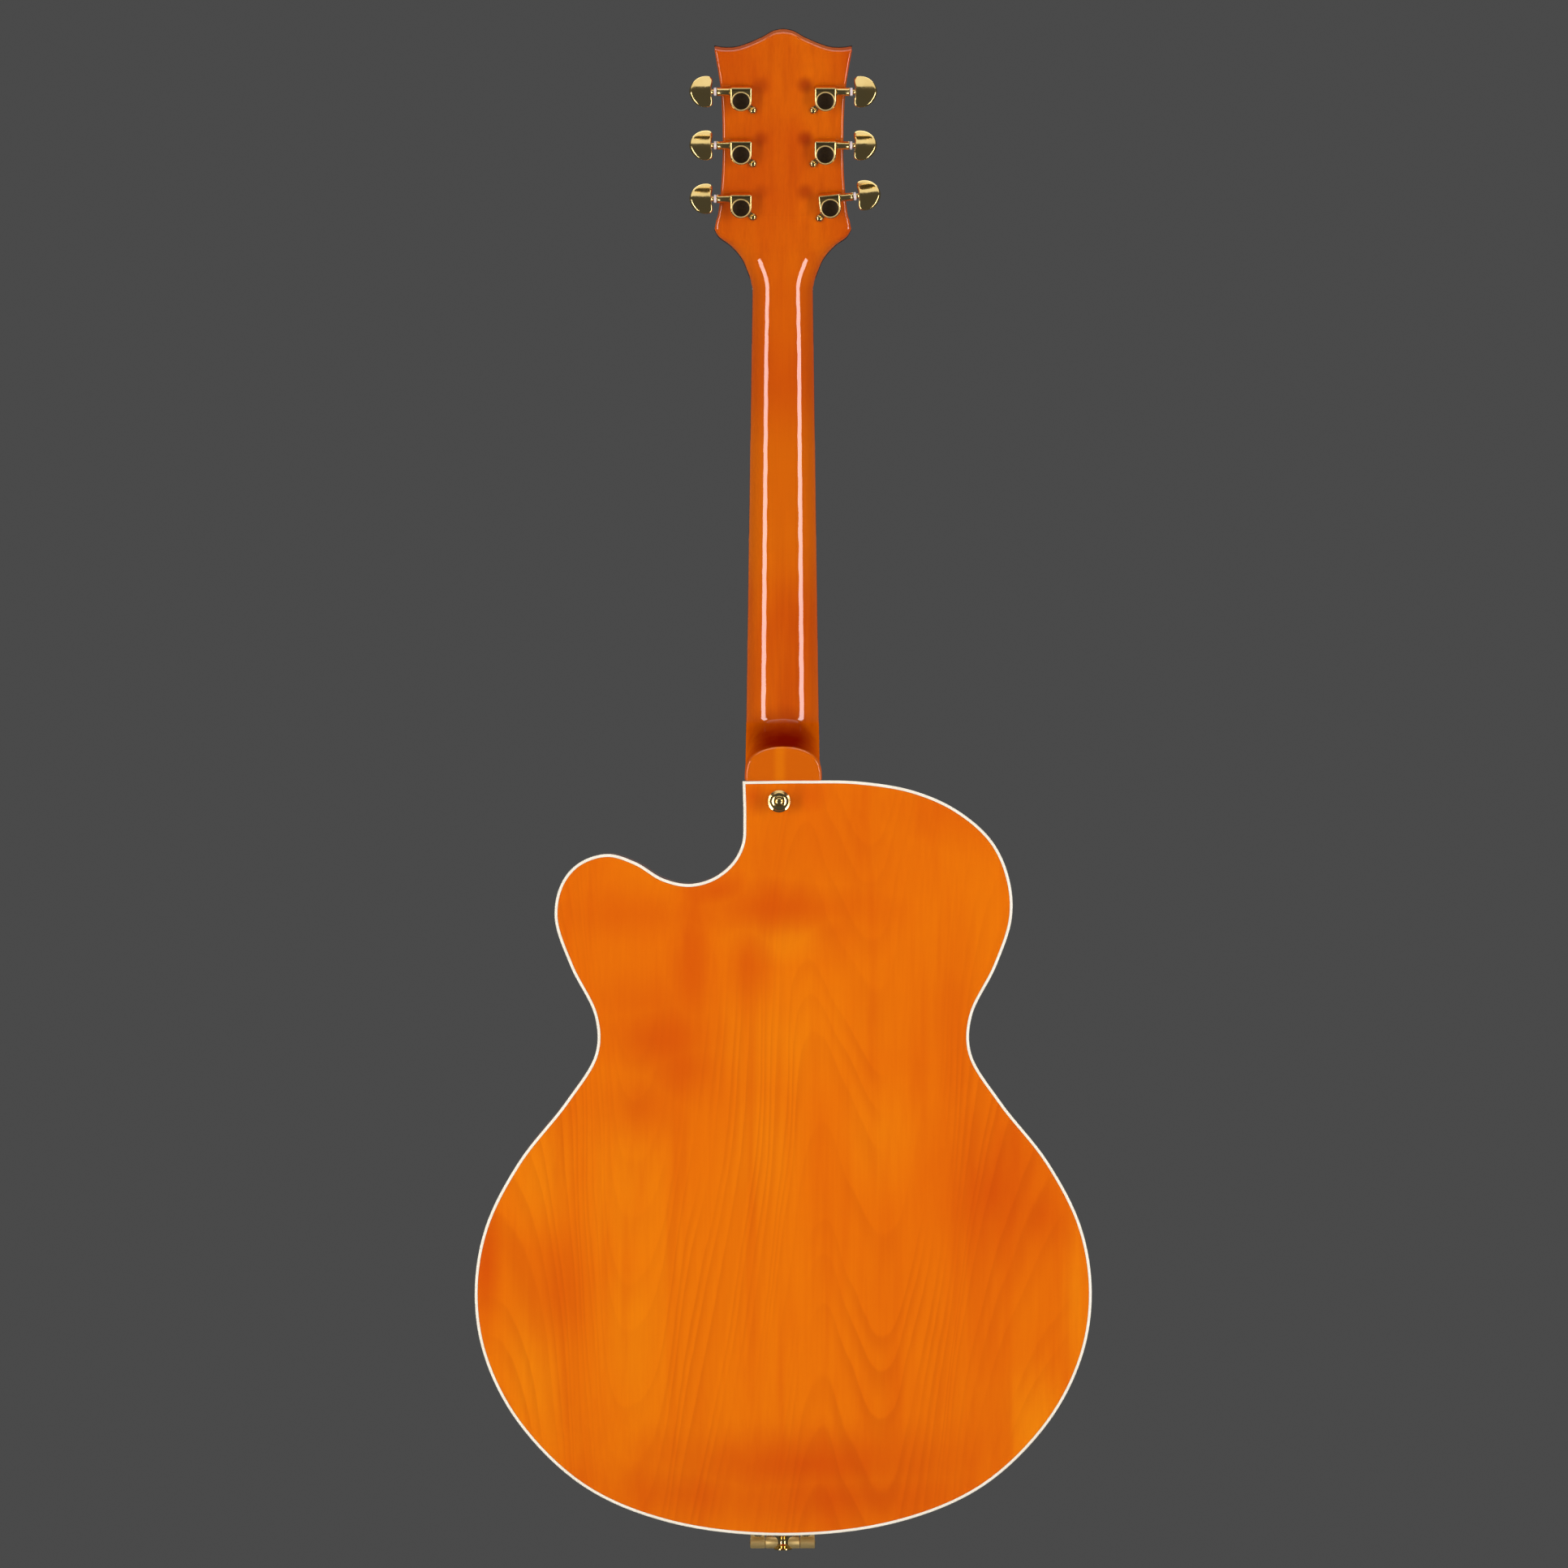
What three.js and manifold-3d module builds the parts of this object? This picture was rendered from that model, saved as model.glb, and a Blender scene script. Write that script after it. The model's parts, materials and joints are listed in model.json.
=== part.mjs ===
// A semi-acoustic guitar with an arched hollow body, one cutaway and six enclosed tuners.
// Millimetres. +Z runs up the neck, +Y to the back and +X to the treble side.
// The origin is the middle of the nut's front edge, at the level of the fingerboard's face.

import * as THREE from "three";
import { mergeVertices } from "three/addons/utils/BufferGeometryUtils.js";
import Module from "manifold-3d";

const wasm = await Module();
wasm.setup();

// Clearances
const glueGap = 0.3;
const edgeGap = 0.15;
const runGap = 0.35;
const overrun = 6;
const weldDistance = 0.0001;

// Scale and neck
const scaleLength = 628.65;
const joinFret = 14;
const fretCount = 22;
const fretsPerOctave = 12;
const neckPitch = 32.9;
const nutWidth = 43;
const joinWidth = 53;
const nutLength = 5;
const nutRise = 1.2;
const boardThickness = 6;
const boardTail = 3;
const crownRadius = 305;
const fretWidth = 2.3;
const fretHeight = 1.1;
const neckDepthAtNut = 21;
const neckDepthAtJoin = 24;
const heelWidth = 54;
const heelReach = 24.4;
const heelFlare = 34;
const tongueBlank = 24;
const tongueStep = 1;
const shaftOverlap = 12;
const heelTaper = 1;
const tenonWidth = 20;
const tenonLength = 22;

// Body
const bodyLength = 528.5;
const lowerHalf = 216;
const rimFront = 2;
const rimDepth = 68;
const rimThickness = 2.5;
const liningWidth = 5.5;
const liningHeight = 12;
const plateThickness = 4.5;
const topArch = 15;
const backArch = 14;
const bindingWidth = 2;
const neckBlockWidth = 66;
const neckBlockLength = 46;
const tailBlockWidth = 80;
const tailBlockLength = 22;
const toneBarWidth = 8;
const toneBarHeight = 13;
const toneBarLength = 280;
const toneBarInset = 48;

// Headstock
const headTilt = THREE.MathUtils.degToRad(14);
const headLength = 183.1;
const headHalf = 48.4;
const headThickness = 13;
const headEdgeRadius = 2.2;
const veneerThickness = 2;
const faceDrop = 3;
const rodRadius = 2.5;
const rodNutRadius = 3.8;
const rodNutLength = 9;
const rodDepth = 9.6;
const rodEnd = 18;
const rodRoom = 1;
const wrenchRoom = 4;
const coverWidth = 26;
const coverLength = 40;
const coverThickness = 1.8;
const coverStart = 3;

// Tuners
const firstTunerRow = 59.2;
const tunerPitch = 38.4;
const tunerRowCount = 3;
const tunerReach = 29.6;
const lastTunerShift = 3.6;
const lastTunerTwist = THREE.MathUtils.degToRad(6);
const housingHalf = 7.7;
const housingTop = 9.4;
const housingDepth = 9;
const housingBevel = 1;
const capRadius = 6.4;
const capHeight = 0.8;
const wormOffset = 5.8;
const wormDepth = 4.8;
const wormRadius = 1.3;
const wormInset = 3;
const barrelRadius = 2.65;
const barrelEnd = 17;
const washerRadius = 2.9;
const washerLength = 1.7;
const earRadius = 2.3;
const earThickness = 1.6;
const earPlace = 8.4;
const buttonWidth = 16.3;
const buttonHalf = 11.35;
const buttonThickness = 7;
const buttonNeck = 1.1;
const buttonStemRadius = 1.8;
const buttonStemLength = 3;
// How far each row's buttons are turned, in degrees, from the nut up.
const buttonTurns = [36, 38, 30];
const postRadius = 3;
const postWaist = 2.5;
const postHeight = 17;
const postSeat = 5.7;
const postCollar = 4.5;
const postTip = 3;
const postStep = 1;
const bushRadius = 4.7;
const bushRoot = 1;
const bushFlange = 6.5;
const bushFlangeHeight = 1.8;

// Strings, treble first
const stringDiameters = [0.28, 0.36, 0.46, 0.66, 0.91, 1.17];
const stringCount = 6;
const nutSpacing = 7.1;
const bridgeSpacing = 10.2;
const nutAction = 1.5;
const bridgeAction = 5;
const windingTurns = 1;
const windingHeight = 9;
const windingGap = 0.5;
const ballRadius = 1.9;
const ballLength = 3;
const ballStep = 0.05;
const ballHole = 1.5;
const stringSides = 6;
const loopSteps = 24;

// Bridge
const baseHalf = 75;
const baseWidth = 12;
const saddleHalf = 42;
const saddleWidth = 8;
const saddleDepth = 6.7;
const studRadius = 2;
const studReach = 34;
const studHeight = 8;
const studSink = 1;
const wheelRadius = 7.5;
const wheelThickness = 2.4;
const bridgeDrop = 1.5;

// Pickups
const pickupWidth = 70;
const pickupLength = 38;
const pickupDepth = 22;
const pickupClearance = 3.8;
const ringWidth = 90;
const ringLength = 45;
const ringLip = 3.4;
const ringCorner = 3;
const coverCorner = 2;
const coverEdge = 0.8;
const neckPickupBack = 26.8;
const bridgePickupBack = 45.6;

// Controls
const knobRadius = 12;
const knobHeight = 15;
const knobEdge = 1;
const potRadius = 12;
const potDepth = 9;
const controlBush = 4;
const controlNut = 6;
const controlNutHeight = 2;
const shaftRadius = 3;
const shaftShort = 1;
const footMargin = 1;
const selectorDepth = 24;
const selectorRadius = 8;
const leverRadius = 1.5;
const leverBall = 2.3;
const leverTip = 3.2;
const leverLength = 16;
const jackBore = 3.3;
const jackBarrel = 4.7;
const jackFlange = 7;
const jackFlangeHeight = 1.4;
const jackLength = 30;

// Tail end
const hingeHalf = 22.9;
const middleKnuckle = 12.1;
const knuckleRadius = 4.1;
const pinRadius = 1.5;
const pinProud = 0.5;
const hingeThickness = 2;
const hingePlateDepth = 46;
const hingeForward = 9;
const hingeDrop = 12.1;
const barHalf = 36;
const barLength = 8;
const barHeight = 8;
const barDrop = 9;
const barLead = 1;
const tailpieceLength = 116;
const trapezeRod = 2.5;
const strapFlange = 6.5;
const strapNeck = 3.4;
const strapStep = 1;
const strapHeight = 11.5;
const strapBase = 7.85;
const strapBaseHeight = 1.4;
const heelStrapDrop = 14.5;
const heelStrapShift = 3;

// f-holes
const holePlace = 86;
const holeDrop = 262;
const holeLength = 118;
const holeWidth = 6.5;
const holeEye = 6.2;
const holeLean = 12;

// Body outline as shares of half the lower bout and of the body's length, from the neck down.
const cutawayShares = [
  [0.1324, 0.0009], [0.1296, 0.053], [0.1343, 0.0833], [0.1644, 0.1079], [0.2269, 0.1287],
  [0.3056, 0.137], [0.3889, 0.1298], [0.4769, 0.1084], [0.5694, 0.0973], [0.662, 0.109],
  [0.7199, 0.1362],
];
const flankShares = [
  [0.741, 0.1816], [0.69, 0.246], [0.611, 0.3122], [0.609, 0.3614], [0.704, 0.4248],
  [0.859, 0.5056], [0.966, 0.5917], [1, 0.6774], [0.97, 0.7616], [0.861, 0.8496],
  [0.648, 0.9347], [0.37, 0.9826],
];
const shoulderShares = [
  [0.7315, 0.1287], [0.676, 0.0795], [0.56, 0.0382], [0.417, 0.0129], [0.241, 0.0012],
  [0.08, 0],
];
const outlineSteps = 2;

// Arch: the crest line that the rings close on, and the rings' places from edge to crest.
const crestStartShare = 0.255;
const crestEndShare = 0.795;
const archRingShares = [0, 0.15, 0.44, 0.88];
const archEasePower = 0.7;
const distanceSteps = 8;

// The heel's slices, as shares of its height from the fingerboard's side to its flat end.
const heelLevelShares = [0, 0.1, 0.22, 0.38, 0.6, 0.97, 1];
const heelSteps = 12;
const shaftSteps = 10;
const housingSteps = 8;

// Headstock outline as shares of its half width and of its length, from the peak to the nut.
const headShares = [
  [0, 1], [0.15, 0.992], [0.295, 0.97], [0.506, 0.945], [0.651, 0.932], [0.764, 0.928],
  [0.897, 0.929], [1, 0.934], [0.913, 0.79], [0.885, 0.68], [0.878, 0.58], [0.886, 0.45],
  [0.925, 0.32], [0.965, 0.252], [1, 0.208], [0.94, 0.18], [0.782, 0.1486], [0.663, 0.116],
  [0.58, 0.084], [0.527, 0.05], [0.48, 0.016], [0.45, -0.02],
];

// Half of a tuner button, inner edge first, as shares of its width and of half its height.
const buttonShares = [[0.03, 0.3], [0, 0.55], [0.02, 0.86], [0.14, 0.985], [0.36, 1],
  [0.62, 0.88], [0.86, 0.56], [0.98, 0.2]];

// The middle line of an f-hole, as shares of its length and of its lean.
const holeShares = [[-0.5, 0.55], [-0.44, 1.15], [-0.3, 0.8], [0, 0], [0.3, -0.8],
  [0.44, -1.15], [0.5, -0.55]];

// The trapeze rods' route, as shares of the bar's half width, of the tailpiece's length and of
// the way from the bar's level to the hinge pin's.
const rodRouteShares = [[0.9, 0, 0], [0.88, 0.09, 0.02], [0.62, 0.4, 0.16],
  [0.38, 0.74, 0.42], [0.27, 0.92, 0.7], [0.25, 1, 1]];

// Controls and jack, as shares of half the lower bout and of the body's length from the neck.
const knobShares = [[0.695, 0.732], [0.593, 0.827]];
const selectorShares = [-0.444, 0.151];
const jackShare = 0.865;

// The truss rod cover, as shares of its width and of its length.
const coverShares = [
  [-0.5, 0], [0.5, 0], [0.46, 0.3], [0.24, 0.55], [0.18, 0.85], [0, 1], [-0.18, 0.85],
  [-0.24, 0.55], [-0.46, 0.3],
];

// Worked-out places. The neck's pitch is how far the string line climbs from nut to bridge.
const neckAngle = Math.asin(neckPitch / scaleLength);
const joinDistance = scaleLength * (1 - 2 ** (-joinFret / fretsPerOctave));
const boardLength = scaleLength * (1 - 2 ** (-fretCount / fretsPerOctave)) + boardTail;
const bodyTop = -joinDistance * Math.cos(neckAngle);
const bodyEnd = bodyTop - bodyLength;
const rimBack = rimFront + rimDepth;
const faceEdge = rimFront - plateThickness;
const backEdge = rimBack + plateThickness;
const bridgeZ = -scaleLength * Math.cos(neckAngle);
const headBack = veneerThickness + glueGap + headThickness;
const neckPickupPlace = boardLength + neckPickupBack;
const bridgePickupPlace = scaleLength - bridgePickupBack;
const tunerRows = Array.from({ length: tunerRowCount },
  (_, row) => firstTunerRow + row * tunerPitch);
const tunerX = (side, row) => side * (tunerReach + (side < 0 && row === 0 ? lastTunerShift : 0));
const knobPlaces = knobShares.map(([x, z]) => [x * lowerHalf, bodyTop - z * bodyLength]);
const selectorPlace = [selectorShares[0] * lowerHalf, bodyTop - selectorShares[1] * bodyLength];

const colours = {
  maple: [0xe07008, 0.28, 0],
  spruce: [0xe07a10, 0.3, 0],
  neckWood: [0xcc5a06, 0.28, 0],
  rawWood: [0xc9a36b, 0.8, 0],
  binding: [0xfff6e0, 0.4, 0],
  rosewood: [0x3b2218, 0.6, 0],
  veneer: [0x14100e, 0.25, 0],
  bone: [0xefe6cf, 0.45, 0],
  gold: [0xd9b45a, 0.2, 1],
  steel: [0xb9bcc0, 0.3, 1],
  black: [0x15130f, 0.35, 0],
};

// A closed body from points and triangles, turned so that its faces point out.
function bodyFrom(points, triangles) {
  let volume = 0;
  for (const [a, b, c] of triangles) {
    volume += points[a].dot(points[b].clone().cross(points[c]));
  }
  const turned = triangles.flatMap(([a, b, c]) => (volume < 0 ? [a, c, b] : [a, b, c]));
  const geometry = new THREE.BufferGeometry().setFromPoints(points);
  geometry.setIndex(turned);
  return geometry;
}

// Triangles between one ring of points and the next.
function bandTriangles(from, to, count) {
  const triangles = [];
  for (let i = 0; i < count; i += 1) {
    const next = (i + 1) % count;
    triangles.push([from + i, from + next, to + next], [from + i, to + next, to + i]);
  }
  return triangles;
}

// Triangles that fill a flat ring, wound as the ring is.
function capTriangles(ring, flat) {
  const contour = ring.map(flat);
  const ringArea = THREE.ShapeUtils.area(contour);
  return THREE.ShapeUtils.triangulateShape(contour, []).map(([a, b, c]) => {
    const area = THREE.ShapeUtils.area([contour[a], contour[b], contour[c]]);
    return area * ringArea < 0 ? [a, c, b] : [a, b, c];
  });
}

// A solid through a list of rings, closed by a cap at each end.
function loftBody(rings, flat) {
  const count = rings[0].length;
  const triangles = [];
  for (let k = 0; k + 1 < rings.length; k += 1) {
    triangles.push(...bandTriangles(k * count, (k + 1) * count, count));
  }
  const last = (rings.length - 1) * count;
  for (const [a, b, c] of capTriangles(rings[0], flat)) triangles.push([a, c, b]);
  for (const [a, b, c] of capTriangles(rings[rings.length - 1], flat)) {
    triangles.push([a + last, b + last, c + last]);
  }
  return bodyFrom(rings.flat(), triangles);
}

// A solid ring whose section's corners each follow a loop of their own.
function frameBody(rings) {
  const count = rings[0].length;
  const triangles = [];
  for (let k = 0; k < rings.length; k += 1) {
    const next = (k + 1) % rings.length;
    triangles.push(...bandTriangles(k * count, next * count, count));
  }
  return bodyFrom(rings.flat(), triangles);
}

// A round tube through points, with a radius at each point and one twist-free frame.
function tubeBody(points, radii, sides) {
  const rings = [];
  const along = new THREE.Vector3();
  const side = new THREE.Vector3();
  points.forEach((point, i) => {
    const before = points[Math.max(i - 1, 0)];
    const after = points[Math.min(i + 1, points.length - 1)];
    along.subVectors(after, before).normalize();
    if (i === 0) side.crossVectors(along, new THREE.Vector3(0, 1, 0.2)).normalize();
    side.addScaledVector(along, -side.dot(along)).normalize();
    const up = new THREE.Vector3().crossVectors(along, side);
    rings.push(circleAngles(sides).map((angle) => point.clone()
      .addScaledVector(side, radii[i] * Math.cos(angle))
      .addScaledVector(up, radii[i] * Math.sin(angle))));
  });
  const last = (rings.length - 1) * sides;
  const triangles = [];
  for (let k = 0; k + 1 < rings.length; k += 1) {
    triangles.push(...bandTriangles(k * sides, (k + 1) * sides, sides));
  }
  for (let i = 1; i + 1 < sides; i += 1) {
    triangles.push([0, i + 1, i], [last, last + i, last + i + 1]);
  }
  return bodyFrom(rings.flat(), triangles);
}

function circleAngles(count) {
  return Array.from({ length: count }, (_, i) => (i / count) * Math.PI * 2);
}

function solidOf(source) {
  const loose = source.index ? source.toNonIndexed() : source.clone();
  loose.deleteAttribute("normal");
  loose.deleteAttribute("uv");
  const merged = mergeVertices(loose, weldDistance);
  return new wasm.Manifold(new wasm.Mesh({
    numProp: 3,
    vertProperties: merged.attributes.position.array,
    triVerts: new Uint32Array(merged.index.array),
  }));
}

function geometryOf(solid) {
  const mesh = solid.getMesh();
  const geometry = new THREE.BufferGeometry();
  geometry.setAttribute("position", new THREE.BufferAttribute(mesh.vertProperties, 3));
  geometry.setIndex(new THREE.BufferAttribute(mesh.triVerts, 1));
  return geometry;
}

function cut(source, ...cutters) {
  return geometryOf(cutters.reduce((left, cutter) => left.subtract(solidOf(cutter)),
    solidOf(source)));
}

function join(source, ...others) {
  return geometryOf(others.reduce((left, other) => left.add(solidOf(other)), solidOf(source)));
}

function box(low, high) {
  const size = new THREE.Vector3().subVectors(high, low);
  const middle = new THREE.Vector3().addVectors(low, high).multiplyScalar(0.5);
  return new THREE.BoxGeometry(size.x, size.y, size.z).translate(middle.x, middle.y, middle.z);
}

const at = (x, y, z) => new THREE.Vector3(x, y, z);

// A turned solid round +Y: a profile of radius and height, from axis to axis or closed.
function turned(profile, sides) {
  return new THREE.LatheGeometry(profile.map(([r, h]) => new THREE.Vector2(r, h)), sides);
}

function rod(radius, from, to, sides) {
  return turned([[0, from], [radius, from], [radius, to], [0, to]], sides);
}

// A flat outline in X and Z, extruded from one Y to another.
function plateSolid(outline, fromY, toY) {
  const shape = new THREE.Shape(outline.map(([x, z]) => new THREE.Vector2(x, -z)));
  const solid = new THREE.ExtrudeGeometry(shape, { depth: toY - fromY, bevelEnabled: false });
  return solid.rotateX(-Math.PI / 2).translate(0, fromY, 0);
}

function material(name) {
  const [color, roughness, metalness] = colours[name];
  return new THREE.MeshStandardMaterial({ color, roughness, metalness });
}

function piece(parent, name, geometry, finish) {
  const mesh = new THREE.Mesh(geometry, material(finish));
  mesh.name = name;
  parent.add(mesh);
  return mesh;
}

const crownFall = (x) => (x * x) / (crownRadius * 2);
const bodyPoint = ([x, z], side) => at(side * x * lowerHalf, 0, bodyTop - z * bodyLength);

// The body's outline as a loop of flat points, from the corner at the neck down the cutaway.
function bodyLoop(steps) {
  const knots = [
    ...cutawayShares.map((share) => bodyPoint(share, 1)),
    ...flankShares.map((share) => bodyPoint(share, 1)),
    bodyPoint([0, 1], 1),
    ...flankShares.map((share) => bodyPoint(share, -1)).reverse(),
    ...shoulderShares.map((share) => bodyPoint(share, -1)),
    bodyPoint(cutawayShares[0], 1),
  ];
  const curve = new THREE.CatmullRomCurve3(knots, false, "centripetal");
  return curve.getPoints((knots.length - 1) * steps).slice(0, -1)
    .map((p) => new THREE.Vector2(p.x, p.z));
}

// The same loop moved inwards by a distance, or outwards where it is negative.
function inset(loop, distance) {
  const turn = Math.sign(THREE.ShapeUtils.area(loop));
  return loop.map((point, i) => {
    const before = loop[(i + loop.length - 1) % loop.length];
    const after = loop[(i + 1) % loop.length];
    const first = new THREE.Vector2().subVectors(point, before).normalize();
    const second = new THREE.Vector2().subVectors(after, point).normalize();
    const inward = new THREE.Vector2(-first.y - second.y, first.x + second.x)
      .multiplyScalar(turn).normalize();
    const spread = Math.max(inward.dot(new THREE.Vector2(-first.y, first.x)
      .multiplyScalar(turn)), 0.5);
    return point.clone().addScaledVector(inward, distance / spread);
  });
}

const raise = (loop, y) => loop.map((p) => at(p.x, y, p.y));
const flatXZ = (p) => new THREE.Vector2(p.x, p.z);

const outline = bodyLoop(outlineSteps);
const fineOutline = bodyLoop(distanceSteps);
const plateLoop = inset(outline, bindingWidth + edgeGap);

// The distance from the outline, which rounds over smoothly between its sides.
function edgeDistance(x, z) {
  const sum = fineOutline.reduce((total, p, i) => {
    const next = fineOutline[(i + 1) % fineOutline.length];
    const away = ((p.x + next.x) / 2 - x) ** 2 + ((p.y + next.y) / 2 - z) ** 2;
    return total + p.distanceTo(next) / away ** 2;
  }, 0);
  return (sum * 2 / Math.PI) ** (-1 / 3);
}
const archReach = edgeDistance(0, bridgeZ);

// The arched surface as rings from the edge to the crest.
function archRings(rise, edgeY, towards) {
  const crestStart = bodyTop - bodyLength * crestStartShare;
  const crestEnd = bodyTop - bodyLength * crestEndShare;
  return archRingShares.map((share) => plateLoop.map((p) => {
    const x = p.x * (1 - share);
    const z = p.y + (THREE.MathUtils.clamp(p.y, crestEnd, crestStart) - p.y) * share;
    const reach = share > 0 ? Math.min(edgeDistance(x, z) / archReach, 1) : 0;
    const height = rise * (1 - Math.cos(Math.PI * reach ** archEasePower)) / 2;
    return at(x, edgeY + towards * height, z);
  }));
}

const shiftRings = (rings, dy) => rings.map((ring) => ring.map((p) => at(p.x, p.y + dy, p.z)));

function archedPlate(rise, edgeY, towards) {
  const outer = archRings(rise, edgeY, towards);
  const inner = shiftRings(outer, -towards * plateThickness);
  return loftBody([...outer.reverse(), ...inner], flatXZ);
}

// Everything behind the arched face, grown by a gap: what seats on the body is cut by it.
function bodyEnvelope(gap) {
  const face = shiftRings(archRings(topArch, faceEdge, -1), -gap).reverse();
  const around = inset(outline, -gap);
  return loftBody([...face, raise(around, faceEdge - gap), raise(around, backEdge + gap)],
    flatXZ);
}

// Everything in front of the soundboard's inner face: what is glued under it is cut by this.
function soundboardInside(gap) {
  const under = shiftRings(archRings(topArch, faceEdge, -1), plateThickness + gap);
  const around = inset(outline, -overrun);
  return loftBody([raise(around, -topArch * 3), raise(around, rimFront + gap), ...under],
    flatXZ);
}

// Where a straight line along Y meets a piece's face.
function faceAt(mesh, x, z, towards) {
  const ray = new THREE.Raycaster(at(x, -towards * bodyLength, z), at(0, towards, 0));
  return ray.intersectObject(mesh)[0].point.y;
}

// The face's highest and lowest levels under a round foot.
function footLevels(mesh, x, z, radius, towards) {
  const levels = circleAngles(8).map((angle) => faceAt(mesh, x + radius * Math.cos(angle),
    z + radius * Math.sin(angle), towards));
  return [Math.min(...levels), Math.max(...levels)];
}

const guitar = new THREE.Group();
const body = new THREE.Group();
const neckFrame = new THREE.Group();
neckFrame.rotation.x = -neckAngle;
const headFrame = new THREE.Group();
headFrame.position.set(0, faceDrop, nutLength + glueGap);
headFrame.rotation.x = -headTilt;
guitar.add(body, neckFrame);
neckFrame.add(headFrame);
guitar.updateMatrixWorld(true);
const toNeck = neckFrame.matrixWorld.clone().invert();
const headToNeck = headFrame.matrix;

// Body shell

function fHole(side) {
  const middle = holeShares.map(([along, lean]) => at(side * (holePlace + lean * holeLean), 0,
    bodyTop - holeDrop - along * holeLength));
  const line = new THREE.CatmullRomCurve3(middle).getPoints(12);
  const edge = (sign) => line.map((p, i) => {
    const before = line[Math.max(i - 1, 0)];
    const after = line[Math.min(i + 1, line.length - 1)];
    const across = at(before.z - after.z, 0, after.x - before.x).normalize();
    const swell = Math.sin((i / (line.length - 1)) * Math.PI) * 0.5 + 0.5;
    return p.clone().addScaledVector(across, sign * swell * holeWidth / 2);
  });
  const slot = [...edge(1), ...edge(-1).reverse()].map((p) => [p.x, p.z]);
  const eye = (p) => circleAngles(10).map((angle) => [p.x + holeEye * Math.cos(angle),
    p.z + holeEye * Math.sin(angle)]);
  const through = [-topArch * 3, rimFront + topArch];
  return join(plateSolid(slot, ...through), plateSolid(eye(middle[0]), ...through),
    plateSolid(eye(middle[middle.length - 1]), ...through));
}

function pickupHole(place, width, length) {
  return box(at(-width / 2, -topArch * 3, -place - length / 2),
    at(width / 2, rimFront + topArch, -place + length / 2));
}

function controlHole(x, z) {
  return rod(controlBush + runGap, -topArch * 3, rimFront + topArch, 12).translate(x, 0, z);
}

const pickupWindow = [pickupWidth + runGap * 2, pickupLength + runGap * 2];
const soundboard = piece(body, "soundboard", cut(archedPlate(topArch, faceEdge, -1),
  fHole(1), fHole(-1),
  pickupHole(neckPickupPlace, ...pickupWindow), pickupHole(bridgePickupPlace, ...pickupWindow),
  ...knobPlaces.map(([x, z]) => controlHole(x, z)), controlHole(...selectorPlace)), "spruce");
const backPlate = piece(body, "back_plate", archedPlate(backArch, backEdge, 1), "maple");

function bindingRing(fromY, toY) {
  const within = inset(outline, bindingWidth);
  return frameBody([raise(outline, fromY), raise(outline, toY), raise(within, toY),
    raise(within, fromY)]);
}
piece(body, "top_binding", bindingRing(faceEdge, rimFront), "binding");
piece(body, "back_binding", bindingRing(rimBack, backEdge), "binding");

// The bent rim with its linings; a gap grows it all round into a cutter.
function rimRing(gap) {
  const wall = rimThickness + gap;
  const lined = rimThickness + liningWidth + gap;
  const slope = liningHeight / 2;
  const corners = [
    [-gap, rimFront - gap], [-gap, rimBack + gap], [lined, rimBack + gap],
    [lined, rimBack - liningHeight - gap], [wall, rimBack - liningHeight - slope - gap],
    [wall, rimFront + liningHeight + slope + gap], [lined, rimFront + liningHeight + gap],
    [lined, rimFront - gap],
  ];
  return frameBody(corners.map(([distance, y]) => raise(inset(outline, distance), y)));
}

// The neck's tenon, which the rim and the neck block are cut for.
function tenon(gap) {
  return box(at(-tenonWidth / 2 - gap, rimFront + liningHeight / 2 - gap,
    bodyTop - tenonLength - gap), at(tenonWidth / 2 + gap, rimBack - liningHeight + gap,
    bodyTop + overrun));
}

// The flat of the treble rim that the jack stands on: its middle and the way it faces.
function jackSeat() {
  const level = bodyTop - jackShare * bodyLength;
  const index = outline.findIndex((p, i) => i > 0 && p.x > lowerHalf / 2 && p.y < level
    && outline[i - 1].y >= level);
  const from = outline[index - 1];
  const to = outline[index];
  const place = at((from.x + to.x) / 2, rimFront + rimDepth / 2, (from.y + to.y) / 2);
  const facing = at(to.y - from.y, 0, from.x - to.x).normalize();
  if (facing.x < 0) facing.negate();
  return [place, facing];
}

const [jackPoint, jackFacing] = jackSeat();
const jackTurn = new THREE.Quaternion().setFromUnitVectors(at(0, 1, 0), jackFacing);
const atJack = (solid) => solid.applyQuaternion(jackTurn)
  .translate(jackPoint.x, jackPoint.y, jackPoint.z);

piece(body, "rim", cut(rimRing(0), tenon(glueGap),
  atJack(rod(jackBarrel + glueGap, -overrun, overrun, 12))), "maple");

const neckBlockLoop = [[-neckBlockWidth * 0.68, bodyTop - glueGap],
  [neckBlockWidth * 0.32, bodyTop - glueGap], [neckBlockWidth * 0.32, bodyTop - neckBlockLength],
  [-neckBlockWidth * 0.68, bodyTop - neckBlockLength]];
const tailBlockLoop = [[-tailBlockWidth / 2, bodyEnd + glueGap],
  [tailBlockWidth / 2, bodyEnd + glueGap], [tailBlockWidth / 2, bodyEnd + tailBlockLength],
  [-tailBlockWidth / 2, bodyEnd + tailBlockLength]];
const outsideCut = frameBody([raise(inset(outline, -overrun), rimFront - overrun),
  raise(inset(outline, -overrun), rimBack + overrun),
  raise(inset(outline, rimThickness + glueGap), rimBack + overrun),
  raise(inset(outline, rimThickness + glueGap), rimFront - overrun)]);
piece(body, "neck_block", cut(plateSolid(neckBlockLoop, rimFront, rimBack), outsideCut,
  rimRing(glueGap), tenon(glueGap)), "rawWood");
piece(body, "tail_block", cut(plateSolid(tailBlockLoop, rimFront, rimBack), outsideCut,
  rimRing(glueGap)), "rawWood");

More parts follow.
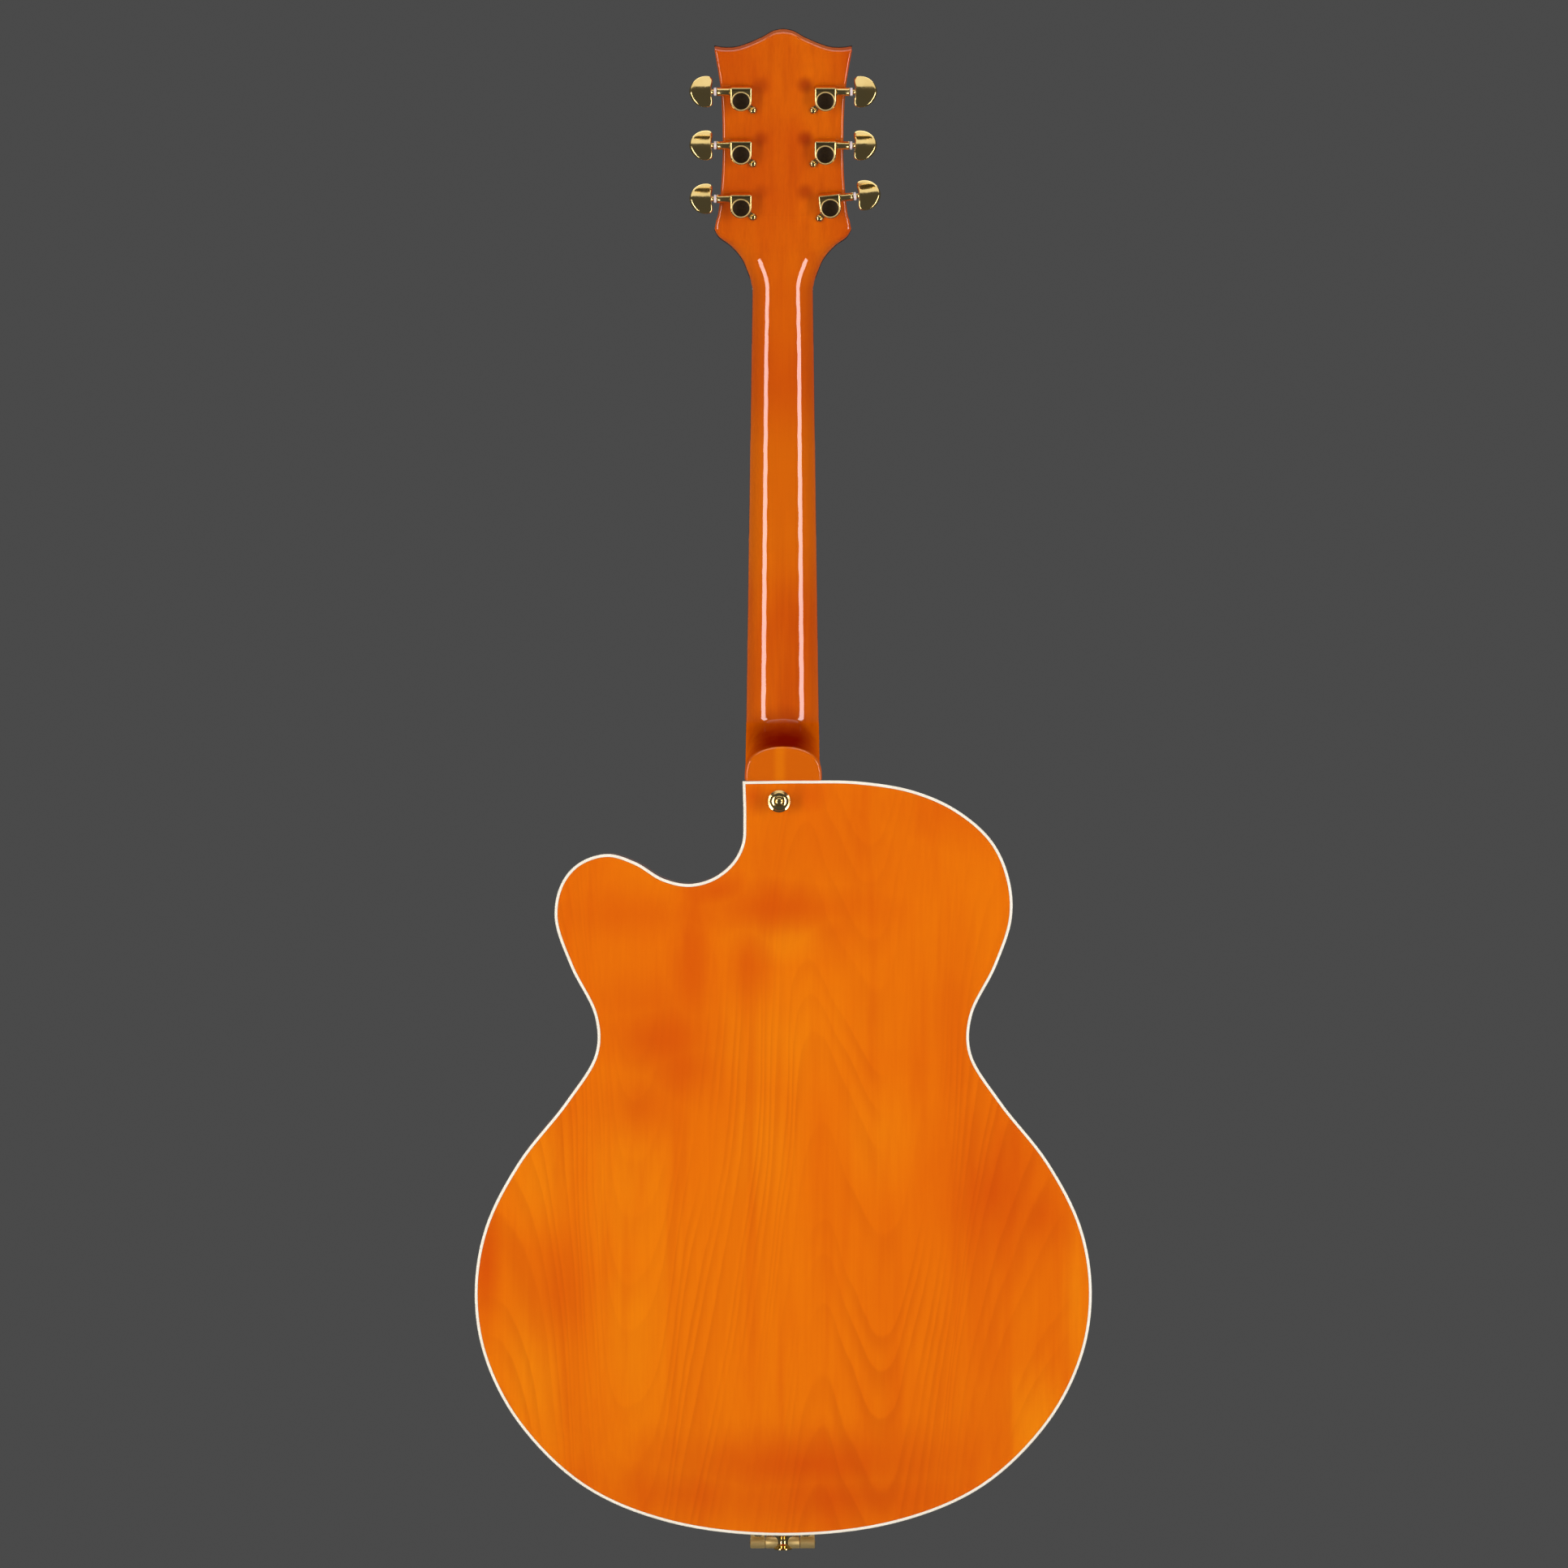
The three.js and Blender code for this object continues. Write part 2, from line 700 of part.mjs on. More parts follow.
function toneBar(side) {
  const middle = side * toneBarInset;
  const bar = box(at(middle - toneBarWidth / 2, -topArch * 2, bridgeZ - toneBarLength / 2),
    at(middle + toneBarWidth / 2, toneBarHeight - topArch / 2, bridgeZ + toneBarLength / 2));
  return cut(bar, soundboardInside(glueGap));
}
piece(body, "bass_tone_bar", toneBar(-1), "rawWood");
piece(body, "treble_tone_bar", toneBar(1), "rawWood");

// Neck, with every point first in the neck's own frame

const neckHalfAt = (z) => (nutWidth + (joinWidth - nutWidth) * (-z / joinDistance)) / 2;
const neckDepthAt = (z) => neckDepthAtNut
  + (neckDepthAtJoin - neckDepthAtNut) * Math.min(-z / joinDistance, 1);

function shaftRing(z, half, depth) {
  return Array.from({ length: shaftSteps + 1 }, (_, i) => {
    const angle = (i / shaftSteps) * Math.PI;
    return at(-half * Math.cos(angle), boardThickness
      + (depth - boardThickness) * Math.sin(angle) ** 0.9, z);
  });
}

function neckShaft() {
  const stations = [shaftOverlap, 0, -joinDistance * 0.25, -joinDistance * 0.6, -joinDistance];
  const rings = stations.map((z) => shaftRing(z, neckHalfAt(z), neckDepthAt(z)));
  const end = -boardLength + glueGap;
  rings.push(shaftRing(-joinDistance - tongueStep, neckHalfAt(-joinDistance), tongueBlank));
  rings.push(shaftRing(end, neckHalfAt(end) - tongueStep, tongueBlank));
  return loftBody(rings, (p) => new THREE.Vector2(p.x, p.y));
}

// The heel as level D-shaped slices in the body's frame, drawn in towards its flat end.
function heel() {
  const from = boardThickness * 2 - joinDistance * Math.sin(neckAngle);
  const levels = heelLevelShares.map((share) => from + share * (backEdge - from));
  const spread = (y) => ((backEdge - y) / (backEdge - from)) ** 3;
  const rings = levels.map((y, k) => {
    const tuck = k === levels.length - 1 ? headEdgeRadius : 0;
    const reach = heelReach + heelFlare * spread(y) - tuck;
    const half = heelWidth / 2 - heelTaper * spread(y) - tuck;
    return Array.from({ length: heelSteps + 1 }, (_, i) => {
      const angle = (i / heelSteps) * Math.PI;
      const along = Math.sin(angle) ** 0.8;
      return at(-half * Math.cos(angle), y, bodyTop - glueGap + reach * along);
    });
  });
  return loftBody(rings, flatXZ).applyMatrix4(toNeck);
}

function headOutline() {
  const half = headShares.map(([x, z]) => [x * headHalf, z * headLength]);
  const other = half.slice(1).reverse().map(([x, z]) => [-x, z]);
  return [...half, ...other];
}

// A flat outline stacked at several levels, each drawn in by its own distance.
function stacked(loop, levels) {
  const flat = loop.map(([x, z]) => new THREE.Vector2(x, z));
  return loftBody(levels.map(([distance, y]) => raise(inset(flat, distance), y)), flatXZ);
}

const headWood = () => stacked(headOutline(), [[0, veneerThickness + glueGap],
  [0, headBack - headEdgeRadius], [headEdgeRadius * 0.3, headBack - headEdgeRadius * 0.3],
  [headEdgeRadius, headBack]]).applyMatrix4(headToNeck);

const postHole = (side, row) => rod(bushRadius + glueGap, -overrun, headBack + overrun, 12)
  .translate(tunerX(side, row), 0, tunerRows[row]);
const rodChannel = join(
  box(at(-rodRadius - glueGap, boardThickness - overrun, -joinDistance + overrun),
    at(rodRadius + glueGap, rodDepth + rodRadius + glueGap, rodEnd + rodRoom)),
  box(at(-rodNutRadius - rodRoom, boardThickness - overrun, rodEnd - rodNutLength - rodRoom),
    at(rodNutRadius + rodRoom, rodDepth + rodNutRadius + rodRoom, rodEnd + wrenchRoom)));

function neckWood() {
  const boardRoom = box(at(-lowerHalf, -lowerHalf, -boardLength - overrun),
    at(lowerHalf, boardThickness, nutLength + glueGap));
  const faceRoom = box(at(-lowerHalf, -lowerHalf, 0),
    at(lowerHalf, veneerThickness + glueGap, lowerHalf)).applyMatrix4(headToNeck);
  const posts = [];
  for (const side of [1, -1]) {
    for (let row = 0; row < tunerRows.length; row += 1) {
      posts.push(postHole(side, row).applyMatrix4(headToNeck));
    }
  }
  const shell = cut(join(neckShaft(), heel(), headWood()), boardRoom, faceRoom,
    bodyEnvelope(glueGap).applyMatrix4(toNeck), rodChannel, ...posts);
  return join(shell, tenonInNeck());
}

// The tenon overlaps the heel's own wood a little, so that the two become one.
function tenonInNeck() {
  return box(at(-tenonWidth / 2, rimFront + liningHeight / 2, bodyTop - tenonLength),
    at(tenonWidth / 2, rimBack - liningHeight, bodyTop + overrun)).applyMatrix4(toNeck);
}

piece(neckFrame, "neck", neckWood(), "neckWood");

function boardRing(z, lift) {
  const half = neckHalfAt(z);
  const across = [-1, -0.5, 0, 0.5, 1];
  const top = across.map((share) => at(share * half, crownFall(share * half) - lift, z));
  return [...top, at(half, boardThickness - glueGap, z), at(-half, boardThickness - glueGap, z)];
}

function fingerboard() {
  const rings = [boardRing(-glueGap, 0)];
  for (let fret = 1; fret <= fretCount; fret += 1) {
    const z = -scaleLength * (1 - 2 ** (-fret / fretsPerOctave));
    const near = z + fretWidth / 2;
    const far = z - fretWidth / 2;
    rings.push(boardRing(near, 0), boardRing(z, fretHeight), boardRing(far, 0));
  }
  rings.push(boardRing(-boardLength, 0));
  return loftBody(rings, (p) => new THREE.Vector2(p.x, p.y));
}
piece(neckFrame, "fingerboard", fingerboard(), "rosewood");

const trussRod = turned([[0, -joinDistance + overrun + glueGap],
  [rodRadius, -joinDistance + overrun + glueGap], [rodRadius, rodEnd - rodNutLength],
  [rodNutRadius, rodEnd - rodNutLength], [rodNutRadius, rodEnd], [0, rodEnd]], 8);
piece(neckFrame, "truss_rod", trussRod.rotateX(Math.PI / 2).translate(0, rodDepth, 0), "steel");

function nut() {
  const half = nutWidth / 2;
  const across = [-1, -0.5, 0, 0.5, 1];
  const top = across.map((share) => [share * half, crownFall(share * half) - nutRise]);
  const shape = new THREE.Shape([...top, [half, boardThickness - glueGap],
    [-half, boardThickness - glueGap]].map(([x, y]) => new THREE.Vector2(x, y)));
  return new THREE.ExtrudeGeometry(shape, { depth: nutLength, bevelEnabled: false });
}
piece(neckFrame, "nut", nut(), "bone");

function veneer() {
  const loop = headOutline().filter(([, z]) => z > headLength * 0.01);
  const holes = [];
  for (const side of [1, -1]) {
    for (let row = 0; row < tunerRows.length; row += 1) holes.push(postHole(side, row));
  }
  const slot = box(at(-rodNutRadius - rodRoom, -overrun, 0),
    at(rodNutRadius + rodRoom, overrun, rodEnd + overrun));
  return cut(plateSolid(loop, 0, veneerThickness), slot, ...holes);
}
piece(headFrame, "headstock_veneer", veneer(), "veneer");

const coverLoop = coverShares.map(([x, z]) => [x * coverWidth, z * coverLength + coverStart]);
piece(headFrame, "truss_rod_cover", plateSolid(coverLoop, -glueGap - coverThickness, -glueGap),
  "black");

// Tuners, each in a frame on the headstock's back with its post along Y

function tunerHousing(side) {
  const arc = Array.from({ length: housingSteps + 1 }, (_, i) => {
    const angle = Math.PI + (i / housingSteps) * Math.PI;
    return [housingHalf * Math.cos(angle), housingHalf * Math.sin(angle)];
  });
  const dee = [...arc, [housingHalf, housingTop], [-housingHalf, housingTop]];
  const bodyBlock = stacked(dee, [[0, glueGap], [0, housingDepth - housingBevel],
    [housingBevel, housingDepth]]);
  const cap = rod(capRadius, housingDepth - housingBevel, housingDepth + capHeight, 12);
  const barrel = rod(barrelRadius, housingHalf - housingBevel, barrelEnd, 8).rotateZ(-Math.PI / 2)
    .translate(0, wormDepth, wormOffset);
  const ear = join(rod(earRadius, glueGap, earThickness, 8)
    .translate(-earPlace, 0, -earPlace), plateSolid([[-earPlace - earRadius * 0.6,
    -earPlace + earRadius * 0.6], [-earPlace + earRadius * 0.6, -earPlace - earRadius * 0.6],
  [-earPlace * 0.24, -earPlace * 0.48], [-earPlace * 0.48, -earPlace * 0.24]], glueGap,
  earThickness));
  const bush = turned([[0, bushRoot], [bushRadius, bushRoot], [bushRadius, -headBack - glueGap],
    [bushFlange, -headBack - glueGap], [bushFlange, -headBack - glueGap - bushFlangeHeight],
    [0, -headBack - glueGap - bushFlangeHeight]].reverse(), 8);
  const postBore = rod(postRadius + runGap * 1.5, -headBack - overrun, postSeat + runGap, 8);
  const wormBore = rod(wormRadius + runGap * 1.5, wormInset - housingHalf, barrelEnd + overrun, 6)
    .rotateZ(-Math.PI / 2).translate(0, wormDepth, wormOffset);
  const whole = cut(join(bodyBlock, cap, barrel, ear, bush), postBore, wormBore);
  return side > 0 ? whole : mirrored(whole);
}

// The same solid with X turned round and its faces still pointing out.
function mirrored(source) {
  const flipped = source.clone().scale(-1, 1, 1);
  const order = Array.from(flipped.index.array);
  for (let i = 0; i < order.length; i += 3) {
    [order[i], order[i + 1]] = [order[i + 1], order[i]];
  }
  flipped.setIndex(order);
  return flipped;
}

function tunerKey(side, turn) {
  const start = barrelEnd + glueGap;
  const buttonStart = start + washerLength + buttonNeck;
  const wormStart = wormInset - housingHalf + runGap;
  const stemEnd = buttonStart + buttonStemLength;
  const shaft = turned([[0, wormStart], [wormRadius, wormStart], [wormRadius, start],
    [washerRadius, start], [washerRadius, start + washerLength],
    [buttonStemRadius, start + washerLength], [buttonStemRadius, stemEnd], [0, stemEnd]], 6)
    .rotateZ(-Math.PI / 2);
  const upper = buttonShares.map(([u, v]) => [buttonStart + u * buttonWidth, v * buttonHalf]);
  const lower = buttonShares.slice().reverse().map(([u, v]) => [buttonStart + u * buttonWidth,
    -v * buttonHalf]);
  const tip = [[buttonStart + buttonWidth, 0]];
  const half = buttonThickness / 2;
  const button = stacked([...upper, ...tip, ...lower],
    [[buttonThickness * 0.33, -half], [0, 0], [buttonThickness * 0.33, half]]);
  button.rotateX(THREE.MathUtils.degToRad(turn));
  const whole = join(shaft, button).translate(0, wormDepth, wormOffset);
  return side > 0 ? whole : mirrored(whole);
}

function stringPost() {
  const top = -headBack - postHeight;
  return turned([[0, postSeat], [postRadius, postSeat], [postRadius, -headBack - postCollar],
    [postWaist, -headBack - postCollar - postStep], [postWaist, top + postTip + postStep],
    [postRadius, top + postTip], [postRadius, top], [0, top]].reverse(), 8);
}

// Numbered from the treble side: each side's string nearest the edge goes to its nearest post.
const tunerOrder = [[1, 0], [1, 1], [1, 2], [-1, 2], [-1, 1], [-1, 0]];
const tunerTwists = [0, 0, 0, 0, 0, lastTunerTwist];
tunerOrder.forEach(([side, row], i) => {
  const place = new THREE.Group();
  place.position.set(tunerX(side, row), headBack, tunerRows[row]);
  place.rotation.y = tunerTwists[i];
  headFrame.add(place);
  piece(place, `tuner_housing_${i + 1}`, tunerHousing(side), "gold");
  piece(place, `tuner_key_${i + 1}`, tunerKey(side, buttonTurns[row]), "gold");
  piece(place, `string_post_${i + 1}`, stringPost(), "gold");
});

// Strings, from a winding on each post over the nut and the saddle into the tailpiece

const stringX = (i, spacing) => ((stringCount - 1) / 2 - i) * spacing;
guitar.updateMatrixWorld(true);

function stringOverNeck(i, distance, radius) {
  const share = distance / scaleLength;
  const x = stringX(i, nutSpacing) + (stringX(i, bridgeSpacing) - stringX(i, nutSpacing)) * share;
  const action = nutAction + (bridgeAction - nutAction) * share;
  return at(x, crownFall(x) - action - radius, -distance).applyMatrix4(neckFrame.matrixWorld);
}

// The winding and the point where the string leaves it, in the headstock's frame.
function windingPoints(i, radius) {
  const [side, row] = tunerOrder[i];
  const centre = new THREE.Vector2(tunerX(side, row), tunerRows[row]);
  const around = postWaist + runGap + radius;
  const start = new THREE.Vector2(stringX(i, nutSpacing), 0);
  const towards = start.clone().sub(centre);
  const reach = towards.length();
  const touch = Math.atan2(towards.y, towards.x) - side * Math.acos(around / reach);
  const pitch = radius * 2 + windingGap;
  const steps = loopSteps * windingTurns;
  const points = [];
  for (let k = 0; k <= steps; k += 1) {
    const angle = touch - side * (k / loopSteps) * Math.PI * 2;
    const lift = -windingHeight + (k / loopSteps) * pitch;
    points.push(at(centre.x + around * Math.cos(angle), lift,
      centre.y + around * Math.sin(angle)));
  }
  return points.reverse();
}

const saddleTopY = (x) => stringOverNeck(0, scaleLength, 0).y
  - crownFall(stringX(0, bridgeSpacing)) + crownFall(x);
const barLevel = saddleTopY(0) + barDrop;
const barFront = bodyEnd + tailpieceLength;

function stringRoute(i) {
  const radius = stringDiameters[i] / 2;
  const wound = windingPoints(i, radius).map((p) => p.applyMatrix4(headFrame.matrixWorld));
  const overNut = at(stringX(i, nutSpacing), crownFall(stringX(i, nutSpacing)) - nutAction
    - radius, nutLength).applyMatrix4(neckFrame.matrixWorld);
  const atSaddle = stringOverNeck(i, scaleLength, radius);
  const atBar = at(atSaddle.x, barLevel, barFront + barLead);
  const through = at(atSaddle.x, barLevel, barFront - barLength - glueGap);
  const ball = through.clone().add(at(0, 0, -ballStep));
  const ballEnd = ball.clone().add(at(0, 0, -ballLength));
  const points = [...wound, overNut, stringOverNeck(i, 0, radius), atSaddle, atBar, through,
    ball, ballEnd];
  const radii = points.map((_, k) => (k >= points.length - 2 ? ballRadius : radius));
  return [points, radii];
}

// The least distance between turns of one winding, for the report below.
function leastGap(points, radius) {
  let least = Infinity;
  points.forEach((p, i) => {
    for (let j = i + loopSteps / 2; j < points.length; j += 1) {
      least = Math.min(least, p.distanceTo(points[j]) - radius * 2);
    }
  });
  return least;
}

let windingLeast = Infinity;
for (let i = 0; i < stringCount; i += 1) {
  const [points, radii] = stringRoute(i);
  windingLeast = Math.min(windingLeast, leastGap(points, stringDiameters[i] / 2));
  piece(guitar, `string_${i + 1}`, tubeBody(points, radii, stringSides), "steel");
}
console.log(`least gap of a string winding to itself: ${windingLeast.toFixed(2)} mm`);

// Bridge, square to the soundboard

const saddleFoot = saddleTopY(0) + saddleDepth;
const baseTop = saddleFoot + glueGap + wheelThickness + runGap * 2 + bridgeDrop;
const baseRise = faceEdge - topArch - baseTop;

function bridgeBase() {
  const profile = [[-baseHalf, 0], [-baseHalf, baseTop + baseRise * 0.75],
    [-baseHalf * 0.72, baseTop + baseRise * 0.55], [-baseHalf * 0.62, baseTop],
    [baseHalf * 0.62, baseTop], [baseHalf * 0.72, baseTop + baseRise * 0.55],
    [baseHalf, baseTop + baseRise * 0.75], [baseHalf, 0]];
  const shape = new THREE.Shape(profile.map(([x, y]) => new THREE.Vector2(x, y)));
  const block = new THREE.ExtrudeGeometry(shape, { depth: baseWidth, bevelEnabled: false })
    .translate(0, 0, bridgeZ - baseWidth / 2);
  const stud = (side) => rod(studRadius, baseTop - studHeight, baseTop + studSink, 10)
    .translate(side * studReach, 0, bridgeZ);
  return join(cut(block, bodyEnvelope(glueGap)), stud(1), stud(-1));
}
piece(body, "bridge_base", bridgeBase(), "rosewood");

function bridgeSaddle() {
  const across = [-1, -0.6, -0.2, 0.2, 0.6, 1];
  const top = across.map((share) => [share * saddleHalf,
    saddleTopY(share * saddleHalf) + glueGap]);
  const shape = new THREE.Shape([...top, [saddleHalf, saddleFoot], [-saddleHalf, saddleFoot]]
    .map(([x, y]) => new THREE.Vector2(x, y)));
  const bar = new THREE.ExtrudeGeometry(shape, { depth: saddleWidth, bevelEnabled: false })
    .translate(0, 0, bridgeZ - saddleWidth / 2);
  const socket = (side) => rod(studRadius + runGap, saddleTopY(0) - overrun,
    saddleFoot + overrun, 10).translate(side * studReach, 0, bridgeZ);
  return cut(bar, socket(1), socket(-1));
}
piece(body, "bridge_saddle", bridgeSaddle(), "gold");

const wheelBore = studRadius + runGap;
const wheelFace = saddleFoot + glueGap;
const wheel = turned([[wheelBore, wheelFace], [wheelRadius, wheelFace],
  [wheelRadius, wheelFace + wheelThickness], [wheelBore, wheelFace + wheelThickness],
  [wheelBore, wheelFace]], 16);
for (const [name, side] of [["treble_thumbwheel", 1], ["bass_thumbwheel", -1]]) {
  piece(body, name, wheel.clone().translate(side * studReach, 0, bridgeZ), "gold");
}

// Pickups in their rings

function roundedLoop(width, length, radius, z) {
  const corners = [[1, 1], [-1, 1], [-1, -1], [1, -1]];
  return corners.flatMap(([sx, sz], k) => [0, 0.5, 1].map((step) => {
    const angle = (k + step) * Math.PI / 2;
    return [sx * (width / 2 - radius) + radius * Math.cos(angle),
      z + sz * (length / 2 - radius) + radius * Math.sin(angle)];
  }));
}

function addPickup(name, place) {
  const z = -place;
  const overHere = stringOverNeck(2, place / Math.cos(neckAngle), 0).y;
  const top = overHere + pickupClearance;
  const ringTop = top + ringLip;
  const frameLoop = roundedLoop(ringWidth, ringLength, ringCorner, z);
  const windowLoop = roundedLoop(...pickupWindow, coverCorner, z);
  piece(body, `${name}_pickup_ring`, cut(plateSolid(frameLoop, ringTop, 0),
    plateSolid(windowLoop, ringTop - overrun, overrun), bodyEnvelope(glueGap)), "black");
  const cover = roundedLoop(pickupWidth, pickupLength, coverCorner, z);
  piece(body, `${name}_pickup`, stacked(cover, [[coverEdge, top], [0, top + coverEdge],
    [0, top + pickupDepth]]), "gold");
}
addPickup("neck", neckPickupPlace);
addPickup("bridge", bridgePickupPlace);

// Controls: each hangs under the soundboard, with its nut on top

function controlSeat(x, z) {
  const [faceNear] = footLevels(soundboard, x, z, controlNut + footMargin, 1);
  const [, underFar] = footLevels(soundboard, x, z, potRadius + footMargin, -1);
  return [faceNear - glueGap, underFar + glueGap];
}

knobPlaces.forEach(([x, z], i) => {
  const [nutFoot, potTop] = controlSeat(x, z);
  const nutTop = nutFoot - controlNutHeight;
  const bore = shaftRadius + runGap;
  const pot = turned([[bore, nutTop], [controlNut, nutTop], [controlNut, nutFoot],
    [controlBush, nutFoot], [controlBush, potTop], [potRadius, potTop],
    [potRadius, potTop + potDepth], [bore, potTop + potDepth], [bore, nutTop]], 10);
  const knobFoot = nutTop - runGap * 2;
  const knob = turned([[0, knobFoot - knobHeight], [knobRadius * 0.8, knobFoot - knobHeight],
    [knobRadius * 0.86, knobFoot - knobHeight + knobEdge], [knobRadius, knobFoot],
    [shaftRadius, knobFoot], [shaftRadius, potTop + potDepth - shaftShort],
    [0, potTop + potDepth - shaftShort]], 14);
  const name = ["volume", "tone"][i];
  piece(body, `${name}_pot`, pot.translate(x, 0, z), "steel");
  piece(body, `${name}_knob`, knob.translate(x, 0, z), "gold");
});

const [selectorX, selectorZ] = selectorPlace;
const [selectorNutFoot, selectorTop] = controlSeat(selectorX, selectorZ);
const selectorNutTop = selectorNutFoot - controlNutHeight;
const leverBore = leverBall + runGap;
const selectorBody = turned([[leverBore, selectorNutTop], [controlNut, selectorNutTop],
  [controlNut, selectorNutFoot], [controlBush, selectorNutFoot], [controlBush, selectorTop],
  [selectorRadius, selectorTop], [selectorRadius, selectorTop + selectorDepth],
  [leverBore, selectorTop + selectorDepth], [leverBore, selectorNutTop]], 12);
piece(body, "selector_switch", selectorBody.translate(selectorX, 0, selectorZ), "steel");
const lever = turned([[0, selectorNutTop - leverLength],
  [leverTip * 0.7, selectorNutTop - leverLength], [leverTip, selectorNutTop - leverLength * 0.8],
  [leverTip * 0.6, selectorNutTop - leverLength * 0.45],
  [leverRadius, selectorNutTop - leverLength * 0.3],
  [leverRadius, selectorNutTop + leverBall * 0.3], [leverBall, selectorNutTop + leverBall],
  [leverRadius, selectorNutTop + leverBall * 1.7], [leverRadius, selectorNutTop + leverBall * 2.5],
  [0, selectorNutTop + leverBall * 2.5]], 10);
piece(body, "selector_lever", lever.translate(selectorX, 0, selectorZ), "bone");

const jack = turned([[jackBore, -jackLength], [jackBarrel, -jackLength], [jackBarrel, glueGap],
  [jackFlange, glueGap], [jackFlange, glueGap + jackFlangeHeight],
  [jackBore, glueGap + jackFlangeHeight], [jackBore, -jackLength]], 12);
piece(body, "output_jack", atJack(jack), "gold");

// Strap buttons and tail end

function strapButton() {
  return turned([[0, 0], [strapBase, 0], [strapBase, strapBaseHeight],
    [strapNeck + strapStep, strapBaseHeight], [strapNeck, strapHeight * 0.5],
    [strapFlange, strapHeight * 0.84],
    [strapFlange * 0.8, strapHeight], [0, strapHeight]], 12);
}
const heelStrapZ = bodyTop - heelStrapDrop;
const [, heelStrapY] = footLevels(backPlate, heelStrapShift, heelStrapZ, strapBase, -1);
piece(body, "heel_strap_button", strapButton()
  .translate(heelStrapShift, heelStrapY + glueGap, heelStrapZ), "gold");

const plateTop = bodyEnd - glueGap;
const plateUnder = plateTop - hingeThickness;
const pinY = faceEdge - hingeForward + knuckleRadius;
const pinZ = plateTop - hingeDrop;
const knuckle = (from, to) => rod(knuckleRadius, from, to, 12).rotateZ(-Math.PI / 2)
  .translate(0, pinY, pinZ);
const pinBore = rod(pinRadius + glueGap, -hingeHalf - overrun, hingeHalf + overrun, 10)
  .rotateZ(-Math.PI / 2).translate(0, pinY, pinZ);

// The plate lies under the tail, bends down at its front edge and is rolled round the pin.
function hingePlate() {
  const bend = pinY - hingeThickness / 2;
  const leaf = join(box(at(-hingeHalf, bend, plateUnder),
    at(hingeHalf, faceEdge + hingePlateDepth, plateTop)),
  box(at(-hingeHalf, bend, pinZ), at(hingeHalf, bend + hingeThickness, plateTop)));
  const gapBox = box(at(-middleKnuckle - runGap, pinY - knuckleRadius - overrun,
    pinZ - knuckleRadius - overrun), at(middleKnuckle + runGap, pinY + knuckleRadius + runGap,
    plateTop + overrun));
  const outer = [knuckle(-hingeHalf, -middleKnuckle - runGap),
    knuckle(middleKnuckle + runGap, hingeHalf)];
  return cut(join(cut(leaf, gapBox), ...outer), pinBore);
}
piece(body, "tail_hinge_plate", hingePlate(), "gold");
piece(body, "hinge_pin", rod(pinRadius, -hingeHalf - pinProud, hingeHalf + pinProud, 10)
  .rotateZ(-Math.PI / 2).translate(0, pinY, pinZ), "gold");

const strapTurn = strapButton().rotateX(-Math.PI / 2);
piece(body, "tail_strap_button", strapTurn
  .translate(0, rimFront + rimDepth / 2, plateUnder - glueGap), "gold");

function tailpiece() {
  const bar = box(at(-barHalf, barLevel - barHeight / 2, barFront - barLength),
    at(barHalf, barLevel + barHeight / 2, barFront));
  const holes = Array.from({ length: stringCount }, (_, i) => rod(ballHole,
    -barLength - overrun, overrun, 6).rotateX(Math.PI / 2)
    .translate(stringX(i, bridgeSpacing), barLevel, barFront));
  const trapeze = (side) => tubeBody(rodRouteShares.map(([across, down, drop]) => at(
    side * across * barHalf, barLevel + drop * (pinY - barLevel),
    barFront - barLength / 2 + down * (pinZ - barFront + barLength / 2))),
  rodRouteShares.map(() => trapezeRod), 8);
  return cut(join(bar, trapeze(1), trapeze(-1), knuckle(-middleKnuckle, middleKnuckle)),
    pinBore, ...holes);
}
piece(body, "tailpiece", tailpiece(), "gold");

export default guitar;
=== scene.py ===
# %% [markdown]
# # Dressing a semi-acoustic guitar
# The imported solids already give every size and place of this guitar. Here each of them gets its
# real finish, and the ones whose facets would show are rebuilt as smooth pieces in the same
# place. Everything is in metres: +Z runs up the neck, +Y points to the arched back and +X to the
# treble side, where the cutaway is.

# %% Load the frame
import json
import math
import bmesh
import bpy
import numpy as np
from mathutils import Matrix, Vector, geometry


